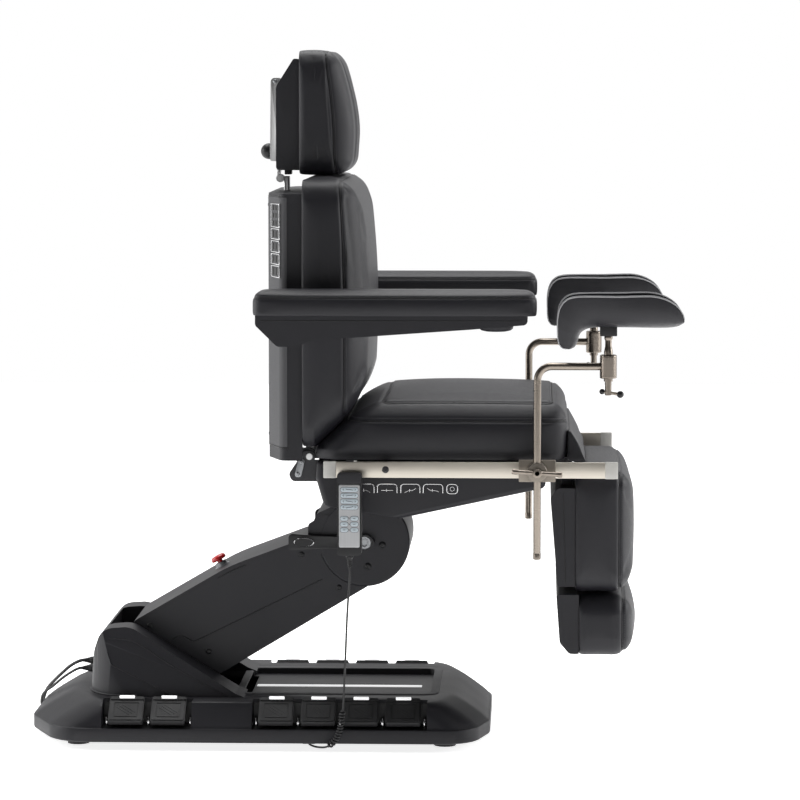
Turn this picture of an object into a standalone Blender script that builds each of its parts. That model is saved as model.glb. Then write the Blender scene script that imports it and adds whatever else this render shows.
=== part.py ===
"""Electric examination chair with leg crutches, as an assembly of separate parts.

Metres, +Z up, +X to the foot end, -Y the near side. The floor is Z = 0.
Every piece is modelled in place and hangs on an empty that stands on its joint axis.
"""
from math import acos
from math import atan2
from math import cos
from math import pi
from math import radians
from math import sin
from math import tan

import bmesh
import bpy
from mathutils import Matrix
from mathutils import Vector

# Driving dimensions

FIT = 0.0003
RUN = 0.0004
SIDES = 16
DRUM_SIDES = 36

BASE_REAR_X = -0.7069
BASE_LENGTH = 1.006
BASE_WIDTH = 0.620
BASE_END_FLAT = 0.260
BASE_END_BULGE = 0.075
BASE_CORNER = 0.100
FOOT_HEIGHT = 0.0165
FOOT_RADIUS = 0.024
FOOT_SPAN_Y = 0.440
FOOT_REAR_INSET = 0.112
FOOT_FRONT_INSET = 0.097
SKIRT_HEIGHT = 0.030
BODY_HEIGHT = 0.056
BODY_STEP = 0.004
REAR_SLOPE = 0.100
FRONT_SLOPE = 0.086
SIDE_SLOPE = 0.022
TOP_ROUND = 0.008
COVER_WALL = 0.005
RECESS_LENGTH = 0.408
RECESS_WIDTH = 0.330
RECESS_DEPTH = 0.012
RECESS_FRONT_INSET = 0.130
FRAME_PLATE = 0.012
FRAME_SIDE_INSET = 0.080
FRAME_END_INSET = 0.080
HOLLOW_END_INSET = 0.160
UPRIGHT_LENGTH = 0.120
UPRIGHT_GAP = 0.0615
UPRIGHT_THICKNESS = 0.013
WELL_WIDTH = 0.250
WELL_LENGTH = 0.270

PEDAL_WIDTH = 0.075
PEDAL_DEPTH = 0.070
PEDAL_THICKNESS = 0.014
PEDAL_SLOPE = radians(36)
PEDAL_PITCH = 0.0912
PEDAL_TOP_INSET = 0.062
PEDAL_RISE = -0.002
PEDAL_END_ROOM = 0.014
FRONT_PEDAL_COUNT = 4
REAR_PEDAL_COUNT = 2
FRONT_PEDAL_INSET = 0.547
REAR_PEDAL_INSET = 0.223

COWL_REAR_INSET = 0.130
COWL_LENGTH = 0.344
COWL_PEAK_RISE = 0.148
COWL_PEAK_INSET = 0.068
COWL_FOOT_WIDTH = 0.460
COWL_TOP_WIDTH = 0.392
COWL_REAR_WALL = 0.040
COWL_PLAN_ROUND = 0.110
SOCKET_RADIUS = 0.0095
SOCKET_LENGTH = 0.008
SOCKET_RISE = 0.034
SOCKET_SPREAD = 0.013

LOWER_PIVOT_INSET = 0.296
LOWER_PIVOT_RISE = 0.088
LOWER_PIN_RADIUS = 0.016
ARM_LENGTH = 0.4966
ARM_ANGLE = radians(28.9)
ARM_WIDTH = 0.240
ARM_WALL = 0.005
BEAM_WIDTH = 0.120
BEAM_END_RADIUS = 0.036
ARM_REAR_RADIUS = 0.076
ARM_TOP_AT_KNUCKLE = 0.044
ARM_TOP_AT_FALL = 0.071
ARM_TOP_AT_CROWN = 0.095
ARM_TOP_AT_REAR = 0.089
ARM_BOTTOM_AT_KNUCKLE = 0.088
ARM_BOTTOM_AT_REAR = 0.104
STOP_ALONG = 0.180
STOP_COLLAR_RADIUS = 0.013
STOP_COLLAR_HEIGHT = 0.012
STOP_CAP_RADIUS = 0.0175
STOP_CAP_HEIGHT = 0.012
STOP_TRAVEL = 0.004

DRUM_RADIUS = 0.0985
DRUM_WIDTH = 0.250
UPPER_PIN_RADIUS = 0.0155
KNUCKLE_NECK_TOP = 0.084
KNUCKLE_NECK_REAR = 0.098
CHEEK_REACH = 0.026
CHEEK_DROP = 0.022
KNUCKLE_NECK_FRONT = 0.084
LUG_WIDTH = 0.080
LUG_RADIUS = 0.022
TILT_RISE = 0.1085
TILT_PIN_RADIUS = 0.010
TILT_PIN_LENGTH = 0.110
LEVER_LENGTH = 0.166
LEVER_THICKNESS = 0.012
LEVER_HUB_RADIUS = 0.022
LEVER_HAND_WIDTH = 0.038
LEVER_STANDOFF = 0.003

SEAT_RISE = 0.089
SEAT_REAR_REACH = 0.098
SEAT_LENGTH = 0.546
SEAT_WIDTH = 0.600
SEAT_THICKNESS = 0.137
SEAT_CORNER = 0.048
SEAT_CROWN = 0.012
SEAT_FRONT_LEAN = 0.08
PINCH = 0.003
MITRE_SLOPE = radians(43.5)
MITRE_REACH = 0.0130
MITRE_RISE = 0.0205
PAN_THICKNESS = 0.012
PAN_SIDE = 0.002
PAN_REAR_INSET = 0.026
PAN_FRONT_INSET = 0.030
EAR_THICKNESS = 0.011
SHELL_WIDTH = 0.560
SHELL_WALL = 0.004
SHELL_DEPTH = 0.128
SHELL_REAR_DEPTH = 0.102
SHELL_FRONT_DEPTH = 0.061
SHELL_LOW_X = 0.182
SHELL_FRONT_INSET = 0.054
SHELL_EDGE = 0.016
SHELL_MOUTH_ROOM = 0.016
SHELL_STEP = 0.040

RAIL_HEIGHT = 0.034
RAIL_THICKNESS = 0.010
RAIL_SPAN = 0.660
RAIL_REAR_INSET = 0.020
RAIL_LENGTH = 0.625
SPACER_RADIUS = 0.012
SPACER_REAR = 0.132
SPACER_FRONT = 0.400

HANDSET_WIDTH = 0.052
HANDSET_HEIGHT = 0.1755
HANDSET_THICKNESS = 0.024
HANDSET_STANDOFF = 0.006
HANDSET_REAR_INSET = 0.0565
HANDSET_DROP = 0.012
HANDSET_ROUND = 0.005
HOOK_WIDTH = 0.018
HOOK_THICKNESS = 0.003
RELIEF_RADIUS = 0.006
RELIEF_LENGTH = 0.028

HINGE_REACH = 0.0155
HINGE_RISE = 0.0012
HINGE_PIN_RADIUS = 0.007
HINGE_EAR_RADIUS = 0.0115
TAIL_THICKNESS = 0.008
TAIL_END_X = 0.033
TAIL_END_Z = 0.042
TAIL_END_RADIUS = 0.0115

BACK_HEIGHT = 0.574
BACK_WIDTH = 0.600
BACK_THICKNESS = 0.143
BACK_CORNER = 0.046
BACK_CROWN = 0.012
BACK_TOP_LEAN = 0.014
BACK_REAR_REACH = 0.0125
BACK_BOTTOM_RISE = 0.022
BACK_SHELL_WIDTH = 0.560
BACK_SHELL_DEPTH = 0.077
BACK_SHELL_HEIGHT = 0.570
BACK_SHELL_REAR_WIDTH = 0.380
BACK_SHELL_CHAMFER = 0.032
BACK_SHELL_WALL = 0.004
BACK_SHELL_DROP = 0.005
BACK_FRAME_WIDTH = 0.440
BACK_EAR_ROOT = 0.0073
BACK_EAR_OVERHANG = 0.0117
BACK_FRAME_THICKNESS = 0.012
BACK_FRAME_LOW = 0.045
BACK_FRAME_HEIGHT = 0.480

POST_WIDTH = 0.040
POST_THICKNESS = 0.011
POST_LENGTH = 0.250
POST_BEHIND = 0.056
POST_ABOVE = 0.026
GUIDE_WALL = 0.005
GUIDE_LENGTH = 0.110
HEAD_PLATE_THICKNESS = 0.006
HEAD_PLATE_WIDTH = 0.060
HEAD_PLATE_HEIGHT = 0.196
HEAD_PIVOT_RADIUS = 0.009
HEAD_WIDTH = 0.320
HEAD_HEIGHT = 0.268
HEAD_THICKNESS = 0.125
HEAD_CORNER = 0.036
HEAD_CROWN = 0.012
HEAD_TOP_TAPER = 0.28
HEAD_LIFT = 0.006
HEAD_SHELL_DEPTH = 0.050
HEAD_SHELL_WIDTH = 0.280
HEAD_SHELL_HEIGHT = 0.240
HEAD_SHELL_TOP_SLOPE = 0.060
HEAD_CHANNELS = 4
HEAD_CHANNEL_DEPTH = 0.004
KNOB_RADIUS = 0.0175
KNOB_NECK_RADIUS = 0.006
KNOB_NECK_LENGTH = 0.002
KNOB_RISE = 0.048

ARMREST_LENGTH = 0.597
ARMREST_REACH = 0.078
ARMREST_INNER = 0.315
ARMREST_WIDTH = 0.095
ARM_PAD_HEIGHT = 0.052
ARM_PAD_CORNER = 0.024
ARM_SHELL_HEIGHT = 0.033
ARM_SHELL_INSET = 0.006
ARM_SHELL_FRONT = 0.019
ARM_WEDGE_DEPTH = 0.032
ARM_PIVOT_BELOW = 0.018
ARM_PIVOT_RISE = 0.2955
ARM_PIVOT_REACH = 0.0315
ARM_BOSS_RADIUS = 0.0165
ARM_PIN_RADIUS = 0.009
ARM_PIN_REACH = 0.020

LEG_AXIS_INSET = 0.008
LEG_AXIS_DROP = 0.012
LEG_SHAFT_RADIUS = 0.008
LEG_EAR_RADIUS = 0.0115
LEG_EAR_SPAN = 0.400
LEG_EAR_THICKNESS = 0.010
LEG_WIDTH = 0.560
LEG_HEIGHT = 0.2655
LEG_THICKNESS = 0.126
LEG_CORNER = 0.042
LEG_CROWN = 0.008
LEG_PAD_DROP = 0.010
LEG_PAD_AHEAD = 0.0185
LEG_SHELL_WIDTH = 0.540
LEG_SHELL_DEPTH = 0.054
LEG_SHELL_TOP_DROP = 0.050
LEG_SHELL_HEIGHT = 0.212
LEG_SHELL_EDGE = 0.012
FOOT_PAD_HEIGHT = 0.134
FOOT_PAD_THICKNESS = 0.122
FOOT_PAD_GAP = 0.004
FOOT_PAD_SET = 0.008
FOOT_SHELL_HEIGHT = 0.128
FOOT_SHELL_DEPTH = 0.049
FOOT_ROD_RADIUS = 0.006
FOOT_ROD_SPAN = 0.260
FOOT_ROD_LENGTH = 0.170

CRUTCH_X = 0.454
CRUTCH_FAR_SHIFT = -0.020
CLAMP_LENGTH = 0.078
CLAMP_PLATE = 0.012
CLAMP_LIP = 0.006
CLAMP_LIP_REACH = 0.007
CLAMP_BOSS_RADIUS = 0.021
CLAMP_BOSS_LENGTH = 0.031
ROD_RADIUS = 0.008
ROD_BELOW = 0.186
ROD_ABOVE = 0.224
ROD_REACH = 0.149
ROD_BEND = 0.030
BARREL_RADIUS = 0.018
BARREL_HEIGHT = 0.050
STEM_RADIUS = 0.007
STEM_ABOVE = 0.036
STEM_BELOW = 0.036
STEM_BAR_LENGTH = 0.034
STEM_BAR_RADIUS = 0.0035
STEM_BALL_RADIUS = 0.0075
T_SCREW_RADIUS = 0.005
T_HUB_RADIUS = 0.010
T_HUB_LENGTH = 0.018
T_BAR_LENGTH = 0.107
T_BAR_RADIUS = 0.0045
T_BAR_TIP_RADIUS = 0.006
T_BAR_TILT = radians(3.5)
CUP_BALL_RADIUS = 0.009
CUP_SOCKET_ROOM = 0.0012
CUP_BLOCK = 0.036
CUP_BLOCK_HEIGHT = 0.022
CUP_LENGTH = 0.272
CUP_TOE_REACH = 0.158
CUP_WIDTH = 0.160
CUP_HEIGHT = 0.066
CUP_WALL = 0.028
CUP_DROP = 0.046
CUP_LEAN = 0.030
CUP_TROUGH = 0.042

CORD_DIAMETER = 0.0044
CURL_OUTSIDE = 0.0145
CURL_PITCH = 0.0064
CURL_POINTS = 8
LEAD_DIAMETER = 0.0075
JUMPER_DIAMETER = 0.0060
CONNECTOR_LENGTH = 0.030
COIL_ALONG = 0.286
COIL_BESIDE = 0.0645
COIL_MEAN_DIAMETER = 0.086
COIL_TURNS = 6
COIL_POINTS = 24
COIL_GAP = 0.0018
COIL_LAYER_GAP = 0.0006
PLUG_TAIL = ((0.020, 0.0015, 0.2), (0.044, 0.009, 0.7), (0.064, 0.018, 1.0), (0.078, 0.0243, 1.0))
PLUG_LENGTH = 0.040
PLUG_RADIUS = 0.017
PRONG_RADIUS = 0.0024
PRONG_LENGTH = 0.019
PRONG_SPREAD = 0.0095
GLAND_SIZE = 0.013

# Derived places

near_side = -1
far_side = 1
base_front_x = BASE_REAR_X + BASE_LENGTH
skirt_z = FOOT_HEIGHT
shoulder_z = skirt_z + SKIRT_HEIGHT
base_top = shoulder_z + BODY_HEIGHT
frame_z = skirt_z + 0.004
lower_pivot = Vector((BASE_REAR_X + LOWER_PIVOT_INSET, 0, base_top + LOWER_PIVOT_RISE))
arm_direction = Vector((cos(ARM_ANGLE), 0, sin(ARM_ANGLE)))
arm_normal = Vector((-sin(ARM_ANGLE), 0, cos(ARM_ANGLE)))
upper_pivot = lower_pivot + arm_direction * ARM_LENGTH
tilt_axis = upper_pivot + Vector((0, 0, TILT_RISE))
seat_z = tilt_axis.z + SEAT_RISE
seat_rear_x = upper_pivot.x - SEAT_REAR_REACH
seat_front_x = seat_rear_x + SEAT_LENGTH
pan_top = seat_z - FIT
pan_bottom = pan_top - PAN_THICKNESS
shell_bottom = seat_z - SHELL_DEPTH
hinge = Vector((seat_rear_x - HINGE_REACH, 0, seat_z + HINGE_RISE))
tail_inner = BACK_FRAME_WIDTH / 2 + BACK_EAR_OVERHANG + FIT
tail_outer = tail_inner + TAIL_THICKNESS
mitre = hinge + Vector((MITRE_REACH, 0, MITRE_RISE))
back_rear_x = hinge.x - BACK_REAR_REACH
back_bottom = hinge.z + BACK_BOTTOM_RISE
back_top = back_bottom + BACK_HEIGHT
back_shell_front = back_rear_x - FIT
back_shell_rear = back_shell_front - BACK_SHELL_DEPTH
back_shell_bottom = hinge.z - BACK_SHELL_DROP
back_shell_top = back_shell_bottom + BACK_SHELL_HEIGHT
post_front = back_rear_x - POST_BEHIND + POST_THICKNESS
post_rear = post_front - POST_THICKNESS
post_top = back_shell_top + POST_ABOVE
head_bottom = back_top + HEAD_LIFT
head_pivot = Vector((post_rear - HEAD_PIVOT_RADIUS, 0, post_top))
head_plate_front = head_pivot.x
head_rear_x = head_plate_front + HEAD_SHELL_DEPTH + 2 * FIT
knob_z = head_bottom + KNOB_RISE
arm_pivot = Vector((hinge.x - ARM_PIVOT_REACH, 0, hinge.z + ARM_PIVOT_RISE))
armrest_rear_x = arm_pivot.x - ARMREST_REACH
armrest_z = arm_pivot.z + ARM_PIVOT_BELOW
leg_axis = Vector((seat_front_x - LEG_AXIS_INSET, 0, seat_z - LEG_AXIS_DROP))
shell_front_top = leg_axis.z - LEG_EAR_RADIUS - FIT
leg_pad_rear = leg_axis.x + LEG_PAD_AHEAD
leg_pad_top = leg_axis.z - LEG_PAD_DROP
leg_pad_bottom = leg_pad_top - LEG_HEIGHT
leg_shell_front = leg_pad_rear - FIT
leg_shell_rear = leg_shell_front - LEG_SHELL_DEPTH
leg_shell_top = leg_axis.z - LEG_SHELL_TOP_DROP
leg_shell_bottom = leg_shell_top - LEG_SHELL_HEIGHT
foot_pad_top = leg_pad_bottom - FOOT_PAD_GAP
foot_pad_rear = leg_pad_rear + FOOT_PAD_SET
foot_shell_front = foot_pad_rear - FIT
foot_shell_rear = foot_shell_front - FOOT_SHELL_DEPTH
foot_shell_top = min(leg_shell_bottom, leg_pad_bottom) - FOOT_PAD_GAP
rail_rear_x = seat_rear_x + RAIL_REAR_INSET
rail_z = seat_z - FIT - RAIL_HEIGHT / 2
rail_outer = RAIL_SPAN / 2
rail_inner = rail_outer - RAIL_THICKNESS
clamp_plate_inner = rail_outer + FIT
clamp_plate_outer = clamp_plate_inner + CLAMP_PLATE
rod_y = clamp_plate_outer + CLAMP_BOSS_LENGTH / 2
boss_outer = clamp_plate_outer + CLAMP_BOSS_LENGTH
rod_top_z = rail_z + ROD_ABOVE
handset_x = rail_rear_x + HANDSET_REAR_INSET
handset_top = rail_z + HANDSET_DROP - RAIL_HEIGHT / 2
handset_inner = rail_outer + HANDSET_STANDOFF
cowl_rear_x = BASE_REAR_X + COWL_REAR_INSET
cowl_front_x = cowl_rear_x + COWL_LENGTH
cowl_bottom = base_top + FIT
socket_z = base_top + SOCKET_RISE
arm_side = ARM_WIDTH / 2
drum_side = DRUM_WIDTH / 2

FINISHES = {
    "vinyl": ((0.030, 0.030, 0.034), 0.42, 0.0),
    "plastic": ((0.028, 0.028, 0.032), 0.55, 0.0),
    "steel": ((0.62, 0.58, 0.52), 0.30, 1.0),
    "dark_steel": ((0.06, 0.06, 0.065), 0.45, 0.6),
    "chrome": ((0.80, 0.80, 0.80), 0.12, 1.0),
    "rubber": ((0.012, 0.012, 0.013), 0.75, 0.0),
    "red": ((0.70, 0.03, 0.03), 0.35, 0.0),
    "cord": ((0.012, 0.012, 0.013), 0.55, 0.0),
}


# Building blocks


def new_collection(name):
    made = bpy.data.collections.new(name)
    bpy.context.scene.collection.children.link(made)
    return made


def new_material(name, finish):
    colour, roughness, metallic = FINISHES[finish]
    material = bpy.data.materials.new(name)
    material.use_nodes = True
    shader = material.node_tree.nodes["Principled BSDF"]
    shader.inputs["Base Color"].default_value = (*colour, 1)
    shader.inputs["Roughness"].default_value = roughness
    shader.inputs["Metallic"].default_value = metallic
    material.diffuse_color = (*colour, 1)
    return material


def new_pivot(name, place, parent=None):
    pivot = bpy.data.objects.new(name, None)
    pivot.empty_display_size = 0.03
    parts.objects.link(pivot)
    pivot.location = Vector(place)
    if parent:
        pivot.parent = parent
        pivot.location = Vector(place) - pivot_places[parent.name]
    pivot_places[name] = Vector(place)
    return pivot


def new_part(name, mesh, finish, pivot):
    mesh.name = name
    mesh.shade_smooth()
    mesh.set_sharp_from_angle(angle=radians(35))
    part = bpy.data.objects.new(name, mesh)
    part.data.materials.append(new_material(name, finish))
    parts.objects.link(part)
    part.parent = pivot
    part.location = -pivot_places[pivot.name]
    return part


def add_tool(part, mesh, operation):
    tool = bpy.data.objects.new(part.name + "_tool", mesh)
    tool.hide_render = True
    tool.display_type = "WIRE"
    cutters.objects.link(tool)
    boolean = part.modifiers.new(operation.lower(), "BOOLEAN")
    boolean.operation = operation
    boolean.solver = "EXACT"
    boolean.object = tool


def cut(part, *meshes):
    for mesh in meshes:
        add_tool(part, mesh, "DIFFERENCE")


def fuse(part, *meshes):
    for mesh in meshes:
        add_tool(part, mesh, "UNION")


def soften(part, width, segments=1, angle=40):
    bevel = part.modifiers.new("edges", "BEVEL")
    bevel.width = width
    bevel.segments = segments
    bevel.limit_method = "ANGLE"
    bevel.angle_limit = radians(angle)


def curve_mesh(curve, place=None):
    holder = bpy.data.objects.new("outline", curve)
    cutters.objects.link(holder)
    depsgraph = bpy.context.evaluated_depsgraph_get()
    mesh = bpy.data.meshes.new_from_object(holder.evaluated_get(depsgraph))
    shape = bmesh.new()
    shape.from_mesh(mesh)
    bmesh.ops.remove_doubles(shape, verts=shape.verts, dist=0.000005)
    if place:
        bmesh.ops.transform(shape, matrix=place, verts=shape.verts)
    bmesh.ops.recalc_face_normals(shape, faces=shape.faces)
    shape.to_mesh(mesh)
    shape.free()
    bpy.data.objects.remove(holder)
    return mesh


AXES = {
    "X": Matrix(((0, 0, 1, 0), (1, 0, 0, 0), (0, 1, 0, 0), (0, 0, 0, 1))),
    "Y": Matrix(((1, 0, 0, 0), (0, 0, -1, 0), (0, 1, 0, 0), (0, 0, 0, 1))),
    "Z": Matrix.Identity(4),
}


def plate(loops, axis, low, high):
    """A flat outline, with any holes, given thickness from low to high along an axis."""
    curve = bpy.data.curves.new("outline", "CURVE")
    curve.dimensions = "2D"
    curve.fill_mode = "BOTH"
    curve.extrude = (high - low) / 2
    for loop in loops:
        spline = curve.splines.new("POLY")
        spline.points.add(len(loop) - 1)
        for point, (across, up) in zip(spline.points, loop):
            point.co = (across, up, 0, 1)
        spline.use_cyclic_u = True
    middle = (low + high) / 2
    shift = {"X": (middle, 0, 0), "Y": (0, middle, 0), "Z": (0, 0, middle)}[axis]
    return curve_mesh(curve, Matrix.Translation(shift) @ AXES[axis])


def block(low, high, edge=0.0):
    low = Vector(low)
    high = Vector(high)
    size = high - low
    shape = bmesh.new()
    place = Matrix.Translation((low + high) / 2) @ Matrix.Diagonal((*size, 1))
    bmesh.ops.create_cube(shape, size=1, matrix=place)
    if edge:
        bmesh.ops.bevel(shape, geom=shape.edges[:], offset=edge, segments=1, affect="EDGES")
    return shape_mesh(shape)


def shape_mesh(shape):
    bmesh.ops.recalc_face_normals(shape, faces=shape.faces)
    mesh = bpy.data.meshes.new("shape")
    shape.to_mesh(mesh)
    shape.free()
    return mesh


def bar(start, end, radius, sides=SIDES, end_radius=None):
    """A round bar, or a cone where the end radius differs."""
    start = Vector(start)
    end = Vector(end)
    run = end - start
    turn = run.to_track_quat("Z", "Y").to_matrix().to_4x4()
    place = Matrix.Translation((start + end) / 2) @ turn
    shape = bmesh.new()
    bmesh.ops.create_cone(
        shape,
        cap_ends=True,
        segments=sides,
        radius1=radius,
        radius2=radius if end_radius is None else end_radius,
        depth=run.length,
        matrix=place,
    )
    return shape_mesh(shape)


def ball(centre, radius, sides=16):
    shape = bmesh.new()
    place = Matrix.Translation(centre)
    bmesh.ops.create_uvsphere(shape, u_segments=sides, v_segments=sides // 2, radius=radius, matrix=place)
    return shape_mesh(shape)


def turned(profile, place, steps=SIDES):
    """A profile of (radius, height) from top to bottom, turned about its own Z axis."""
    mesh = bpy.data.meshes.new("profile")
    points = [(radius, 0, height) for radius, height in profile]
    edges = [(index, index + 1) for index in range(len(points) - 1)]
    mesh.from_pydata(points, edges, [])
    holder = bpy.data.objects.new("profile", mesh)
    cutters.objects.link(holder)
    screw = holder.modifiers.new("turn", "SCREW")
    screw.steps = steps
    screw.render_steps = steps
    screw.use_merge_vertices = True
    screw.merge_threshold = 0.00001
    depsgraph = bpy.context.evaluated_depsgraph_get()
    solid = bpy.data.meshes.new_from_object(holder.evaluated_get(depsgraph))
    solid.transform(place)
    bpy.data.objects.remove(holder)
    return solid


def tube(points, radius, resolution=2):
    curve = bpy.data.curves.new("tube", "CURVE")
    curve.dimensions = "3D"
    curve.bevel_depth = radius
    curve.bevel_resolution = resolution
    curve.use_fill_caps = True
    spline = curve.splines.new("POLY")
    spline.points.add(len(points) - 1)
    for point, place in zip(spline.points, points):
        point.co = (*place, 1)
    return curve_mesh(curve)


def rounded(corners, steps=3):
    """An outline from (across, up, radius) corners, each rounded by an arc."""
    outline = []
    count = len(corners)
    for index, (across, up, radius) in enumerate(corners):
        corner = Vector((across, up))
        before = Vector(corners[index - 1][:2]) - corner
        after = Vector(corners[(index + 1) % count][:2]) - corner
        if radius <= 0:
            outline.append((across, up))
            continue
        before.normalize()
        after.normalize()
        half = acos(max(-1, min(1, before.dot(after)))) / 2
        centre = corner + (before + after).normalized() * (radius / sin(half))
        first = corner + before * (radius / tan(half)) - centre
        last = corner + after * (radius / tan(half)) - centre
        start = atan2(first.y, first.x)
        sweep = atan2(last.y, last.x) - start
        sweep = (sweep + pi) % (2 * pi) - pi
        for step in range(steps + 1):
            angle = start + sweep * step / steps
            outline.append((centre.x + radius * cos(angle), centre.y + radius * sin(angle)))
    return outline


def ring(centre, radius, sides=SIDES):
    return [
        (centre[0] + radius * cos(2 * pi * step / sides), centre[1] + radius * sin(2 * pi * step / sides))
        for step in range(sides)
    ]


def loft(outlines):
    """A closed skin over horizontal outlines, each (height, points) with as many points."""
    shape = bmesh.new()
    rows = []
    for height, outline in outlines:
        rows.append([shape.verts.new((across, along, height)) for across, along in outline])
    count = len(rows[0])
    for lower, upper in zip(rows, rows[1:]):
        for index in range(count):
            following = (index + 1) % count
            shape.faces.new((lower[index], lower[following], upper[following], upper[index]))
    shape.faces.new(reversed(rows[0]))
    shape.faces.new(rows[-1])
    bmesh.ops.triangulate(shape, faces=[face for face in shape.faces if len(face.verts) > 4])
    return shape_mesh(shape)


def cushion(low, high, corner, crown, drawn_in, seated, form=None, cuts=6):
    """A stuffed cushion: a rounded box with crowned faces and sides that draw in between corners.

    crown and drawn_in give the swell of each pair of faces. seated is the axis whose low face
    lies flat on a shell, so its edges stay tight. form moves points afterwards.
    """
    low = Vector(low)
    high = Vector(high)
    level = low[seated]
    low[seated] -= corner * 0.7
    middle = (low + high) / 2
    half = (high - low) / 2
    shape = bmesh.new()
    bmesh.ops.create_cube(shape, size=2)
    bmesh.ops.subdivide_edges(shape, edges=shape.edges[:], cuts=cuts, use_grid_fill=True)
    first_line = 1 - 4 / (cuts + 1)
    for vert in shape.verts:
        share = Vector(vert.co)
        inner = Vector()
        over = Vector()
        for axis in range(3):
            straight = half[axis] - corner
            amount = abs(share[axis])
            sign = 1 if share[axis] >= 0 else -1
            inner[axis] = sign * straight * min(1, amount / first_line)
            over[axis] = sign * max(0, amount - first_line)
        place = inner
        if over.length > 0:
            place = inner + over.normalized() * corner
        swell = Vector()
        for axis in range(3):
            first, second = [other for other in range(3) if other != axis]
            across = max(0, 1 - (place[first] / half[first]) ** 2)
            along = max(0, 1 - (place[second] / half[second]) ** 2)
            side = place[axis] / half[axis]
            swell[axis] = side * (crown[axis] * across * along - drawn_in[axis] * across * (1 - along))
        place = place + swell + middle
        if form:
            place = form(place, low, high)
        place[seated] = max(place[seated], level)
        vert.co = place
    return shape_mesh(shape)


def smooth_route(points, spacing):
    """Points every spacing along a smooth curve through the route's own points."""
    route = [Vector(point) for point in points]
    dense = []
    for index in range(len(route) - 1):
        before = route[max(index - 1, 0)]
        start = route[index]
        end = route[index + 1]
        after = route[min(index + 2, len(route) - 1)]
        for step in range(20):
            t = step / 20
            dense.append(
                0.5
                * (
                    2 * start
                    + (end - before) * t
                    + (2 * before - 5 * start + 4 * end - after) * t * t
                    + (3 * start - before - 3 * end + after) * t * t * t
                )
            )
    dense.append(route[-1])
    lengths = [0.0]
    for index in range(1, len(dense)):
        lengths.append(lengths[-1] + (dense[index] - dense[index - 1]).length)
    count = max(2, round(lengths[-1] / spacing))
    spaced = []
    cursor = 0
    for step in range(count + 1):
        target = lengths[-1] * step / count
        while cursor < len(dense) - 2 and lengths[cursor + 1] < target:
            cursor += 1
        span = lengths[cursor + 1] - lengths[cursor]
        share = (target - lengths[cursor]) / span if span else 0
        spaced.append(dense[cursor].lerp(dense[cursor + 1], share))
    return spaced


def route_length(points):
    return sum((end - start).length for start, end in zip(points, points[1:]))


def least_gap(points, diameter, apart):
    """The least clear gap between stretches of a tube that are more than apart steps away."""
    least = 1.0
    for first in range(len(points)):
        for second in range(first + apart, len(points)):
            least = min(least, (points[first] - points[second]).length - diameter)
    return least


def side_name(side):
    return "near" if side == near_side else "far"


def sided(side, inner, outer):
    """The low and high Y of a stretch that lies from inner to outer on one side."""
    return sorted((side * inner, side * outer))


# Base


def base_outline(side_inset, rear_inset, front_inset):
    side = BASE_WIDTH / 2 - side_inset
    rear = BASE_REAR_X + rear_inset
    front = base_front_x - front_inset
    flat = BASE_END_FLAT / 2
    corners = [
        (rear, -flat, BASE_CORNER),
        (rear + BASE_END_BULGE, -side, BASE_CORNER),
        (front - BASE_END_BULGE / 2, -side, BASE_CORNER * 0.8),
        (front, -flat * 1.3, BASE_CORNER),
    ]
    mirrored = [(across, -along, radius) for across, along, radius in reversed(corners)]
    return rounded(corners + mirrored)


foot_places = [
    (foot_x, side * FOOT_SPAN_Y / 2)
    for foot_x in (BASE_REAR_X + FOOT_REAR_INSET, base_front_x - FOOT_FRONT_INSET)
    for side in (near_side, far_side)
]


def make_base_frame():
    low = (BASE_REAR_X + FRAME_END_INSET, -BASE_WIDTH / 2 + FRAME_SIDE_INSET, frame_z)
    high = (base_front_x - FRAME_END_INSET, BASE_WIDTH / 2 - FRAME_SIDE_INSET, frame_z + FRAME_PLATE)
    frame = new_part("base_frame", block(low, high), "dark_steel", base)
    plate_top = frame_z + FRAME_PLATE
    bore = ring((lower_pivot.x, lower_pivot.z), LOWER_PIN_RADIUS + RUN)
    crown = LOWER_PIN_RADIUS * 1.9
    upright = rounded(
        [
            (lower_pivot.x - UPRIGHT_LENGTH / 2, plate_top - FRAME_PLATE / 2, 0),
            (lower_pivot.x + UPRIGHT_LENGTH / 2, plate_top - FRAME_PLATE / 2, 0),
            (lower_pivot.x + crown, lower_pivot.z + crown, crown * 0.7),
            (lower_pivot.x - crown, lower_pivot.z + crown, crown * 0.7),
        ]
    )
    for side in (near_side, far_side):
        span = sided(side, UPRIGHT_GAP, UPRIGHT_GAP + UPRIGHT_THICKNESS)
        fuse(frame, plate([upright, bore], "Y", *span))
    for foot_x, foot_y in foot_places:
        fuse(frame, bar((foot_x, foot_y, 0), (foot_x, foot_y, frame_z + FRAME_PLATE / 2), FOOT_RADIUS))
    gland_x, gland_y, gland_z = CORD_ROUTE[-1]
    fuse(
        frame,
        block(
            (gland_x - GLAND_SIZE, gland_y + FIT, gland_z - GLAND_SIZE * 0.7),
            (gland_x + GLAND_SIZE, gland_y + GLAND_SIZE * 2, frame_z + FRAME_PLATE / 2),
        ),
    )
    jumper_x, jumper_y, jumper_z = JUMPER_ROUTE[-1]
    fuse(
        frame,
        block(
            (jumper_x - GLAND_SIZE, jumper_y - GLAND_SIZE * 2, jumper_z - GLAND_SIZE * 0.6),
            (jumper_x + GLAND_SIZE, jumper_y - FIT, frame_z + FRAME_PLATE / 2),
        ),
    )


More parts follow.
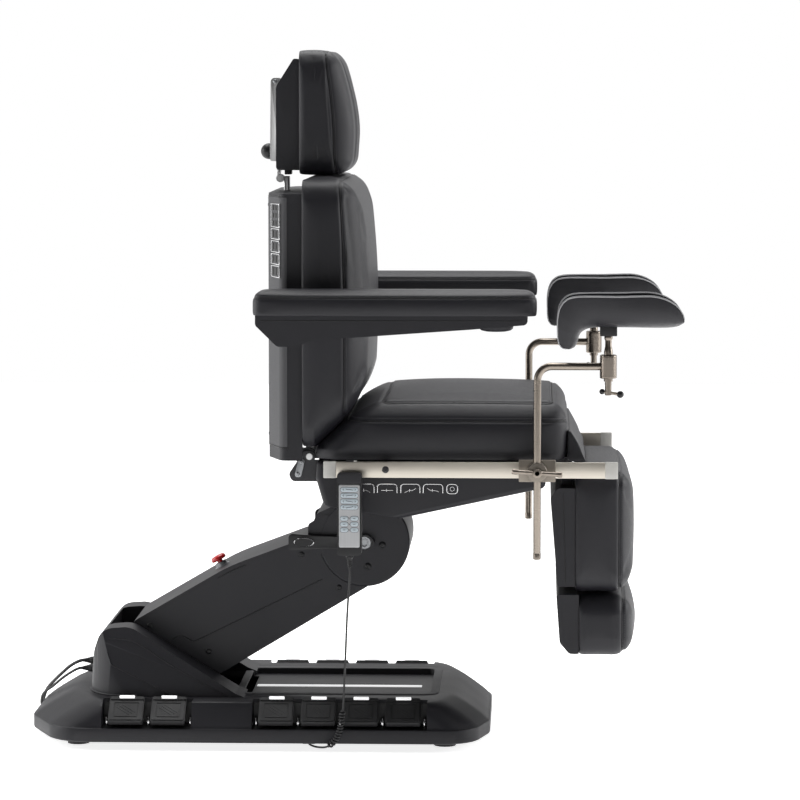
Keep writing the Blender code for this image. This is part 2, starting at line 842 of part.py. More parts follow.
def make_base_cover():
    outlines = [
        (skirt_z, base_outline(0.004, 0.004, 0.004)),
        (skirt_z + 0.004, base_outline(0, 0, 0)),
        (shoulder_z, base_outline(0, 0, 0)),
        (shoulder_z + BODY_STEP, base_outline(BODY_STEP, BODY_STEP, BODY_STEP)),
        (
            base_top - TOP_ROUND,
            base_outline(SIDE_SLOPE * 0.8, REAR_SLOPE * 0.75, FRONT_SLOPE * 0.75),
        ),
        (base_top, base_outline(SIDE_SLOPE, REAR_SLOPE, FRONT_SLOPE)),
    ]
    cover = new_part("base_cover", loft(outlines), "plastic", base)
    room = FIT
    pocket_side = BASE_WIDTH / 2 - FRAME_SIDE_INSET + room
    pocket_low = (BASE_REAR_X + FRAME_END_INSET - room, -pocket_side, 0)
    pocket_high = (base_front_x - FRAME_END_INSET + room, pocket_side, frame_z + FRAME_PLATE + room)
    cut(cover, block(pocket_low, pocket_high))
    hollow_low = (BASE_REAR_X + HOLLOW_END_INSET, -pocket_side, 0)
    hollow_high = (base_front_x - HOLLOW_END_INSET, pocket_side, base_top - RECESS_DEPTH - COVER_WALL)
    cut(cover, block(hollow_low, hollow_high))
    for foot_x, foot_y in foot_places:
        start = (foot_x, foot_y, 0)
        cut(cover, bar(start, (foot_x, foot_y, frame_z + FRAME_PLATE), FOOT_RADIUS + room))
    recess_front = base_front_x - RECESS_FRONT_INSET
    recess_low = (recess_front - RECESS_LENGTH, -RECESS_WIDTH / 2, base_top - RECESS_DEPTH)
    recess_high = (recess_front, RECESS_WIDTH / 2, base_top + RECESS_DEPTH)
    cut(cover, block(recess_low, recess_high))
    well_rear = lower_pivot.x - WELL_LENGTH / 2
    well_front = recess_front - RECESS_LENGTH + RECESS_DEPTH
    cut(
        cover,
        block((well_rear, -WELL_WIDTH / 2, frame_z), (well_front, WELL_WIDTH / 2, base_top + 0.02)),
    )
    for first_x, count in pedal_groups:
        bay_rear = first_x - PEDAL_WIDTH / 2 - PEDAL_END_ROOM
        bay_front = first_x + (count - 1) * PEDAL_PITCH + PEDAL_WIDTH / 2 + PEDAL_END_ROOM
        for side in (near_side, far_side):
            span = sided(side, pedal_wall, BASE_WIDTH / 2 + 0.02)
            cut(cover, block((bay_rear, span[0], shoulder_z), (bay_front, span[1], base_top + 0.02)))


pedal_inner = BASE_WIDTH / 2 - PEDAL_TOP_INSET
pedal_wall = pedal_inner - PEDAL_THICKNESS / 5
pedal_groups = (
    (BASE_REAR_X + REAR_PEDAL_INSET, REAR_PEDAL_COUNT),
    (BASE_REAR_X + FRONT_PEDAL_INSET, FRONT_PEDAL_COUNT),
)
pedal_hinge_z = base_top + PEDAL_RISE


def make_pedals():
    """Sloping treadles, each hinged at its upper inner edge."""
    for side in (near_side, far_side):
        run = Vector((side * cos(PEDAL_SLOPE), -sin(PEDAL_SLOPE)))
        up = Vector((side * sin(PEDAL_SLOPE), cos(PEDAL_SLOPE)))
        start = Vector((side * pedal_inner, pedal_hinge_z))
        corners = (
            start + up * PEDAL_THICKNESS / 2,
            start + run * PEDAL_DEPTH + up * PEDAL_THICKNESS / 2,
            start + run * PEDAL_DEPTH - up * PEDAL_THICKNESS / 2,
            start - up * PEDAL_THICKNESS / 2,
        )
        outline = rounded([(corner.x, corner.y, PEDAL_THICKNESS * 0.25) for corner in corners], 1)
        number = 0
        for first_x, count in pedal_groups:
            for index in range(count):
                number += 1
                centre_x = first_x + index * PEDAL_PITCH
                name = f"pedal_{side_name(side)}_{number}"
                place = (centre_x, side * pedal_inner, pedal_hinge_z)
                pivot = new_pivot(name + "_hinge", place, base)
                mesh = plate([outline], "X", centre_x - PEDAL_WIDTH / 2, centre_x + PEDAL_WIDTH / 2)
                new_part(name, mesh, "rubber", pivot)


# Cowl and lift arm


def cowl_profile(inset):
    peak_z = base_top + COWL_PEAK_RISE - inset
    rear = cowl_rear_x + inset
    front = cowl_front_x - inset * 1.6
    peak_x = cowl_rear_x + COWL_PEAK_INSET
    foot_z = cowl_bottom
    return [
        (rear, foot_z, 0),
        (front, foot_z, 0),
        (front - 0.020, foot_z + 0.008, 0.020),
        (peak_x + 0.026, peak_z, 0.050),
        (peak_x - 0.038, peak_z - 0.004, 0.040),
        (rear + 0.010, foot_z + 0.090, 0.060),
    ]


def taper(mesh, low_z, high_z, low_width, high_width):
    for vert in mesh.vertices:
        share = max(0, min(1, (vert.co.z - low_z) / (high_z - low_z)))
        vert.co.y *= (low_width + (high_width - low_width) * share) / low_width
    return mesh


def make_cowl():
    peak_z = base_top + COWL_PEAK_RISE
    half = COWL_FOOT_WIDTH / 2
    outer = plate([rounded(cowl_profile(0), 4)], "Y", -half, half)
    cowl = new_part("pivot_cowl", taper(outer, base_top, peak_z, COWL_FOOT_WIDTH, COWL_TOP_WIDTH), "plastic", base)
    plan = rounded(
        [
            (cowl_rear_x, -half, COWL_PLAN_ROUND),
            (cowl_front_x + 0.05, -half, 0),
            (cowl_front_x + 0.05, half, 0),
            (cowl_rear_x, half, COWL_PLAN_ROUND),
        ],
        4,
    )
    add_tool(cowl, plate([plan], "Z", cowl_bottom - 0.02, peak_z + 0.02), "INTERSECT")
    slot = arm_side + 0.0035
    cut(
        cowl,
        block((cowl_rear_x + COWL_REAR_WALL, -slot, base_top - 0.02), (cowl_front_x + 0.02, slot, peak_z + 0.02)),
    )
    for spread, rise in SOCKETS:
        start = (cowl_rear_x + COWL_REAR_WALL / 2, spread, rise)
        fuse(cowl, bar(start, (cowl_rear_x - SOCKET_LENGTH, spread, rise), SOCKET_RADIUS, 16))


SOCKETS = (
    (SOCKET_SPREAD, socket_z + SOCKET_SPREAD * 0.5),
    (-SOCKET_SPREAD, socket_z - SOCKET_SPREAD * 0.5),
)


def along_arm(along, off):
    place = lower_pivot + arm_direction * along + arm_normal * off
    return (place.x, place.z)


def make_lift_arm():
    pin_end = UPRIGHT_GAP + UPRIGHT_THICKNESS + 0.004
    pin = bar((lower_pivot.x, -pin_end, lower_pivot.z), (lower_pivot.x, pin_end, lower_pivot.z), LOWER_PIN_RADIUS)
    new_part("lower_pivot_pin", pin, "steel", base)
    half = BEAM_WIDTH / 2
    outline = [
        (*along_arm(-BEAM_END_RADIUS, BEAM_END_RADIUS), BEAM_END_RADIUS * 0.98),
        (*along_arm(-BEAM_END_RADIUS, -BEAM_END_RADIUS), BEAM_END_RADIUS * 0.98),
        (*along_arm(ARM_LENGTH + BEAM_END_RADIUS, -BEAM_END_RADIUS), BEAM_END_RADIUS * 0.98),
        (*along_arm(ARM_LENGTH + BEAM_END_RADIUS, BEAM_END_RADIUS), BEAM_END_RADIUS * 0.98),
    ]
    bores = [
        ring((lower_pivot.x, lower_pivot.z), LOWER_PIN_RADIUS + RUN),
        ring((upper_pivot.x, upper_pivot.z), UPPER_PIN_RADIUS + RUN),
    ]
    new_part("lift_arm", plate([rounded(outline)] + bores, "Y", -half, half), "dark_steel", arm)


def arm_cover_profile(inset, open_below):
    top_front = along_arm(ARM_LENGTH, ARM_TOP_AT_KNUCKLE - inset)
    top_fall = along_arm(ARM_LENGTH * 0.75, ARM_TOP_AT_FALL - inset)
    top_crown = along_arm(ARM_LENGTH * 0.42, ARM_TOP_AT_CROWN - inset)
    top_rear = along_arm(-ARM_REAR_RADIUS * 0.6, ARM_TOP_AT_REAR - inset)
    low_front = along_arm(ARM_LENGTH, -ARM_BOTTOM_AT_KNUCKLE - open_below)
    low_rear = along_arm(ARM_REAR_RADIUS * 0.9, -ARM_BOTTOM_AT_REAR - open_below)
    low_end = along_arm(-ARM_REAR_RADIUS * 0.2 + inset, -ARM_REAR_RADIUS * 0.8 - open_below)
    rear_end = along_arm(-ARM_REAR_RADIUS + inset, ARM_REAR_RADIUS * 0.2)
    return [
        (*top_front, 0),
        (*top_fall, 0.30),
        (*top_crown, 0.40),
        (*top_rear, 0.030),
        (*rear_end, 0.030),
        (*low_end, 0.012),
        (*low_rear, 0.030),
        (*low_front, 0),
    ]


def make_arm_cover():
    half = arm_side
    cover = new_part("arm_cover", plate([rounded(arm_cover_profile(0, 0))], "Y", -half, half), "plastic", arm)
    inside = plate([rounded(arm_cover_profile(ARM_WALL, 0.05))], "Y", -half + ARM_WALL, half - ARM_WALL)
    soften(cover, 0.010, 2)
    cut(cover, inside)
    drum = DRUM_RADIUS + 0.0025
    start = (upper_pivot.x, -half - 0.02, upper_pivot.z)
    cut(cover, bar(start, (upper_pivot.x, half + 0.02, upper_pivot.z), drum, DRUM_SIDES))
    neck_low = (upper_pivot.x - KNUCKLE_NECK_REAR - 0.032, -half - 0.02, upper_pivot.z - 0.005)
    neck_high = (upper_pivot.x + 0.2, half + 0.02, upper_pivot.z + 0.3)
    cut(cover, block(neck_low, neck_high))
    fuse(cover, bar(stop_foot - stop_axis * 0.010, stop_foot + stop_axis * STOP_COLLAR_HEIGHT, STOP_COLLAR_RADIUS))
    for along in (ARM_LENGTH * 0.42, ARM_LENGTH * 0.68):
        x, z = along_arm(along, 0)
        for side in (near_side, far_side):
            start = (x, side * (half - ARM_WALL / 2), z)
            fuse(cover, bar(start, (x, side * (BEAM_WIDTH / 2 + FIT), z), SPACER_RADIUS, 8))
    bore_low = stop_foot + stop_axis * (STOP_COLLAR_HEIGHT * 0.1)
    cut(cover, bar(bore_low, stop_foot + stop_axis * 0.05, STOP_COLLAR_RADIUS * 0.5, 16))


stop_axis = arm_normal
stop_foot = lower_pivot + arm_direction * STOP_ALONG + arm_normal * (ARM_TOP_AT_CROWN - 0.003)


def make_stop_button():
    rest = STOP_COLLAR_HEIGHT + STOP_TRAVEL + FIT
    cap = STOP_CAP_RADIUS
    stalk = STOP_COLLAR_RADIUS * 0.5 - RUN
    profile = [
        (0, rest + STOP_CAP_HEIGHT),
        (cap * 0.6, rest + STOP_CAP_HEIGHT * 0.93),
        (cap, rest + STOP_CAP_HEIGHT * 0.6),
        (cap, rest + STOP_CAP_HEIGHT * 0.25),
        (cap * 0.8, rest),
        (stalk, rest),
        (stalk, rest - STOP_TRAVEL - STOP_COLLAR_HEIGHT * 0.5),
        (0, rest - STOP_TRAVEL - STOP_COLLAR_HEIGHT * 0.5),
    ]
    turn = stop_axis.to_track_quat("Z", "Y").to_matrix().to_4x4()
    mesh = turned(profile, Matrix.Translation(stop_foot) @ turn, 14)
    new_part("estop_button", mesh, "red", stop_pivot)


# Knuckle and lever


def make_knuckle():
    drum = bar(
        (upper_pivot.x, -drum_side, upper_pivot.z), (upper_pivot.x, drum_side, upper_pivot.z), DRUM_RADIUS, DRUM_SIDES
    )
    knuckle = new_part("knuckle_housing", drum, "plastic", knuckle_pivot)
    top = upper_pivot.z + KNUCKLE_NECK_TOP
    rear = upper_pivot.x - KNUCKLE_NECK_REAR
    front = upper_pivot.x + KNUCKLE_NECK_FRONT
    neck = rounded(
        [
            (rear - 0.020, upper_pivot.z + 0.032, 0.008),
            (front, upper_pivot.z - 0.020, 0),
            (front, top, 0.006),
            (rear + 0.042, top, 0.020),
            (rear - 0.006, upper_pivot.z + 0.062, 0.012),
        ]
    )
    fuse(knuckle, plate([neck], "Y", -drum_side * 0.985, drum_side * 0.985))
    above = (upper_pivot.x + DRUM_RADIUS, drum_side * 1.2, upper_pivot.z + DRUM_RADIUS * 1.2)
    cut(knuckle, block((upper_pivot.x - DRUM_RADIUS, -drum_side * 1.2, top), above))
    lug = rounded(
        [
            (tilt_axis.x - LUG_RADIUS, top - 0.02, 0),
            (tilt_axis.x + LUG_RADIUS, top - 0.02, 0),
            (tilt_axis.x + LUG_RADIUS, tilt_axis.z + LUG_RADIUS, LUG_RADIUS * 0.95),
            (tilt_axis.x - LUG_RADIUS, tilt_axis.z + LUG_RADIUS, LUG_RADIUS * 0.95),
        ]
    )
    fuse(knuckle, plate([lug], "Y", -LUG_WIDTH / 2, LUG_WIDTH / 2))
    cheek = rounded(
        [
            (rear - CHEEK_REACH, upper_pivot.z + 0.038, 0.010),
            (rear - CHEEK_REACH, upper_pivot.z - CHEEK_DROP, 0.020),
            (rear + 0.030, upper_pivot.z - CHEEK_DROP * 1.5, 0),
            (rear + 0.060, upper_pivot.z + 0.050, 0),
            (rear + 0.010, upper_pivot.z + 0.060, 0),
        ]
    )
    for side in (near_side, far_side):
        fuse(knuckle, plate([cheek], "Y", *sided(side, arm_side + 0.001, drum_side - 0.0005)))
    reach = TILT_PIN_LENGTH / 2
    fuse(knuckle, bar((tilt_axis.x, -reach, tilt_axis.z), (tilt_axis.x, reach, tilt_axis.z), TILT_PIN_RADIUS))
    slot = BEAM_WIDTH / 2 + 0.0015
    eye = BEAM_END_RADIUS + 0.004
    slot_low = (upper_pivot.x - DRUM_RADIUS * 1.6, -slot, upper_pivot.z - DRUM_RADIUS * 1.2)
    cut(knuckle, block(slot_low, (upper_pivot.x + eye, slot, upper_pivot.z + eye)))
    cut(knuckle, bar((upper_pivot.x, -0.2, upper_pivot.z), (upper_pivot.x, 0.2, upper_pivot.z), UPPER_PIN_RADIUS + RUN))
    pin_near = -drum_side - LEVER_STANDOFF - LEVER_THICKNESS - 0.001
    pin_far = drum_side + 0.003
    pin = bar((upper_pivot.x, pin_near, upper_pivot.z), (upper_pivot.x, pin_far, upper_pivot.z), UPPER_PIN_RADIUS)
    new_part("upper_pivot_pin", pin, "chrome", knuckle_pivot)


def make_lever():
    hand = LEVER_HAND_WIDTH / 2
    hub = LEVER_HUB_RADIUS
    x = upper_pivot.x
    z = upper_pivot.z
    outline = rounded(
        [
            (x + hub, z - hub, hub * 0.95),
            (x + hub, z + hub, hub * 0.95),
            (x - hub, z + hub * 0.55, hub),
            (x - LEVER_LENGTH * 0.62, z + hand * 0.75, 0.04),
            (x - LEVER_LENGTH, z + hand, hand * 0.45),
            (x - LEVER_LENGTH, z - hand, hand * 0.45),
            (x - LEVER_LENGTH * 0.62, z - hand * 0.75, 0.04),
            (x - hub, z - hub * 0.55, hub),
        ]
    )
    inner = drum_side + LEVER_STANDOFF
    bore = ring((x, z), UPPER_PIN_RADIUS + RUN)
    span = sided(near_side, inner, inner + LEVER_THICKNESS)
    new_part("lock_lever", plate([outline, bore], "Y", *span), "plastic", lever_pivot)


# Seat


def make_seat_frame():
    side = tail_outer + PAN_SIDE
    rear = seat_rear_x + PAN_REAR_INSET
    front = seat_front_x - PAN_FRONT_INSET
    frame = new_part("seat_frame", block((rear, -side, pan_bottom), (front, side, pan_top)), "dark_steel", seat)
    ear = rounded(
        [
            (tilt_axis.x - LUG_RADIUS, tilt_axis.z - LUG_RADIUS, LUG_RADIUS * 0.9),
            (tilt_axis.x + LUG_RADIUS, tilt_axis.z - LUG_RADIUS, LUG_RADIUS * 0.9),
            (tilt_axis.x + LUG_RADIUS, pan_bottom + PAN_THICKNESS / 2, 0),
            (tilt_axis.x - LUG_RADIUS, pan_bottom + PAN_THICKNESS / 2, 0),
        ]
    )
    tilt_bore = ring((tilt_axis.x, tilt_axis.z), TILT_PIN_RADIUS + RUN)
    tail_end = (hinge.x - TAIL_END_X, hinge.z - TAIL_END_Z)
    tail = rounded(
        [
            (rear + 0.03, pan_bottom + PAN_THICKNESS / 2, 0),
            (hinge.x + HINGE_EAR_RADIUS, pan_bottom + PAN_THICKNESS / 2, 0),
            (hinge.x + HINGE_EAR_RADIUS, hinge.z + HINGE_EAR_RADIUS, HINGE_EAR_RADIUS * 0.95),
            (hinge.x - HINGE_EAR_RADIUS, hinge.z + HINGE_EAR_RADIUS, HINGE_EAR_RADIUS * 0.95),
            (tail_end[0] - TAIL_END_RADIUS, tail_end[1] + TAIL_END_RADIUS * 0.4, TAIL_END_RADIUS * 0.9),
            (tail_end[0] - TAIL_END_RADIUS * 0.4, tail_end[1] - TAIL_END_RADIUS, TAIL_END_RADIUS * 0.9),
            (rear + 0.03, tail_end[1] - TAIL_END_RADIUS, 0),
        ]
    )
    hinge_bore = ring((hinge.x, hinge.z), HINGE_PIN_RADIUS + RUN, 12)
    leg_ear = rounded(
        [
            (front - 0.03, pan_bottom + PAN_THICKNESS / 2, 0),
            (front - 0.03, leg_axis.z - LEG_EAR_RADIUS, 0),
            (leg_axis.x + LEG_EAR_RADIUS, leg_axis.z - LEG_EAR_RADIUS, LEG_EAR_RADIUS * 0.95),
            (leg_axis.x + LEG_EAR_RADIUS, leg_axis.z + LEG_EAR_RADIUS, LEG_EAR_RADIUS * 0.95),
            (front - 0.03, leg_axis.z + LEG_EAR_RADIUS, 0),
        ]
    )
    leg_bore = ring((leg_axis.x, leg_axis.z), LEG_SHAFT_RADIUS + RUN, 12)
    for hand in (near_side, far_side):
        inner = LUG_WIDTH / 2 + FIT
        fuse(frame, plate([ear, tilt_bore], "Y", *sided(hand, inner, inner + EAR_THICKNESS)))
        fuse(frame, plate([tail, hinge_bore], "Y", *sided(hand, tail_inner, tail_outer)))
        leg_inner = LEG_EAR_SPAN / 2 + FIT
        fuse(frame, plate([leg_ear, leg_bore], "Y", *sided(hand, leg_inner, leg_inner + LEG_EAR_THICKNESS)))
    reach = tail_outer + 0.004
    pin = bar((hinge.x, -reach, hinge.z), (hinge.x, reach, hinge.z), HINGE_PIN_RADIUS, 12)
    new_part("back_hinge_pin", pin, "steel", seat)


def shell_profile(inset):
    rear = seat_rear_x + inset
    low_x = seat_rear_x + SHELL_LOW_X
    front = seat_front_x - SHELL_FRONT_INSET - inset
    return [
        (rear + 0.002, seat_z - 0.002),
        (rear, seat_z - 0.040),
        (rear + 0.018, seat_z - SHELL_REAR_DEPTH + inset),
        (low_x, shell_bottom + inset),
        (front, seat_z - SHELL_FRONT_DEPTH + inset),
        (front, shell_front_top),
    ]


def make_seat_shell():
    half = SHELL_WIDTH / 2
    outer = shell_profile(0) + [(seat_front_x - SHELL_FRONT_INSET - SHELL_STEP, shell_front_top)]
    outer += [(seat_front_x - SHELL_FRONT_INSET - SHELL_STEP, seat_z - 0.002)]
    shell = new_part("seat_shell", plate([outer], "Y", -half, half), "plastic", seat)
    soften(shell, SHELL_EDGE, 2, 60)
    inner = shell_profile(SHELL_WALL)
    inner[0] = (inner[0][0], seat_z + 0.02)
    inner[-1] = (inner[-1][0], seat_z + 0.02)
    cut(shell, plate([inner], "Y", -half + SHELL_WALL, half - SHELL_WALL))
    mouth_side = drum_side + SHELL_MOUTH_ROOM
    mouth_low = (seat_rear_x + SHELL_WALL + 0.004, -mouth_side, shell_bottom - 0.02)
    mouth_high = (upper_pivot.x + KNUCKLE_NECK_FRONT + SHELL_MOUTH_ROOM, mouth_side, pan_bottom - 0.03)
    cut(shell, block(mouth_low, mouth_high))
    for hand in (near_side, far_side):
        span = sided(hand, tail_inner - 0.002, tail_outer + 0.002)
        cut(shell, block((seat_rear_x - 0.03, span[0], seat_z - 0.075), (seat_rear_x + 0.03, span[1], seat_z + 0.02)))


def seat_form(place, low, high):
    """Slopes the rear end to the mitre with the back cushion."""
    middle = (low.x + high.x) / 2
    rearness = max(0, min(1, (middle - place.x) / (middle - low.x - SEAT_CORNER)))
    frontness = max(0, (place.x - middle) / (high.x - middle))
    place.x += rearness * max(0, place.z - mitre.z) / tan(MITRE_SLOPE)
    place.x -= frontness * max(0, place.z - seat_z) * SEAT_FRONT_LEAN
    return place


def make_seat_cushion():
    low = (seat_rear_x, -SEAT_WIDTH / 2, seat_z)
    high = (seat_front_x, SEAT_WIDTH / 2, seat_z + SEAT_THICKNESS - SEAT_CROWN)
    mesh = cushion(low, high, SEAT_CORNER, (0, 0, SEAT_CROWN), (0, PINCH, 0), 2, seat_form)
    new_part("seat_cushion", mesh, "vinyl", seat)


def make_rails():
    for side in (near_side, far_side):
        span = sided(side, rail_inner, rail_outer)
        low = (rail_rear_x, span[0], rail_z - RAIL_HEIGHT / 2)
        high = (rail_rear_x + RAIL_LENGTH, span[1], rail_z + RAIL_HEIGHT / 2)
        rail = new_part(f"side_rail_{side_name(side)}", block(low, high, 0.0015), "steel", seat)
        for along in (SPACER_REAR, SPACER_FRONT):
            start = (rail_rear_x + along, side * (rail_inner + 0.002), rail_z)
            end = (rail_rear_x + along, side * (SHELL_WIDTH / 2 + FIT), rail_z)
            fuse(rail, bar(start, end, SPACER_RADIUS, 12))


def make_handset():
    half = HANDSET_WIDTH / 2
    span = sided(near_side, handset_inner, handset_inner + HANDSET_THICKNESS)
    bottom = handset_top - HANDSET_HEIGHT
    low = (handset_x - half, span[0], bottom)
    handset = new_part(
        "handset", block(low, (handset_x + half, span[1], handset_top), HANDSET_ROUND), "plastic", seat
    )
    rail_bottom = rail_z - RAIL_HEIGHT / 2
    rail_top = rail_z + RAIL_HEIGHT / 2
    behind = sided(near_side, rail_inner - FIT - HOOK_THICKNESS, rail_inner - FIT)
    foot = sided(near_side, rail_inner - FIT - HOOK_THICKNESS, handset_inner + HOOK_THICKNESS)
    tip = sided(near_side, rail_inner - FIT - HOOK_THICKNESS, rail_outer)
    hook = HOOK_WIDTH / 2
    foot_z = rail_bottom - FIT - HOOK_THICKNESS
    tip_z = rail_top + FIT
    fuse(
        handset,
        block((handset_x - hook, foot[0], foot_z), (handset_x + hook, foot[1], rail_bottom - FIT)),
        block((handset_x - hook, behind[0], foot_z), (handset_x + hook, behind[1], tip_z + HOOK_THICKNESS * 0.9)),
        block((handset_x - hook * 0.9, tip[0], tip_z), (handset_x + hook * 0.9, tip[1], tip_z + HOOK_THICKNESS)),
        bar(
            (handset_x, near_side * (handset_inner + HANDSET_THICKNESS / 2), bottom + 0.004),
            (handset_x, near_side * (handset_inner + HANDSET_THICKNESS / 2), bottom - RELIEF_LENGTH),
            RELIEF_RADIUS,
            16,
            RELIEF_RADIUS * 0.6,
        ),
    )


# Back rest


def make_back_frame():
    half = BACK_FRAME_WIDTH / 2
    front = back_shell_front - FIT
    rear = front - BACK_FRAME_THICKNESS
    low_z = hinge.z + BACK_FRAME_LOW
    frame = new_part(
        "back_frame",
        block((rear, -half, low_z), (front, half, low_z + BACK_FRAME_HEIGHT)),
        "dark_steel",
        back,
    )
    ear = rounded(
        [
            (hinge.x + HINGE_EAR_RADIUS, hinge.z - HINGE_EAR_RADIUS, HINGE_EAR_RADIUS * 0.95),
            (hinge.x + HINGE_EAR_RADIUS, hinge.z + HINGE_EAR_RADIUS * 1.3, HINGE_EAR_RADIUS * 0.8),
            (front - BACK_FRAME_THICKNESS / 4, hinge.z + HINGE_EAR_RADIUS * 1.5, 0),
            (front - BACK_FRAME_THICKNESS / 4, low_z + 0.06, 0),
            (rear - 0.010, low_z + 0.06, 0),
            (rear - 0.010, hinge.z - HINGE_EAR_RADIUS, HINGE_EAR_RADIUS * 0.95),
        ]
    )
    bore = ring((hinge.x, hinge.z), HINGE_PIN_RADIUS + RUN, 12)
    inner = tail_inner - FIT
    root = half - BACK_EAR_ROOT
    for side in (near_side, far_side):
        fuse(frame, plate([ear, bore], "Y", *sided(side, root, inner)))
    guide_low_z = back_shell_top - BACK_SHELL_WALL - FIT - GUIDE_LENGTH
    guide_high_z = back_shell_top - BACK_SHELL_WALL - FIT
    room = RUN
    guide_side = POST_WIDTH / 2 + room + GUIDE_WALL
    fuse(
        frame,
        block(
            (post_rear - room - GUIDE_WALL, -guide_side, guide_low_z),
            (front - BACK_FRAME_THICKNESS / 2, guide_side, guide_high_z),
        ),
    )
    cut(
        frame,
        block(
            (post_rear - room, -POST_WIDTH / 2 - room, guide_low_z - 0.01),
            (post_front + room, POST_WIDTH / 2 + room, guide_high_z + 0.01),
        ),
    )


def back_plan(inset):
    side = BACK_SHELL_WIDTH / 2 - inset
    rear_half = BACK_SHELL_REAR_WIDTH / 2 - inset * 0.4
    rear = back_shell_rear + inset
    knee = rear + BACK_SHELL_CHAMFER
    return [
        (rear, -rear_half, 0.03),
        (knee, -side, 0.02),
        (back_shell_front, -side, 0),
        (back_shell_front, side, 0),
        (knee, side, 0.02),
        (rear, rear_half, 0.03),
    ]


def make_back_shell():
    outer = rounded(back_plan(0), 2)
    shell = new_part("back_shell", plate([outer], "Z", back_shell_bottom, back_shell_top), "plastic", back)
    inner_corners = back_plan(BACK_SHELL_WALL)
    inner_corners[2] = (back_shell_front + 0.02, inner_corners[2][1], 0)
    inner_corners[3] = (back_shell_front + 0.02, inner_corners[3][1], 0)
    inner = plate([rounded(inner_corners, 2)], "Z", back_shell_bottom - 0.02, back_shell_top - BACK_SHELL_WALL)
    cut(shell, inner)
    room = RUN * 2
    cut(
        shell,
        block(
            (post_rear - room, -POST_WIDTH / 2 - room, back_shell_top - 0.02),
            (post_front + room, POST_WIDTH / 2 + room, back_shell_top + 0.02),
        ),
    )
    start = (arm_pivot.x, -BACK_SHELL_WIDTH, arm_pivot.z)
    cut(shell, bar(start, (arm_pivot.x, BACK_SHELL_WIDTH, arm_pivot.z), ARM_PIN_RADIUS + RUN))


def back_form(place, low, high):
    """Slopes the lower end to the mitre with the seat cushion."""
    middle = (low.z + high.z) / 2
    lowness = max(0, min(1, (middle - place.z) / (middle - low.z - BACK_CORNER)))
    highness = max(0, (place.z - middle) / (high.z - middle))
    frontness = max(0, (place.x - low.x) / (high.x - low.x))
    place.z += lowness * max(0, place.x - mitre.x) * tan(MITRE_SLOPE)
    place.x -= frontness * highness**2 * BACK_TOP_LEAN
    return place


def make_back_cushion():
    low = (back_rear_x, -BACK_WIDTH / 2, back_bottom)
    high = (back_rear_x + BACK_THICKNESS - BACK_CROWN, BACK_WIDTH / 2, back_top)
    mesh = cushion(low, high, BACK_CORNER, (BACK_CROWN, 0, 0), (0, PINCH, 0), 0, back_form)
    new_part("back_cushion", mesh, "vinyl", back)


# Headrest


def make_head():
    half = POST_WIDTH / 2
    post = new_part(
        "head_post",
        block((post_rear, -half, post_top - POST_LENGTH), (post_front, half, post_top + 0.004)),
        "steel",
        post_pivot,
    )
    eye = HEAD_PIVOT_RADIUS
    fuse(
        post,
        bar((head_pivot.x, -half * 0.45, post_top), (head_pivot.x, half * 0.45, post_top), eye, 12),
        block((head_pivot.x, -half * 0.45, post_top - eye * 0.5), (post_front, half * 0.45, post_top + eye * 0.5)),
        bar((head_pivot.x, -half * 1.2, post_top), (head_pivot.x, half * 1.2, post_top), eye * 0.5, 12),
    )
    plate_rear = head_plate_front - HEAD_PLATE_THICKNESS
    plate_half = HEAD_PLATE_WIDTH / 2
    plate_low = post_top + eye * 1.4
    head_plate = new_part(
        "head_plate",
        block((plate_rear, -plate_half, plate_low), (head_plate_front, plate_half, plate_low + HEAD_PLATE_HEIGHT)),
        "steel",
        head,
    )
    cheek = ring((head_pivot.x, post_top), eye * 0.9, 12)
    cheek_bore = ring((head_pivot.x, post_top), eye * 0.5 + RUN, 12)
    for side in (near_side, far_side):
        span = sided(side, half * 0.45 + FIT, half * 1.15)
        fuse(head_plate, plate([cheek, cheek_bore], "Y", *span))
        fuse(
            head_plate,
            block(
                (plate_rear + 0.0005, span[0], post_top + eye * 0.75),
                (head_plate_front - 0.0005, span[1], plate_low + 0.010),
            ),
        )
    cut(
        head_plate,
        bar((plate_rear - 0.01, 0, knob_z), (head_plate_front + 0.01, 0, knob_z), KNOB_NECK_RADIUS + RUN, 12),
    )
    shell_half = HEAD_SHELL_WIDTH / 2
    shell_rear = head_plate_front + FIT
    shell_front = shell_rear + HEAD_SHELL_DEPTH
    shell_low = head_bottom + 0.010
    shell_high = shell_low + HEAD_SHELL_HEIGHT
    profile = rounded(
        [
            (shell_front, shell_low, 0),
            (shell_front, shell_high, 0.006),
            (shell_front - 0.012, shell_high, 0.006),
            (shell_rear, shell_high - HEAD_SHELL_TOP_SLOPE, 0.02),
            (shell_rear, shell_low, 0.008),
        ],
        3,
    )
    shell = new_part("head_shell", plate([profile], "Y", -shell_half, shell_half), "plastic", head)
    soften(shell, 0.006, 1, 60)
    cut(shell, bar((shell_rear - 0.01, 0, knob_z), (shell_rear + 0.02, 0, knob_z), KNOB_NECK_RADIUS + RUN, 12))
    neck = KNOB_NECK_RADIUS
    stub = HEAD_PLATE_THICKNESS + 0.012
    profile = [(0, KNOB_NECK_LENGTH + 2 * KNOB_RADIUS)]
    for step in range(1, 6):
        angle = pi * step / 7
        profile.append((KNOB_RADIUS * sin(angle), KNOB_NECK_LENGTH + KNOB_RADIUS * (1 + cos(angle))))
    profile += [(neck * 1.5, KNOB_NECK_LENGTH), (neck * 1.5, FIT), (neck, FIT), (neck, -stub), (0, -stub)]
    turn = Vector((-1, 0, 0)).to_track_quat("Z", "Y").to_matrix().to_4x4()
    mesh = turned(profile, Matrix.Translation((plate_rear, 0, knob_z)) @ turn, 12)
    new_part("head_knob", mesh, "rubber", knob_pivot)


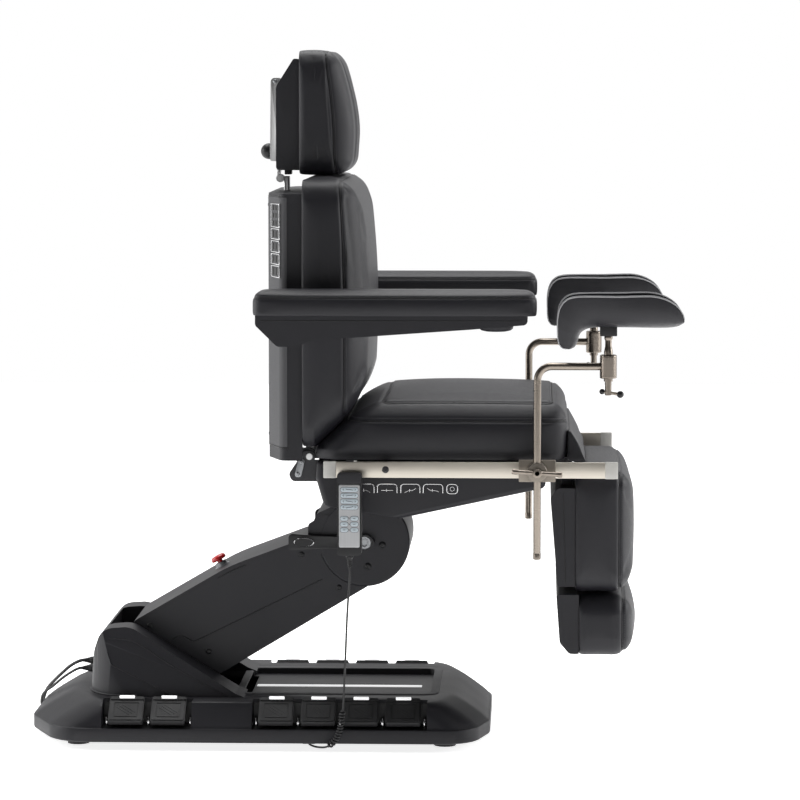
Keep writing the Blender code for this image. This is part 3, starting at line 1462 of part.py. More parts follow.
def head_form(place, low, high):
    """Sinks the upright sewn channels into the front of the head cushion."""
    middle = (low + high) / 2
    half = (high - low) / 2
    rise = (place.z - middle.z) / half.z
    if place.x > middle.x and abs(rise) < 0.9:
        share = (place.y / half.y + 1) / 2 * HEAD_CHANNELS
        place.x -= HEAD_CHANNEL_DEPTH * (0.5 + 0.5 * cos(2 * pi * share)) * (1 - rise**4)
    thin = max(0, (rise + 0.4) / 1.4) ** 1.6
    place.x -= max(0, place.x - head_rear_x) * HEAD_TOP_TAPER * thin
    return place


def make_head_cushion():
    low = (head_rear_x, -HEAD_WIDTH / 2, head_bottom)
    high = (head_rear_x + HEAD_THICKNESS - HEAD_CROWN, HEAD_WIDTH / 2, head_bottom + HEAD_HEIGHT)
    mesh = cushion(low, high, HEAD_CORNER, (HEAD_CROWN, 0, 0), (0, PINCH, 0), 0, head_form, 9)
    new_part("head_cushion", mesh, "vinyl", head)


# Armrests


def make_armrests():
    for side in (near_side, far_side):
        pivot = armrest_pivots[side]
        span = sided(side, ARMREST_INNER, ARMREST_INNER + ARMREST_WIDTH)
        low = (armrest_rear_x, span[0], armrest_z + FIT)
        high = (armrest_rear_x + ARMREST_LENGTH, span[1], armrest_z + FIT + ARM_PAD_HEIGHT)
        mesh = cushion(low, high, ARM_PAD_CORNER, (0, PINCH, 0), (0, 0, 0), 2, None, 5)
        new_part(f"armrest_pad_{side_name(side)}", mesh, "vinyl", pivot)
        rear = armrest_rear_x + ARM_SHELL_INSET
        front = armrest_rear_x + ARMREST_LENGTH - ARM_SHELL_FRONT
        floor = armrest_z - ARM_SHELL_HEIGHT
        wedge = floor - ARM_WEDGE_DEPTH
        profile = rounded(
            [
                (front, armrest_z, 0),
                (rear, armrest_z, 0),
                (rear, armrest_z - 0.020, 0.010),
                (arm_pivot.x - 0.026, wedge, 0.014),
                (arm_pivot.x + 0.016, wedge, 0.020),
                (arm_pivot.x + 0.070, floor, 0.040),
                (front - 0.12, floor, 0.040),
                (front, floor + 0.012, 0.010),
            ],
            2,
        )
        shell_span = sided(side, ARMREST_INNER + ARM_SHELL_INSET, ARMREST_INNER + ARMREST_WIDTH - ARM_SHELL_INSET)
        shell = new_part(f"armrest_shell_{side_name(side)}", plate([profile], "Y", *shell_span), "plastic", pivot)
        soften(shell, 0.004, 1, 60)
        boss_end = BACK_SHELL_WIDTH / 2 + FIT
        fuse(
            shell,
            bar(
                (arm_pivot.x, side * (ARMREST_INNER + 0.02), arm_pivot.z),
                (arm_pivot.x, side * boss_end, arm_pivot.z),
                ARM_BOSS_RADIUS,
            ),
            bar(
                (arm_pivot.x, side * (ARMREST_INNER + 0.02), arm_pivot.z),
                (arm_pivot.x, side * (boss_end - ARM_PIN_REACH), arm_pivot.z),
                ARM_PIN_RADIUS,
            ),
        )


# Leg rest and foot rest


def make_leg_rest():
    half = LEG_SHELL_WIDTH / 2
    shell = new_part(
        "leg_shell",
        block((leg_shell_rear, -half, leg_shell_bottom), (leg_shell_front, half, leg_shell_top), LEG_SHELL_EDGE),
        "plastic",
        leg,
    )
    lug = rounded(
        [
            (leg_axis.x - LEG_EAR_RADIUS, leg_axis.z + LEG_EAR_RADIUS, LEG_EAR_RADIUS * 0.95),
            (leg_axis.x - LEG_EAR_RADIUS, leg_shell_top - 0.03, 0),
            (leg_axis.x + LEG_EAR_RADIUS, leg_shell_top - 0.03, 0),
            (leg_axis.x + LEG_EAR_RADIUS, leg_axis.z + LEG_EAR_RADIUS, LEG_EAR_RADIUS * 0.95),
        ]
    )
    ear_outer = LEG_EAR_SPAN / 2
    for side in (near_side, far_side):
        fuse(shell, plate([lug], "Y", *sided(side, ear_outer - LEG_EAR_THICKNESS, ear_outer)))
    reach = ear_outer + FIT + LEG_EAR_THICKNESS + 0.002
    fuse(shell, bar((leg_axis.x, -reach, leg_axis.z), (leg_axis.x, reach, leg_axis.z), LEG_SHAFT_RADIUS, 12))
    rod_x = (foot_shell_rear + foot_shell_front) / 2
    for side in (near_side, far_side):
        start = (rod_x, side * FOOT_ROD_SPAN / 2, leg_shell_bottom - 0.01)
        end = (rod_x, side * FOOT_ROD_SPAN / 2, foot_shell_top + FOOT_ROD_LENGTH + 0.002)
        cut(shell, bar(start, end, FOOT_ROD_RADIUS + RUN, 12))
    low = (leg_pad_rear, -LEG_WIDTH / 2, leg_pad_bottom)
    high = (leg_pad_rear + LEG_THICKNESS - LEG_CROWN, LEG_WIDTH / 2, leg_pad_top)
    mesh = cushion(low, high, LEG_CORNER, (LEG_CROWN, 0, 0), (0, PINCH, 0), 0, None, 5)
    new_part("leg_cushion", mesh, "vinyl", leg)


def make_foot_rest():
    half = LEG_SHELL_WIDTH / 2
    bottom = foot_shell_top - FOOT_SHELL_HEIGHT
    shell = new_part(
        "foot_shell",
        block((foot_shell_rear, -half, bottom), (foot_shell_front, half, foot_shell_top), LEG_SHELL_EDGE),
        "plastic",
        foot,
    )
    rod_x = (foot_shell_rear + foot_shell_front) / 2
    for side in (near_side, far_side):
        start = (rod_x, side * FOOT_ROD_SPAN / 2, foot_shell_top - 0.04)
        end = (rod_x, side * FOOT_ROD_SPAN / 2, foot_shell_top + FOOT_ROD_LENGTH)
        fuse(shell, bar(start, end, FOOT_ROD_RADIUS, 12))
    low = (foot_pad_rear, -LEG_WIDTH / 2, foot_pad_top - FOOT_PAD_HEIGHT)
    high = (foot_pad_rear + FOOT_PAD_THICKNESS - LEG_CROWN, LEG_WIDTH / 2, foot_pad_top)
    mesh = cushion(low, high, LEG_CORNER, (LEG_CROWN, 0, 0), (0, PINCH, 0), 0, None, 5)
    new_part("foot_cushion", mesh, "vinyl", foot)


# Leg crutches


def crutch_x(side):
    shift = CRUTCH_FAR_SHIFT if side == far_side else 0
    return rail_rear_x + CRUTCH_X + shift


def make_clamp(side):
    x = crutch_x(side)
    lip = clamp_plate_inner - CLAMP_LIP_REACH
    half = RAIL_HEIGHT / 2 + FIT
    section = [
        (side * clamp_plate_outer, rail_z + half + CLAMP_LIP),
        (side * lip, rail_z + half + CLAMP_LIP),
        (side * lip, rail_z + half),
        (side * clamp_plate_inner, rail_z + half),
        (side * clamp_plate_inner, rail_z - half),
        (side * lip, rail_z - half),
        (side * lip, rail_z - half - CLAMP_LIP),
        (side * clamp_plate_outer, rail_z - half - CLAMP_LIP),
    ]
    mesh = plate([section], "X", x - CLAMP_LENGTH / 2, x + CLAMP_LENGTH / 2)
    clamp = new_part(f"rail_clamp_{side_name(side)}", mesh, "steel", clamp_pivots[side])
    start = (x, side * (clamp_plate_outer - 0.004), rail_z)
    fuse(clamp, bar(start, (x, side * boss_outer, rail_z), CLAMP_BOSS_RADIUS))
    cut(
        clamp,
        bar((x, side * rod_y, rail_z - 0.08), (x, side * rod_y, rail_z + 0.08), ROD_RADIUS + RUN),
        bar((x, side * rod_y, rail_z), (x, side * (boss_outer + 0.02), rail_z), T_SCREW_RADIUS + RUN, 16),
    )


def make_t_screw(side):
    x = crutch_x(side)
    tip = rod_y + ROD_RADIUS + FIT
    start = (x, side * tip, rail_z)
    hub_start = boss_outer + FIT
    hub_end = hub_start + T_HUB_LENGTH
    screw = new_part(
        f"clamp_screw_{side_name(side)}",
        bar(start, (x, side * hub_end, rail_z), T_SCREW_RADIUS, 12),
        "steel",
        screw_pivots[side],
    )
    bar_y = side * (hub_start + T_HUB_LENGTH / 2)
    reach = Vector((cos(T_BAR_TILT), 0, -sin(T_BAR_TILT))) * T_BAR_LENGTH / 2
    centre = Vector((x, bar_y, rail_z))
    fuse(screw, bar((x, side * hub_start, rail_z), (x, side * hub_end, rail_z), T_HUB_RADIUS, 12))
    fuse(screw, bar(centre - reach, centre + reach, T_BAR_RADIUS, 8))
    for end in (-1, 1):
        tip_start = centre + reach * end * 0.80
        fuse(screw, bar(tip_start, centre + reach * end * 1.001, T_BAR_TIP_RADIUS, 8))


def make_rod(side):
    x = crutch_x(side)
    y = side * rod_y
    barrel_x = x + ROD_REACH
    points = [(x, y, rail_z - ROD_BELOW)]
    for step in range(9):
        angle = pi - (pi / 2) * step / 8
        centre_x = x + ROD_BEND
        centre_z = rod_top_z - ROD_BEND
        points.append((centre_x + ROD_BEND * cos(angle), y, centre_z + ROD_BEND * sin(angle)))
    points.append((barrel_x, y, rod_top_z))
    rod = new_part(f"crutch_rod_{side_name(side)}", tube(points, ROD_RADIUS, 3), "steel", rod_pivots[side])
    low = rod_top_z - BARREL_HEIGHT / 2
    fuse(rod, bar((barrel_x, y, low), (barrel_x, y, low + BARREL_HEIGHT), BARREL_RADIUS))
    cut(rod, bar((barrel_x, y, low - 0.01), (barrel_x, y, low + BARREL_HEIGHT + 0.01), STEM_RADIUS + RUN))


def make_stem(side):
    x = crutch_x(side) + ROD_REACH
    y = side * rod_y
    low = rod_top_z - BARREL_HEIGHT / 2
    high = rod_top_z + BARREL_HEIGHT / 2
    stem = new_part(
        f"crutch_stem_{side_name(side)}",
        bar((x, y, low - STEM_BELOW), (x, y, high + STEM_ABOVE), STEM_RADIUS),
        "steel",
        stem_pivots[side],
    )
    collar = STEM_RADIUS * 1.35
    fuse(
        stem,
        bar((x, y, high + FIT), (x, y, high + STEM_ABOVE * 0.45), collar, SIDES, STEM_RADIUS * 1.05),
        bar((x, y, low - FIT), (x, y, low - FIT - 0.006), collar),
    )
    bar_z = low - STEM_BELOW + 0.006
    reach = Vector((STEM_BAR_LENGTH * 0.75, 0, -0.004))
    centre = Vector((x, y, bar_z))
    fuse(stem, bar(centre - reach * 0.5, centre + reach, STEM_BAR_RADIUS, 10))
    fuse(stem, ball(centre + reach, STEM_BALL_RADIUS, 8))
    fuse(stem, ball(centre - reach * 0.5, STEM_BALL_RADIUS * 0.8, 8))
    fuse(stem, ball((x, y, high + STEM_ABOVE), CUP_BALL_RADIUS, 10))


def cup_section(share, x, y, low_z):
    """One slice across the padded trough, share 0 at the knee end and 1 at the toe."""
    half = CUP_WIDTH / 2
    swell = sin(pi * min(1, max(0, 0.18 + 0.66 * share)))
    knee = max(0, 1 - share / 0.26) ** 2
    nose = max(0, (share - 0.70) / 0.30) ** 2
    width = half * (0.60 + 0.40 * swell) * (1 - 0.22 * nose)
    rim = low_z + CUP_HEIGHT * (1 - 0.62 * nose) - CUP_HEIGHT * 0.62 * knee
    base_z = low_z - CUP_DROP * knee
    points = []
    steps = 6
    for step in range(steps + 1):
        angle = pi + pi * step / steps
        points.append((y + width * cos(angle), rim - (rim - base_z) * abs(sin(angle)) ** 0.6))
    wall = min(CUP_WALL, width * 0.42)
    depth = min(CUP_TROUGH, (rim - base_z) * 0.55)
    for step in range(steps + 1):
        angle = 2 * pi - pi * step / steps
        points.append((y + (width - wall) * cos(angle), rim + 0.002 - depth * abs(sin(angle)) ** 0.8))
    return [(x + knee * CUP_LEAN * (rim - up) / CUP_HEIGHT, across, up) for across, up in points]


def make_cup(side):
    x = crutch_x(side) + ROD_REACH
    y = side * rod_y
    ball_z = rod_top_z + BARREL_HEIGHT / 2 + STEM_ABOVE
    low = ball_z + CUP_BALL_RADIUS * 0.45
    trough = ball_z + CUP_BLOCK_HEIGHT
    toe_x = x + CUP_TOE_REACH
    slices = 12
    shape = bmesh.new()
    rows = []
    for index in range(slices + 1):
        share = index / slices
        section = cup_section(share, toe_x - CUP_LENGTH * (1 - share), y, trough)
        rows.append([shape.verts.new(point) for point in section])
    count = len(rows[0])
    for first, second in zip(rows, rows[1:]):
        for index in range(count):
            following = (index + 1) % count
            shape.faces.new((first[index], first[following], second[following], second[index]))
    ends = [shape.faces.new(rows[0]), shape.faces.new(rows[-1])]
    bmesh.ops.triangulate(shape, faces=ends)
    cup = new_part(f"leg_cup_{side_name(side)}", shape_mesh(shape), "vinyl", cup_pivots[side])
    half = CUP_BLOCK / 2
    fuse(cup, block((x - half, y - half, low), (x + half, y + half, trough + 0.012), 0.002))
    cut(cup, ball((x, y, ball_z), CUP_BALL_RADIUS + CUP_SOCKET_ROOM, 12))


# Cords


HANDSET_EXIT = (
    handset_x,
    near_side * (handset_inner + HANDSET_THICKNESS / 2),
    handset_top - HANDSET_HEIGHT - RELIEF_LENGTH - FIT,
)
GLAND = (BASE_REAR_X + 0.614, near_side * (BASE_WIDTH / 2 - FRAME_SIDE_INSET - 0.0015), 0.0105)
CORD_SHARES = (
    (0.0, 0.0, 1.0),
    (0.0, 0.0, 0.95),
    (0.058, 0.025, 0.746),
    (0.105, 0.067, 0.498),
    (0.147, 0.109, 0.299),
    (0.168, 0.134, 0.231),
    (0.20, 0.142, 0.174),
    (0.253, 0.151, 0.114),
    (0.368, 0.167, 0.0634),
    (0.537, 0.218, 0.0323),
    (0.716, 0.301, 0.0250),
    (0.863, 0.427, 0.0250),
    (0.958, 0.611, 0.0250),
    (0.989, 0.820, 0.0258),
)
CORD_ROUTE = tuple(
    (
        HANDSET_EXIT[0] + (GLAND[0] - HANDSET_EXIT[0]) * across,
        HANDSET_EXIT[1] + (GLAND[1] - HANDSET_EXIT[1]) * inward,
        HANDSET_EXIT[2] * rise,
    )
    for across, inward, rise in CORD_SHARES
) + (GLAND,)
CURLS_BELOW = 0.095
CURLS_END_BEFORE = 0.114


def curly_points(route):
    """The route's points, wound into curls between two places along it."""
    fine = smooth_route(route, CURL_PITCH / CURL_POINTS)
    first = next(index for index, point in enumerate(fine) if point.z < CURLS_BELOW)
    last = len(fine) - round(CURLS_END_BEFORE / (CURL_PITCH / CURL_POINTS))
    radius = (CURL_OUTSIDE - CORD_DIAMETER) / 2
    points = smooth_route([tuple(point) for point in fine[: first + 1 : 6]], CORD_DIAMETER * 2.8)
    normal = Vector((1, 0, 0))
    ramp = CURL_POINTS
    for index in range(first + 1, last):
        tangent = (fine[index + 1] - fine[index - 1]).normalized()
        normal = (normal - tangent * normal.dot(tangent)).normalized()
        other = tangent.cross(normal)
        angle = 2 * pi * (index - first) / CURL_POINTS
        grow = min(1, (index - first) / ramp, (last - index) / ramp)
        grow = grow * grow * (3 - 2 * grow)
        offset = normal * (cos(angle) * radius * grow) + other * (sin(angle) * radius * grow)
        points.append(fine[index] + offset)
    points += fine[last + 2 :: 6]
    if (points[-1] - fine[-1]).length > 0.0001:
        points.append(fine[-1])
    return points


def make_handset_cord():
    points = curly_points(CORD_ROUTE)
    new_part("handset_cord", tube(points, CORD_DIAMETER / 2, 1), "cord", base)
    gap = least_gap(points, CORD_DIAMETER, CURL_POINTS - 2)
    print("handset cord length", round(route_length(points), 4), "least gap", round(gap * 1000, 2), "mm")


LEAD_EXIT = (cowl_rear_x - SOCKET_LENGTH - FIT, SOCKETS[0][0], SOCKETS[0][1])
LEAD_SHARES = (
    (0.066, 0.023, 0.911),
    (0.041, 0.045, 0.754),
    (0.018, 0.075, 0.590),
    (0.000, 0.100, 0.440),
    (-0.0110, 0.122, 0.262),
    (-0.0165, 0.148, 0.110),
    (-0.0195, 0.180, 0.036),
    (-0.0150, 0.222, 0.029),
    (0.002, 0.268, 0.029),
    (0.035, 0.310, 0.029),
    (0.085, 0.333, 0.029),
    (0.145, 0.337, 0.029),
    (0.200, 0.328, 0.029),
    (0.245, 0.320, 0.029),
)
LEAD_ROUTE = (
    LEAD_EXIT,
    (LEAD_EXIT[0] - CONNECTOR_LENGTH, LEAD_EXIT[1], LEAD_EXIT[2]),
) + tuple((BASE_REAR_X + along, across, LEAD_EXIT[2] * rise) for along, across, rise in LEAD_SHARES)
JUMPER_EXIT = (cowl_rear_x - SOCKET_LENGTH - FIT, SOCKETS[1][0], SOCKETS[1][1])
JUMPER_SHARES = (
    (0.071, -0.006, 0.925),
    (0.047, 0.012, 0.790),
    (0.021, 0.040, 0.610),
    (-0.003, 0.064, 0.455),
    (-0.0105, 0.082, 0.270),
    (-0.0060, 0.102, 0.120),
    (0.013, 0.128, 0.062),
    (0.047, 0.152, 0.046),
    (0.091, 0.156, 0.046),
    (0.126, 0.150, 0.054),
    (0.149, 0.135, 0.070),
    (0.158, 0.115, 0.081),
    (0.159, 0.100, 0.081),
)
JUMPER_ROUTE = (
    JUMPER_EXIT,
    (JUMPER_EXIT[0] - CONNECTOR_LENGTH, JUMPER_EXIT[1], JUMPER_EXIT[2]),
) + tuple((BASE_REAR_X + along, across, JUMPER_EXIT[2] * rise) for along, across, rise in JUMPER_SHARES)


def with_connector(route, diameter, name):
    """A lead whose first stretch is the thicker moulded connector at its socket."""
    points = smooth_route(route, diameter * 3)
    lead = new_part(name, tube(points, diameter / 2, 2), "cord", base)
    start = Vector(route[0])
    end = start + Vector((-CONNECTOR_LENGTH * 0.8, 0, 0))
    fuse(lead, bar(start, end, SOCKET_RADIUS * 0.8, 12, diameter * 0.7))
    return points


def coil_points():
    """Two layers of turns that spiral in and out again, climbing where the spiral reverses."""
    pitch = LEAD_DIAMETER + COIL_GAP
    layer_turns = COIL_TURNS / 2
    inner = COIL_MEAN_DIAMETER / 2 - pitch * (layer_turns - 1) / 2
    outer = inner + pitch * (layer_turns - 0.5)
    floor = LEAD_DIAMETER / 2 + 0.0002
    centre_x = BASE_REAR_X + COIL_ALONG
    centre_y = BASE_WIDTH / 2 + COIL_BESIDE
    start_angle = -pi / 2
    points = []
    total = COIL_TURNS * COIL_POINTS
    climb_turns = 0.5
    for step in range(total + 1):
        turn = step / COIL_POINTS
        inward = min(turn, layer_turns - climb_turns / 2)
        outward = max(0, turn - layer_turns - climb_turns / 2)
        radius = outer - pitch * inward + pitch * outward
        climb = (turn - layer_turns + climb_turns / 2) / climb_turns
        climb = max(0, min(1, climb))
        climb = climb * climb * (3 - 2 * climb)
        height = floor + climb * (LEAD_DIAMETER + COIL_LAYER_GAP)
        angle = start_angle + 2 * pi * turn
        points.append(
            Vector((centre_x + radius * cos(angle), centre_y + radius * sin(angle), height))
        )
    return points


def make_leads():
    coil = coil_points()
    entry = coil[0]
    run_in = (coil[0] - coil[1]).normalized()
    lead_end = entry + run_in * FIT * 2
    route = LEAD_ROUTE + (tuple(lead_end + run_in * 0.012), tuple(lead_end))
    lead = with_connector(route, LEAD_DIAMETER, "mains_lead")
    jumper = with_connector(JUMPER_ROUTE, JUMPER_DIAMETER, "rear_jumper")
    rise = PLUG_RADIUS + 0.0005 - coil[-1].z
    tail = [coil[-1]]
    for along, across, share in PLUG_TAIL:
        tail.append(coil[-1] + Vector((along, across, share * rise)))
    coil += smooth_route(tail, LEAD_DIAMETER * 2)[1:]
    new_part("mains_coil", tube(coil, LEAD_DIAMETER / 2, 1), "cord", base)
    gap = least_gap(coil, LEAD_DIAMETER, COIL_POINTS // 2)
    print("mains lead length", round(route_length(lead) + route_length(coil), 4))
    print("coil least gap", round(gap * 1000, 2), "mm")
    print("rear jumper length", round(route_length(jumper), 4))
    away = (coil[-1] - coil[-2]).normalized()
    start = coil[-1] + away * FIT * 2
    neck = LEAD_DIAMETER * 0.8
    profile = [
        (0, PLUG_LENGTH),
        (PLUG_RADIUS * 0.85, PLUG_LENGTH),
        (PLUG_RADIUS, PLUG_LENGTH * 0.9),
        (PLUG_RADIUS, PLUG_LENGTH * 0.62),
        (neck * 1.3, PLUG_LENGTH * 0.36),
        (neck, 0),
        (0, 0),
    ]
    turn = away.to_track_quat("Z", "Y").to_matrix().to_4x4()
    plug = new_part("mains_plug", turned(profile, Matrix.Translation(start) @ turn, 12), "rubber", base)
    across = away.cross(Vector((0, 0, 1))).normalized()
    for side in (near_side, far_side):
        foot = start + away * (PLUG_LENGTH - 0.004) + across * side * PRONG_SPREAD
        fuse(plug, bar(foot, foot + away * (PRONG_LENGTH + 0.004), PRONG_RADIUS, 8))


# Assembly


for old in list(bpy.data.objects):
    bpy.data.objects.remove(old, do_unlink=True)

parts = new_collection("examination_chair")
cutters = new_collection("cutters")
pivot_places = {}

base = new_pivot("base_origin", (0, 0, 0))
arm = new_pivot("lift_axis", lower_pivot, base)
knuckle_pivot = new_pivot("level_axis", upper_pivot, arm)
lever_pivot = new_pivot("lever_axis", upper_pivot, knuckle_pivot)
stop_pivot = new_pivot("stop_axis", stop_foot, arm)
seat = new_pivot("tilt_axis", tilt_axis, knuckle_pivot)
back = new_pivot("recline_axis", hinge, seat)
post_pivot = new_pivot("head_slide", (post_front, 0, post_top), back)
head = new_pivot("head_axis", head_pivot, post_pivot)
knob_pivot = new_pivot("knob_axis", (head_pivot.x, 0, knob_z), head)
leg = new_pivot("leg_axis", leg_axis, seat)
foot = new_pivot("foot_slide", (leg_axis.x, 0, foot_shell_top), leg)
armrest_pivots = {}
clamp_pivots = {}
screw_pivots = {}
rod_pivots = {}
stem_pivots = {}
cup_pivots = {}
for hand in (near_side, far_side):
    word = side_name(hand)
    clamp_place = Vector((crutch_x(hand), hand * rod_y, rail_z))
    barrel_place = Vector((crutch_x(hand) + ROD_REACH, hand * rod_y, rod_top_z))
    cup_place = barrel_place + Vector((0, 0, BARREL_HEIGHT / 2 + STEM_ABOVE))
    armrest_pivots[hand] = new_pivot(f"armrest_axis_{word}", arm_pivot, back)
    clamp_pivots[hand] = new_pivot(f"clamp_slide_{word}", clamp_place, seat)
    screw_pivots[hand] = new_pivot(f"screw_axis_{word}", clamp_place, clamp_pivots[hand])
    rod_pivots[hand] = new_pivot(f"rod_slide_{word}", clamp_place, clamp_pivots[hand])
    stem_pivots[hand] = new_pivot(f"stem_axis_{word}", barrel_place, rod_pivots[hand])
    cup_pivots[hand] = new_pivot(f"cup_axis_{word}", cup_place, stem_pivots[hand])

make_base_frame()
make_base_cover()
make_pedals()
make_cowl()
make_lift_arm()
make_arm_cover()
make_stop_button()
make_knuckle()
make_lever()
make_seat_frame()
make_seat_shell()
make_seat_cushion()
make_rails()
make_handset()
make_back_frame()
make_back_shell()
make_back_cushion()
make_head()
make_head_cushion()
make_armrests()
make_leg_rest()
make_foot_rest()
for hand in (near_side, far_side):
    make_clamp(hand)
    make_t_screw(hand)
    make_rod(hand)
    make_stem(hand)
    make_cup(hand)
make_handset_cord()
make_leads()
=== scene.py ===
"""Electric examination chair with leg crutches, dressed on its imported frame."""

from math import acos, atan2, cos, pi, radians, sin, tan

import bmesh
import bpy
import numpy as np
from mathutils import Matrix, Vector
from mathutils.bvhtree import BVHTree
from mathutils.kdtree import KDTree


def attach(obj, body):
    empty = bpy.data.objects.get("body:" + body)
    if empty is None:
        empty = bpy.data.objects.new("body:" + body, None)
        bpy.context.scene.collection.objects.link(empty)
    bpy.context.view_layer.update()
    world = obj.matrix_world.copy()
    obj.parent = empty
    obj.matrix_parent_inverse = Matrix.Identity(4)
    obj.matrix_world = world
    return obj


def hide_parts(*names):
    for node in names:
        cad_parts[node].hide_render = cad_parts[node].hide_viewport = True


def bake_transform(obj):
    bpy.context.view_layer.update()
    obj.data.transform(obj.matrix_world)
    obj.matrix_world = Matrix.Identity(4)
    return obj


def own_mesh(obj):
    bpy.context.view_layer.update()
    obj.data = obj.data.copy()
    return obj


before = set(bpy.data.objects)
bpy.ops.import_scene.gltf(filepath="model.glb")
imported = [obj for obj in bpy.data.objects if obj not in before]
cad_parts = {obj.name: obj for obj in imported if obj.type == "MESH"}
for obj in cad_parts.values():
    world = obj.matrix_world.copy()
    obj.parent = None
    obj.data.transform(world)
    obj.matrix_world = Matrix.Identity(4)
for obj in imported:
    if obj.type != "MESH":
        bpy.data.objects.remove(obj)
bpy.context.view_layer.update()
scene = bpy.context.scene

# Places on the frame, in metres and radians

NEAR = -1
FAR = 1
SIDES = {"near": NEAR, "far": FAR}
LOWER_PIVOT = Vector((-0.4109, 0, 0.1905))
UPPER_PIVOT = Vector((0.02386, 0, 0.4305))
TILT_AXIS = Vector((0.02386, 0, 0.539))
MITRE = Vector((-0.07664, 0, 0.6497))
MITRE_SLOPE = radians(43.5)
ARM_PIVOT = Vector((-0.12114, 0, 0.9247))
LEG_AXIS = Vector((0.46386, 0, 0.616))
ARM_ANGLE = radians(28.9)
ARM_LENGTH = 0.4966
ARM_ALONG = Vector((cos(ARM_ANGLE), 0, sin(ARM_ANGLE)))
ARM_UP = Vector((-sin(ARM_ANGLE), 0, cos(ARM_ANGLE)))
BASE_REAR = -0.7069
BASE_FRONT = 0.2991
BASE_TOP = 0.1025
SHOULDER = 0.0465
SKIRT = 0.0165
SEAT_Z = 0.628
SEAT_REAR = -0.07414
SEAT_FRONT = 0.47186
RAIL_Z = 0.6107
RAIL_REAR = -0.0541
RAIL_FRONT = 0.5709
ROD_Y = 0.3578
ROD_TOP = 0.8347
CRUTCH_X = {"near": 0.39986, "far": 0.37986}
BARREL_REACH = 0.149
BARREL_HALF = 0.025
BALL_RISE = 0.036
ROD_DROP = 0.186
HANDSET_X = 0.0024
HANDSET_TOP = 0.6057
BASE_HALF = 0.310
ARM_HALF = 0.12
SHELL_HALF = 0.28
LEG_HALF = 0.27
CUSHION_HALF = 0.30


# Camera

camera = bpy.data.objects.new("camera", bpy.data.cameras.new("camera"))
camera.data.lens = 163.6
camera.data.sensor_width = 36
camera.data.clip_end = 60
camera.location = (0.4041, -8.0, 1.4452)
camera.rotation_euler = (Vector((0.0961, 0, 0.7305)) - camera.location).to_track_quat("-Z", "Y").to_euler()
scene.collection.objects.link(camera)
scene.camera = camera


# Materials


class Value:
    """A node's output. A sum or a product with it adds a Math node to its tree."""

    def __init__(self, nodes, socket):
        self.nodes = nodes
        self.socket = socket

    def __add__(self, other):
        return self.nodes.maths("ADD", self, other)

    def __radd__(self, other):
        return self.nodes.maths("ADD", other, self)

    def __mul__(self, other):
        return self.nodes.maths("MULTIPLY", self, other)

    def __rmul__(self, other):
        return self.nodes.maths("MULTIPLY", other, self)


class Nodes:
    """A node tree, and the one way in which nodes are added to it."""

    def __init__(self, tree):
        self.tree = tree

    def feed(self, socket, value):
        if isinstance(value, Value):
            self.tree.links.new(value.socket, socket)
        else:
            socket.default_value = value

    def node(self, kind, settings=None, output=0, **inputs):
        """An output of a new node. Inputs go by name, or by number as i0, i1 and so on."""
        made = self.tree.nodes.new(kind)
        for key, value in (settings or {}).items():
            setattr(made, key, value)
        for key, value in inputs.items():
            number = key[1:]
            self.feed(made.inputs[int(number) if number.isdigit() else key.replace("_", " ")], value)
        return Value(self, made.outputs[output])

    def maths(self, operation, first, second):
        return self.node("ShaderNodeMath", {"operation": operation}, i0=first, i1=second)


class Paint(Nodes):
    """One procedural material, built from object coordinates."""

    def __init__(self, name, colour, roughness, metallic=0.0, **constants):
        self.material = bpy.data.materials.new(name)
        self.material.use_nodes = True
        super().__init__(self.material.node_tree)
        self.surface = self.tree.nodes["Principled BSDF"]
        self.colour = colour
        self.put(Base_Color=(*colour, 1), Roughness=roughness, Metallic=metallic, **constants)
        self.material.diffuse_color = (*colour, 1)

    def put(self, **inputs):
        for key, value in inputs.items():
            self.feed(self.surface.inputs[key.replace("_", " ")], value)

    def place(self, stretch=(1, 1, 1)):
        spot = self.node("ShaderNodeTexCoord", output="Object")
        return self.node("ShaderNodeMapping", Vector=spot, Scale=stretch)

    def noise(self, scale, detail, rough=0.5, stretch=(1, 1, 1)):
        spot = self.place(stretch)
        return self.node("ShaderNodeTexNoise", Vector=spot, Scale=scale, Detail=detail, Roughness=rough)

    def cells(self, scale):
        settings = {"feature": "DISTANCE_TO_EDGE"}
        return self.node("ShaderNodeTexVoronoi", settings, Vector=self.place(), Scale=scale)

    def tint(self, factor, low, high):
        first = tuple(channel * low for channel in self.colour)
        second = tuple(channel * high for channel in self.colour)
        settings = {"data_type": "RGBA"}
        mixed = self.node("ShaderNodeMix", settings, 2, i0=factor, i6=(*first, 1), i7=(*second, 1))
        self.put(Base_Color=mixed)

    def bump(self, height, distance, strength):
        self.put(Normal=self.node("ShaderNodeBump", Height=height, Distance=distance, Strength=strength))

    def rough(self, factor, low, high):
        self.put(Roughness=factor * (high - low) + low)


def vinyl_paint(name, colour, roughness):
    paint = Paint(name, colour, roughness, Specular_IOR_Level=0.36)
    grain = paint.cells(620.0)
    creases = paint.noise(95.0, 4.0, 0.6)
    broad = paint.noise(7.0, 2.0)
    paint.tint(broad, 0.88, 1.14)
    paint.rough(creases, roughness - 0.07, roughness + 0.09)
    paint.bump(grain * 1.6 + creases * 0.5, 0.00035, 0.55)
    return paint.material


def moulded_paint(name, colour, roughness, coarse=1900.0, depth=0.00012):
    paint = Paint(name, colour, roughness, Specular_IOR_Level=0.36)
    sparkle = paint.noise(coarse, 2.0, 0.7)
    broad = paint.noise(9.0, 3.0)
    paint.tint(sparkle * 0.6 + broad * 0.4, 0.78, 1.24)
    paint.rough(broad, roughness - 0.06, roughness + 0.07)
    paint.bump(sparkle, depth, 0.6)
    return paint.material


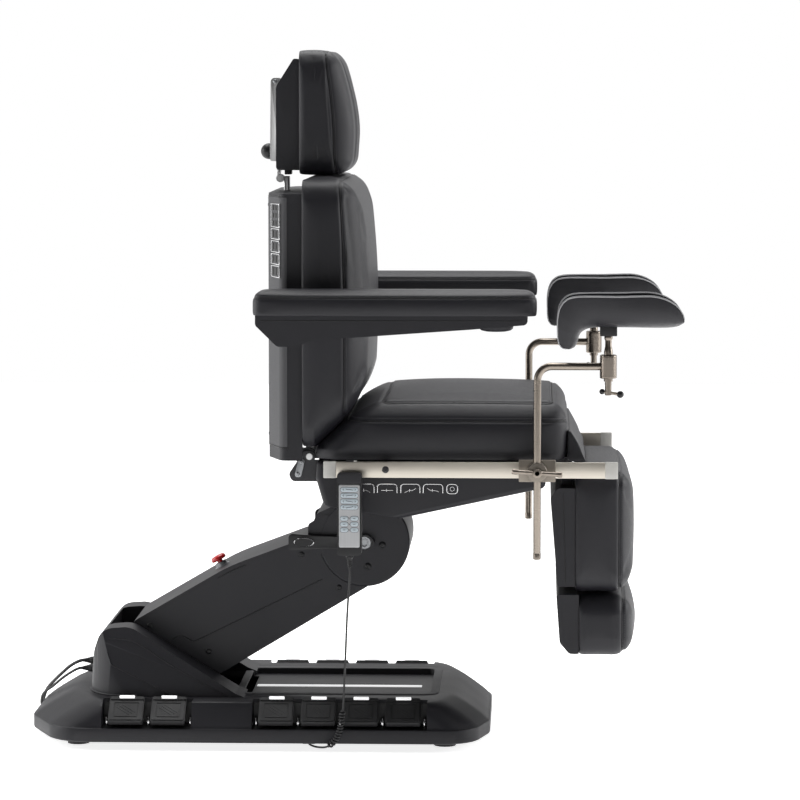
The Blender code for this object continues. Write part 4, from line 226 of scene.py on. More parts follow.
def brushed_paint(name, colour, roughness, stretch):
    paint = Paint(name, colour, roughness, 1.0)
    lines = paint.noise(1.0, 4.0, 0.6, stretch)
    smears = paint.noise(14.0, 3.0)
    paint.tint(lines * 0.7 + smears * 0.3, 0.80, 1.16)
    paint.rough(lines * 0.6 + smears * 0.4, roughness - 0.08, roughness + 0.12)
    paint.bump(lines, 0.00003, 0.5)
    return paint.material


def plain_paint(name, colour, roughness, metallic=0.0, speck=260.0, depth=0.00004, **constants):
    paint = Paint(name, colour, roughness, metallic, **constants)
    specks = paint.noise(speck, 3.0)
    paint.tint(specks, 0.92, 1.08)
    paint.rough(paint.noise(22.0, 3.0), roughness * 0.82, roughness * 1.2)
    paint.bump(specks, depth, 0.5)
    return paint.material


VINYL = vinyl_paint("vinyl", (0.0108, 0.0105, 0.0138), 0.46)
PIPING = plain_paint("piping", (0.30, 0.30, 0.31), 0.45)
THREAD = plain_paint("thread", (0.075, 0.075, 0.08), 0.7, speck=900.0)
PLASTIC = moulded_paint("moulded_plastic", (0.0108, 0.0105, 0.0136), 0.50)
PALE_PLASTIC = moulded_paint("textured_panel", (0.060, 0.060, 0.064), 0.60, 1100.0, 0.0003)
BLACK = moulded_paint("black_plastic", (0.0075, 0.0075, 0.0085), 0.38)
FRAME_PAINT = moulded_paint("frame_paint", (0.030, 0.030, 0.033), 0.42, 700.0, 0.00008)
RAIL_STEEL = brushed_paint("rail_steel", (0.56, 0.52, 0.455), 0.34, (5.0, 900.0, 900.0))
NICKEL = brushed_paint("satin_nickel", (0.27, 0.235, 0.20), 0.27, (60.0, 60.0, 420.0))
CLAMP_STEEL = brushed_paint("clamp_steel", (0.23, 0.205, 0.175), 0.36, (90.0, 90.0, 260.0))
CHROME = plain_paint("chrome", (0.70, 0.70, 0.71), 0.15, 1.0)
PLATE_STEEL = brushed_paint("plate_steel", (0.66, 0.66, 0.66), 0.32, (700.0, 700.0, 6.0))
CAP_GREY = moulded_paint("cap_grey", (0.56, 0.55, 0.52), 0.42)
RUBBER = plain_paint("pedal_rubber", (0.0105, 0.0105, 0.0115), 0.62, speck=700.0, depth=0.0002)
# White with a painted glow: its emission makes the base inlay strip and the pedal marks shine, though neither
# is a lamp
PAINTED_GLOW_WHITE = plain_paint("lamp_bar", (0.86, 0.86, 0.86), 0.4, Emission_Color=(1, 1, 1, 1), Emission_Strength=0.6)
RED = plain_paint("stop_red", (0.56, 0.012, 0.014), 0.28, Coat_Weight=0.3)
CORD = plain_paint("cord_pvc", (0.0115, 0.0115, 0.0125), 0.48)
SILVER = brushed_paint("handset_panel", (0.38, 0.384, 0.392), 0.42, (500.0, 500.0, 8.0))
KEYS = plain_paint("handset_keys", (0.42, 0.48, 0.52), 0.42)
GLYPH = plain_paint("key_marks", (0.05, 0.055, 0.06), 0.5)
LINK_GREY = plain_paint("link_grey", (0.30, 0.31, 0.32), 0.38, 0.7)


# Building blocks


def shape_mesh(shape):
    bmesh.ops.recalc_face_normals(shape, faces=shape.faces)
    mesh = bpy.data.meshes.new("shape")
    shape.to_mesh(mesh)
    shape.free()
    return mesh


def baked(holder):
    """The holder's mesh with its modifiers applied. The holder is removed."""
    mesh = bpy.data.meshes.new_from_object(holder.evaluated_get(bpy.context.evaluated_depsgraph_get()))
    bpy.data.objects.remove(holder)
    return mesh


def holder_of(data):
    holder = bpy.data.objects.new("holder", data)
    scene.collection.objects.link(holder)
    return holder


AXES = {
    "X": Matrix(((0, 0, 1, 0), (1, 0, 0, 0), (0, 1, 0, 0), (0, 0, 0, 1))),
    "Y": Matrix(((1, 0, 0, 0), (0, 0, -1, 0), (0, 1, 0, 0), (0, 0, 0, 1))),
    "Z": Matrix.Identity(4),
}


def curve_mesh(curve, place=None):
    mesh = baked(holder_of(curve))
    shape = bmesh.new()
    shape.from_mesh(mesh)
    bmesh.ops.remove_doubles(shape, verts=shape.verts, dist=0.000005)
    if place:
        bmesh.ops.transform(shape, matrix=place, verts=shape.verts)
    return shape_mesh(shape)


def plate(loops, axis, low, high):
    """A flat outline, with any holes, given thickness from low to high along an axis."""
    curve = bpy.data.curves.new("outline", "CURVE")
    curve.dimensions = "2D"
    curve.fill_mode = "BOTH"
    curve.extrude = (high - low) / 2
    for loop in loops:
        spline = curve.splines.new("POLY")
        spline.points.add(len(loop) - 1)
        for point, (across, up) in zip(spline.points, loop):
            point.co = (across, up, 0, 1)
        spline.use_cyclic_u = True
    middle = (low + high) / 2
    shift = {"X": (middle, 0, 0), "Y": (0, middle, 0), "Z": (0, 0, middle)}[axis]
    return curve_mesh(curve, Matrix.Translation(shift) @ AXES[axis])


def block(low, high):
    low = Vector(low)
    high = Vector(high)
    shape = bmesh.new()
    place = Matrix.Translation((low + high) / 2) @ Matrix.Diagonal((*(high - low), 1))
    bmesh.ops.create_cube(shape, size=1, matrix=place)
    return shape_mesh(shape)


def bar(start, end, radius, sides=40):
    start = Vector(start)
    run = Vector(end) - start
    turn = run.to_track_quat("Z", "Y").to_matrix().to_4x4()
    shape = bmesh.new()
    bmesh.ops.create_cone(
        shape,
        cap_ends=True,
        segments=sides,
        radius1=radius,
        radius2=radius,
        depth=run.length,
        matrix=Matrix.Translation(start + run / 2) @ turn,
    )
    return shape_mesh(shape)


def crossbar(x, z, start, end, radius, sides=40):
    """A bar across the chair, from start to end along Y."""
    return bar((x, start, z), (x, end, z), radius, sides)


def ball(centre, radius):
    sides = 32
    shape = bmesh.new()
    place = Matrix.Translation(centre)
    bmesh.ops.create_uvsphere(shape, u_segments=sides, v_segments=sides // 2, radius=radius, matrix=place)
    return shape_mesh(shape)


def turned(profile, foot, direction, steps=48):
    """A profile of (radius, height) turned about a line from foot along direction."""
    turn = Vector(direction).to_track_quat("Z", "Y").to_matrix().to_4x4()
    place = Matrix.Translation(foot) @ turn
    shape = bmesh.new()
    rows = []
    for radius, height in profile:
        if radius < 1e-6:
            rows.append([shape.verts.new(place @ Vector((0, 0, height)))])
            continue
        angles = [2 * pi * step / steps for step in range(steps)]
        rows.append(
            [shape.verts.new(place @ Vector((radius * cos(a), radius * sin(a), height))) for a in angles]
        )
    for first, second in zip(rows, rows[1:]):
        for step in range(steps):
            following = (step + 1) % steps
            if len(first) == 1:
                shape.faces.new((first[0], second[step], second[following]))
            elif len(second) == 1:
                shape.faces.new((first[step], second[0], first[following]))
            else:
                shape.faces.new((first[step], second[step], second[following], first[following]))
    return shape_mesh(shape)


def tube(points, radius, resolution):
    curve = bpy.data.curves.new("tube", "CURVE")
    curve.dimensions = "3D"
    curve.bevel_depth = radius
    curve.bevel_resolution = resolution
    curve.use_fill_caps = True
    spline = curve.splines.new("POLY")
    spline.points.add(len(points) - 1)
    for point, place in zip(spline.points, points):
        point.co = (*place, 1)
    return curve_mesh(curve)


def rounded(corners, steps=10):
    """An outline from (across, up, radius) corners, each rounded by an arc."""
    outline = []
    count = len(corners)
    for index, (across, up, radius) in enumerate(corners):
        corner = Vector((across, up))
        if radius <= 0:
            outline.append((across, up))
            continue
        before = (Vector(corners[index - 1][:2]) - corner).normalized()
        after = (Vector(corners[(index + 1) % count][:2]) - corner).normalized()
        half = acos(max(-1, min(1, before.dot(after)))) / 2
        centre = corner + (before + after).normalized() * (radius / sin(half))
        first = corner + before * (radius / tan(half)) - centre
        last = corner + after * (radius / tan(half)) - centre
        start = atan2(first.y, first.x)
        sweep = (atan2(last.y, last.x) - start + pi) % (2 * pi) - pi
        for step in range(steps + 1):
            angle = start + sweep * step / steps
            outline.append((centre.x + radius * cos(angle), centre.y + radius * sin(angle)))
    return outline


def rounded_box(low_a, high_a, low_b, high_b, radius, steps=8):
    corners = [(low_a, low_b), (high_a, low_b), (high_a, high_b), (low_a, high_b)]
    return rounded([(a, b, radius) for a, b in corners], steps)


def ring(centre, radius):
    sides = 48
    angles = [2 * pi * step / sides for step in range(sides)]
    return [(centre[0] + radius * cos(angle), centre[1] + radius * sin(angle)) for angle in angles]


def skin(rows, closed_ends=True):
    """A skin over rows of places, each row a closed ring with as many places."""
    shape = bmesh.new()
    made = [[shape.verts.new(place) for place in row] for row in rows]
    count = len(made[0])
    for first, second in zip(made, made[1:]):
        for index in range(count):
            following = (index + 1) % count
            shape.faces.new((first[index], first[following], second[following], second[index]))
    if closed_ends:
        shape.faces.new(list(reversed(made[0])))
        shape.faces.new(made[-1])
    return shape_mesh(shape)


def open_skin(rows):
    """A skin over rows of places, each row an open run with as many places."""
    shape = bmesh.new()
    made = [[shape.verts.new(place) for place in row] for row in rows]
    for first, second in zip(made, made[1:]):
        for index in range(len(first) - 1):
            shape.faces.new((first[index], first[index + 1], second[index + 1], second[index]))
    return shape_mesh(shape)


def sided(side, inner, outer):
    return sorted((side * inner, side * outer))


def joined(*meshes):
    shape = bmesh.new()
    for mesh in meshes:
        shape.from_mesh(mesh)
    mesh = bpy.data.meshes.new("joined")
    shape.to_mesh(mesh)
    shape.free()
    return mesh


# Angles in degrees, above which an edge is shaded sharp
HARD_EDGE = 32
MOULDED_EDGE = 34
SMOOTH_EDGE = 60
COVER_EDGE = 70


class Solid:
    """A mesh that is cut, joined and softened by modifiers and then baked."""

    def __init__(self, mesh):
        self.holder = holder_of(mesh)
        self.tools = []

    def tool(self, operation, meshes):
        for mesh in meshes:
            tool = holder_of(mesh)
            self.tools.append(tool)
            boolean = self.holder.modifiers.new(operation.lower(), "BOOLEAN")
            boolean.operation = operation
            boolean.solver = "EXACT"
            boolean.object = tool
        return self

    def cut(self, *meshes):
        return self.tool("DIFFERENCE", meshes)

    def fuse(self, *meshes):
        return self.tool("UNION", meshes)

    def keep(self, *meshes):
        return self.tool("INTERSECT", meshes)

    def soften(self, width, segments, angle=30):
        bevel = self.holder.modifiers.new("edges", "BEVEL")
        bevel.width = width
        bevel.segments = segments
        bevel.limit_method = "ANGLE"
        bevel.angle_limit = radians(angle)
        bevel.miter_outer = "MITER_ARC"
        return self

    def mesh(self):
        made = baked(self.holder)
        for tool in self.tools:
            bpy.data.objects.remove(tool)
        return made


def soft_plate(outline, axis, low, high, *edges):
    """A plate of one outline, with its edges softened."""
    return Solid(plate([outline], axis, low, high)).soften(*edges)


def soft_block(low, high, *edges):
    return Solid(block(low, high)).soften(*edges)


def thickened(mesh, thickness):
    """A sheet of faces, made a solid with half the thickness on either side."""
    holder = holder_of(mesh)
    solidify = holder.modifiers.new("thick", "SOLIDIFY")
    solidify.thickness = thickness
    solidify.offset = 0
    return baked(holder)


def evenly_shaded(mesh):
    """The mesh with its normals weighted by area, so that large flat faces look flat."""
    holder = holder_of(mesh)
    weighted = holder.modifiers.new("weighted", "WEIGHTED_NORMAL")
    weighted.keep_sharp = True
    return baked(holder)


def piece(name, mesh, material, body, stands_for=(), sharp=HARD_EDGE):
    """A finished piece that rides on one body."""
    mesh.shade_smooth()
    mesh.set_sharp_from_angle(angle=radians(sharp))
    if sharp == MOULDED_EDGE:
        mesh = evenly_shaded(mesh)
    mesh.name = name
    mesh.materials.clear()
    mesh.materials.append(material)
    made = bpy.data.objects.new(name, mesh)
    scene.collection.objects.link(made)
    if stands_for:
        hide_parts(*stands_for)
    if body:
        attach(made, body)
    return made


# Geometry node recipes


class Recipe(Nodes):
    """A geometry node tree with named inputs that turns one mesh into another."""

    def __init__(self, name, **inputs):
        super().__init__(bpy.data.node_groups.new(name, "GeometryNodeTree"))
        sockets = self.tree.interface
        sockets.new_socket("Geometry", in_out="INPUT", socket_type="NodeSocketGeometry")
        self.identifiers = {}
        for key, kind in inputs.items():
            made = sockets.new_socket(key, in_out="INPUT", socket_type=f"NodeSocket{kind}")
            self.identifiers[key] = made.identifier
        sockets.new_socket("Geometry", in_out="OUTPUT", socket_type="NodeSocketGeometry")
        self.start = self.tree.nodes.new("NodeGroupInput")
        self.result = self.tree.nodes.new("NodeGroupOutput")

    def given(self, key):
        return Value(self, self.start.outputs[key])

    def end(self, instances):
        real = self.node("GeometryNodeRealizeInstances", Geometry=instances)
        smooth = self.node("GeometryNodeSetShadeSmooth", Geometry=real)
        painted = self.node("GeometryNodeSetMaterial", Geometry=smooth, Material=self.given("Material"))
        self.feed(self.result.inputs["Geometry"], painted)

    def run(self, mesh, **values):
        holder = holder_of(mesh)
        modifier = holder.modifiers.new("recipe", "NODES")
        modifier.node_group = self.tree
        for key, value in values.items():
            modifier[self.identifiers[key]] = value
        return baked(holder)


def repeat_recipe():
    recipe = Recipe("repeat_at_points", Piece="Object", Turn="Vector", Size="Float", Material="Material")
    info = recipe.node("GeometryNodeObjectInfo", output="Geometry", Object=recipe.given("Piece"))
    turn = recipe.node("FunctionNodeEulerToRotation", Euler=recipe.given("Turn"))
    placed = recipe.node(
        "GeometryNodeInstanceOnPoints",
        Points=recipe.given("Geometry"),
        Instance=info,
        Rotation=turn,
        Scale=recipe.given("Size"),
    )
    recipe.end(placed)
    return recipe


def stitch_recipe():
    recipe = Recipe("stitch_along", Spacing="Float", Length="Float", Thickness="Float", Material="Material")
    line = recipe.node("GeometryNodeMeshToCurve", Mesh=recipe.given("Geometry"))
    spaced = recipe.node(
        "GeometryNodeResampleCurve", {"mode": "LENGTH"}, Curve=line, Length=recipe.given("Spacing")
    )
    tangent = recipe.node("GeometryNodeInputTangent")
    turn = recipe.node("FunctionNodeAlignRotationToVector", {"axis": "X"}, Vector=tangent)
    grain = recipe.node("GeometryNodeMeshUVSphere", Segments=8, Rings=6, Radius=0.5)
    size = recipe.node(
        "ShaderNodeCombineXYZ",
        X=recipe.given("Length"),
        Y=recipe.given("Thickness"),
        Z=recipe.given("Thickness"),
    )
    placed = recipe.node(
        "GeometryNodeInstanceOnPoints", Points=spaced, Instance=grain, Rotation=turn, Scale=size
    )
    recipe.end(placed)
    return recipe


def piping_recipe():
    recipe = Recipe("piping_along", Radius="Float", Material="Material")
    line = recipe.node("GeometryNodeMeshToCurve", Mesh=recipe.given("Geometry"))
    profile = recipe.node("GeometryNodeCurvePrimitiveCircle", Resolution=12, Radius=recipe.given("Radius"))
    swept = recipe.node("GeometryNodeCurveToMesh", Curve=line, Profile_Curve=profile, Fill_Caps=True)
    recipe.end(swept)
    return recipe


REPEAT = repeat_recipe()
STITCH = stitch_recipe()
PIPE = piping_recipe()


def wire(lines, closed=False):
    """A mesh of edges only, one run of edges for each line."""
    places = []
    edges = []
    for line in lines:
        first = len(places)
        places += [tuple(point) for point in line]
        edges += [(first + step, first + step + 1) for step in range(len(line) - 1)]
        if closed:
            edges.append((len(places) - 1, first))
    mesh = bpy.data.meshes.new("wire")
    mesh.from_pydata(places, edges, [])
    return mesh


def dots(places):
    mesh = bpy.data.meshes.new("dots")
    mesh.from_pydata([tuple(place) for place in places], [], [])
    return mesh


def copies(places, pattern, material, turn=(0, 0, 0), size=1.0):
    """One mesh of the pattern set down at each place."""
    holder = holder_of(pattern)
    mesh = REPEAT.run(dots(places), Piece=holder, Turn=turn, Size=size, Material=material)
    bpy.data.objects.remove(holder)
    return mesh


def repeated(name, places, pattern, material, body):
    return piece(name, copies(places, pattern, material), material, body)


def piped(name, lines, radius, material, body, closed=False):
    mesh = PIPE.run(wire(lines, closed), Radius=radius, Material=material)
    return piece(name, mesh, material, body, sharp=SMOOTH_EDGE)


def stitched(name, line, body, spacing=0.0052, length=0.0036, thickness=0.0009):
    sizes = {"Spacing": spacing, "Length": length, "Thickness": thickness}
    return piece(name, STITCH.run(line, **sizes, Material=THREAD), THREAD, body)


def screw_pattern():
    """A button head screw with a hexagon socket, facing +Z, of unit radius."""
    dome = [(0, 0.50), (0.30, 0.49), (0.58, 0.42), (0.80, 0.28), (0.95, 0.08), (1.0, -0.12), (0, -0.12)]
    head = Solid(turned(dome, (0, 0, 0), (0, 0, 1), 32))
    head.cut(bar((0, 0, 0.16), (0, 0, 0.9), 0.42, 6))
    return head.mesh()


FACING = {"near": (pi / 2, 0, 0), "far": (-pi / 2, 0, 0), "rear": (0, -pi / 2, 0)}


def screws(name, places, radius, material, body, facing):
    mesh = copies(places, screw_pattern(), material, FACING[facing], radius)
    return piece(name, mesh, material, body)


# Cords


def smooth_route(points, spacing):
    """Points every spacing along a smooth curve through the route's own points."""
    route = [Vector(point) for point in points]
    dense = []
    for index in range(len(route) - 1):
        before = route[max(index - 1, 0)]
        start = route[index]
        end = route[index + 1]
        after = route[min(index + 2, len(route) - 1)]
        for step in range(20):
            t = step / 20
            square = 2 * before - 5 * start + 4 * end - after
            cube = 3 * start - before - 3 * end + after
            dense.append(0.5 * (2 * start + (end - before) * t + square * t * t + cube * t * t * t))
    dense.append(route[-1])
    lengths = [0.0]
    for index in range(1, len(dense)):
        lengths.append(lengths[-1] + (dense[index] - dense[index - 1]).length)
    count = max(2, round(lengths[-1] / spacing))
    spaced = []
    cursor = 0
    for step in range(count + 1):
        target = lengths[-1] * step / count
        while cursor < len(dense) - 2 and lengths[cursor + 1] < target:
            cursor += 1
        span = lengths[cursor + 1] - lengths[cursor]
        share = (target - lengths[cursor]) / span if span else 0
        spaced.append(dense[cursor].lerp(dense[cursor + 1], share))
    return spaced


HANDSET_EXIT = (0.00236, -0.348, 0.4019)
GLAND = (-0.0929, -0.2285, 0.0105)
CORD_SHARES = (
    (0.0, 0.0, 1.0), (0.0, 0.0, 0.95), (0.058, 0.025, 0.746), (0.105, 0.067, 0.498),
    (0.147, 0.109, 0.299), (0.168, 0.134, 0.231), (0.20, 0.142, 0.174), (0.253, 0.151, 0.114),
    (0.368, 0.167, 0.0634), (0.537, 0.218, 0.0323), (0.716, 0.301, 0.0250), (0.863, 0.427, 0.0250),
    (0.958, 0.611, 0.0250), (0.989, 0.820, 0.0258),
)
CORD_ROUTE = [
    (
        HANDSET_EXIT[0] + (GLAND[0] - HANDSET_EXIT[0]) * across,
        HANDSET_EXIT[1] + (GLAND[1] - HANDSET_EXIT[1]) * inward,
        HANDSET_EXIT[2] * rise,
    )
    for across, inward, rise in CORD_SHARES
] + [GLAND]
CORD_DIAMETER = 0.0044
CURL_OUTSIDE = 0.0145
CURL_PITCH = 0.0064
CURL_STEPS = 18


def handset_cord_points():
    """The straight stretch down to the curls, and the curls on to the gland."""
    fine = smooth_route(CORD_ROUTE, CURL_PITCH / CURL_STEPS)
    first = next(index for index, point in enumerate(fine) if point.z < 0.095)
    last = len(fine) - round(0.114 / (CURL_PITCH / CURL_STEPS))
    radius = (CURL_OUTSIDE - CORD_DIAMETER) / 2
    straight = fine[: first + 1 : 8]
    curls = [straight[-1]]
    normal = Vector((1, 0, 0))
    for index in range(first + 1, last):
        tangent = (fine[index + 1] - fine[index - 1]).normalized()
        normal = (normal - tangent * normal.dot(tangent)).normalized()
        other = tangent.cross(normal)
        angle = 2 * pi * (index - first) / CURL_STEPS
        grow = min(1, (index - first) / CURL_STEPS, (last - index) / CURL_STEPS)
        grow = grow * grow * (3 - 2 * grow)
        curls.append(fine[index] + (normal * cos(angle) + other * sin(angle)) * radius * grow)
    curls += fine[last + 2 :: 8]
    if (curls[-1] - fine[-1]).length > 0.0001:
        curls.append(fine[-1])
    return straight, curls


def cord_piece(name, points, diameter, body):
    return piece(name, tube(points, diameter / 2, 3), CORD, body, sharp=SMOOTH_EDGE)


straight, curls = handset_cord_points()
low_third = next(index for index, point in enumerate(straight) if point.z < 0.19)
high_third = next(index for index, point in enumerate(straight) if point.z < 0.30)
stretches = (
    ("handset_cord_top", straight[: high_third + 1], "seat", "knuckle"),
    ("handset_cord_middle", straight[high_third : low_third + 1], "knuckle", "arm"),
    ("handset_cord_low", straight[low_third:], "arm", "base"),
)
for name, points, first_body, second_body in stretches:
    made = cord_piece(name, points, CORD_DIAMETER, None)
    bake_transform(made)
    if name == "handset_cord_top":
        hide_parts("handset_cord")
curly = cord_piece("handset_cord_curls", curls, CORD_DIAMETER, "base")

LEAD_DIAMETER = 0.0075
JUMPER_DIAMETER = 0.0060
LEAD_EXIT = (-0.5852, 0.013, 0.143)
JUMPER_EXIT = (-0.5852, -0.013, 0.130)
LEAD_SHARES = (
    (0.066, 0.023, 0.911), (0.041, 0.045, 0.754), (0.018, 0.075, 0.590), (0.000, 0.100, 0.440),
    (-0.0110, 0.122, 0.262), (-0.0165, 0.148, 0.110), (-0.0195, 0.180, 0.036),
    (-0.0150, 0.222, 0.029), (0.002, 0.268, 0.029), (0.035, 0.310, 0.029), (0.085, 0.333, 0.029),
    (0.145, 0.337, 0.029), (0.200, 0.328, 0.029), (0.245, 0.320, 0.029),
)
JUMPER_SHARES = (
    (0.071, -0.006, 0.925), (0.047, 0.012, 0.790), (0.021, 0.040, 0.610), (-0.003, 0.064, 0.455),
    (-0.0105, 0.082, 0.270), (-0.0060, 0.102, 0.120), (0.013, 0.128, 0.062), (0.047, 0.152, 0.046),
    (0.091, 0.156, 0.046), (0.126, 0.150, 0.054), (0.149, 0.135, 0.070), (0.158, 0.115, 0.081),
    (0.159, 0.100, 0.081),
)
COIL_TURNS = 6
COIL_STEPS = 48
PLUG_TAIL = ((0.020, 0.0015, 0.2), (0.044, 0.009, 0.7), (0.064, 0.018, 1.0), (0.078, 0.0243, 1.0))


def lead_route(exit_place, shares):
    start = [exit_place, (exit_place[0] - 0.030, exit_place[1], exit_place[2])]
    return start + [(BASE_REAR + along, across, exit_place[2] * rise) for along, across, rise in shares]


def coil_points():
    """Two layers of turns that spiral in and out again, climbing where the spiral reverses."""
    pitch = LEAD_DIAMETER + 0.0018
    inner = 0.043 - pitch
    outer = inner + pitch * 2.5
    floor = LEAD_DIAMETER / 2 + 0.0002
    points = []
    for step in range(COIL_TURNS * COIL_STEPS + 1):
        turn = step / COIL_STEPS
        inward = min(turn, 2.75)
        outward = max(0, turn - 3.25)
        radius = outer - pitch * inward + pitch * outward
        climb = max(0, min(1, (turn - 2.75) / 0.5))
        climb = climb * climb * (3 - 2 * climb)
        angle = -pi / 2 + 2 * pi * turn
        along = BASE_REAR + 0.286 + radius * cos(angle)
        across = BASE_HALF + 0.0645 + radius * sin(angle)
        points.append(Vector((along, across, floor + climb * (LEAD_DIAMETER + 0.0006))))
    return points


coil = coil_points()
run_in = (coil[0] - coil[1]).normalized()
lead_points = smooth_route(
    lead_route(LEAD_EXIT, LEAD_SHARES) + [tuple(coil[0] + run_in * 0.0126), tuple(coil[0])], 0.008
)
rise = 0.0175 - coil[-1].z
tail = [coil[-1]] + [coil[-1] + Vector((along, across, share * rise)) for along, across, share in PLUG_TAIL]
lead_points = lead_points[:-1] + coil + smooth_route(tail, 0.008)[1:]
mains = cord_piece("mains_lead_cord", lead_points, LEAD_DIAMETER, "base")
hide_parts("mains_lead", "mains_coil")
away = (lead_points[-1] - lead_points[-2]).normalized()
plug_profile = [
    (0, 0.040), (0.0140, 0.040), (0.0160, 0.0388), (0.0170, 0.0362), (0.0170, 0.0250),
    (0.0160, 0.0228), (0.0090, 0.0150), (0.0066, 0.0060), (0.0060, 0.0), (0, 0.0),
]
across = away.cross(Vector((0, 0, 1))).normalized()
prongs = []
for side in (NEAR, FAR):
    foot = lead_points[-1] + away * 0.037 + across * side * 0.0095
    prongs.append(bar(foot, foot + away * 0.022, 0.0024, 20))
plug_mesh = turned(plug_profile, lead_points[-1], away)
plug = piece("mains_plug_body", plug_mesh, RUBBER, "base", ["mains_plug"])
pins = piece("mains_plug_pins", joined(*prongs), CHROME, "base")
jumper_points = smooth_route(lead_route(JUMPER_EXIT, JUMPER_SHARES), 0.008)
jumper = cord_piece("rear_jumper_cord", jumper_points, JUMPER_DIAMETER, "base")
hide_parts("rear_jumper")


def strain_relief(name, exit_place, diameter):
    """The moulded connector of a rear lead, ribbed towards its cord."""
    profile = [(0, -0.002), (0.0086, -0.002), (0.0086, 0.010), (0.0074, 0.012)]
    for rib in range(4):
        base = 0.0125 + rib * 0.0034
        width = 0.0072 - rib * 0.0008
        root = width - 0.0012
        profile += [(width, base), (width, base + 0.0018), (root, base + 0.0022), (root, base + 0.0032)]
    profile += [(diameter * 0.56, 0.0275), (0, 0.0275)]
    return piece(name, turned(profile, exit_place, (-1, 0, 0)), RUBBER, "base")


strain_relief("mains_connector", LEAD_EXIT, LEAD_DIAMETER)
strain_relief("jumper_connector", JUMPER_EXIT, JUMPER_DIAMETER)


# Cushions

ROUNDING_STARTS = 0.72
SEAM_REACH = 6
SEAM_LIFT = 0.0002
STITCH_ANGLE = 7
SIDES_DRAWN_IN = (0, 0.003, 0)


class Cushion:
    """A stuffed cushion: a rounded box with crowned faces, seams round its front and a flat seat."""

    def __init__(self, low, high, corner, crown, drawn_in, seated, form, fold):
        self.low = np.array(low, float)
        self.high = np.array(high, float)
        self.level = self.low[seated]
        self.low[seated] -= corner * 0.7
        self.corner = corner
        self.crown = crown
        self.drawn_in = drawn_in
        self.seated = seated
        self.form = form
        self.fold = fold

    def places(self, share):
        """The places of points given as shares of the box, each from -1 to 1."""
        share = np.asarray(share, float)
        middle = (self.low + self.high) / 2
        half = (self.high - self.low) / 2
        amount = np.abs(share)
        sign = np.where(share >= 0, 1.0, -1.0)
        inner = sign * (half - self.corner) * np.minimum(1, amount / ROUNDING_STARTS)
        over = sign * np.maximum(0, amount - ROUNDING_STARTS)
        spread = np.abs(over)
        flat = spread.sum(axis=1) - spread[:, self.seated]
        power = 2 + (self.fold - 2) * (spread[:, 1] / np.maximum(flat, 1e-9))[:, None]
        reach = (spread**power).sum(axis=1, keepdims=True) ** (1 / power)
        place = inner + over / np.maximum(reach, 1e-9) * self.corner * (reach > 0)
        swell = np.zeros_like(place)
        for axis in range(3):
            first, second = [other for other in range(3) if other != axis]
            across = np.maximum(0, 1 - (place[:, first] / half[first]) ** 2)
            along = np.maximum(0, 1 - (place[:, second] / half[second]) ** 2)
            side = place[:, axis] / half[axis]
            out = self.crown[axis] * across * along - self.drawn_in[axis] * across * (1 - along)
            swell[:, axis] = side * out
        place = place + swell + middle
        if self.form:
            place = self.form(place, self.low, self.high)
        place[:, self.seated] = np.maximum(place[:, self.seated], self.level)
        return place

    def ring(self, angle, count=900):
        """A loop round the cushion, on its rounding at one angle from the side to the front."""
        first, second = [axis for axis in range(3) if axis != self.seated]
        around = np.linspace(0, 4, count, endpoint=False)
        side = np.floor(around).astype(int)
        along = (around - side) * 2 - 1
        a = np.choose(side, [along, np.ones_like(along), -along, -np.ones_like(along)])
        b = np.choose(side, [-np.ones_like(along), along, np.ones_like(along), -along])
        span = 1 - ROUNDING_STARTS
        out = np.hypot(np.maximum(0, np.abs(a) - ROUNDING_STARTS), np.maximum(0, np.abs(b) - ROUNDING_STARTS))
        rise = np.tan(angle) * out
        squeeze = np.minimum(1, span / np.maximum(rise, 1e-9))
        share = np.zeros((count, 3))
        for axis, value in ((first, a), (second, b)):
            over = np.maximum(0, np.abs(value) - ROUNDING_STARTS) * squeeze
            share[:, axis] = np.sign(value) * (np.minimum(np.abs(value), ROUNDING_STARTS) + over)
        share[:, self.seated] = ROUNDING_STARTS + np.minimum(rise, span)
        return self.places(share)

    def strip(self, axis, value, start, end, count=260):
        """A line over the front face at one share across, from start to end along."""
        other = [each for each in range(3) if each not in (axis, self.seated)][0]
        share = np.zeros((count, 3))
        share[:, self.seated] = 1
        share[:, axis] = value
        share[:, other] = np.linspace(start, end, count)
        return self.places(share)

    def base_mesh(self, cuts):
        shape = bmesh.new()
        bmesh.ops.create_cube(shape, size=2)
        bmesh.ops.subdivide_edges(shape, edges=shape.edges[:], cuts=cuts, use_grid_fill=True)
        places = self.places([tuple(vert.co) for vert in shape.verts])
        for vert, place in zip(shape.verts, places):
            vert.co = place
        return shape_mesh(shape)


def wide_cushion(half, low_x, low_z, high_x, high_z, corner, crown, seated, form, fold):
    """A cushion across the chair, drawn in along its sides."""
    low = (low_x, -half, low_z)
    high = (high_x, half, high_z)
    return Cushion(low, high, corner, crown, SIDES_DRAWN_IN, seated, form, fold)


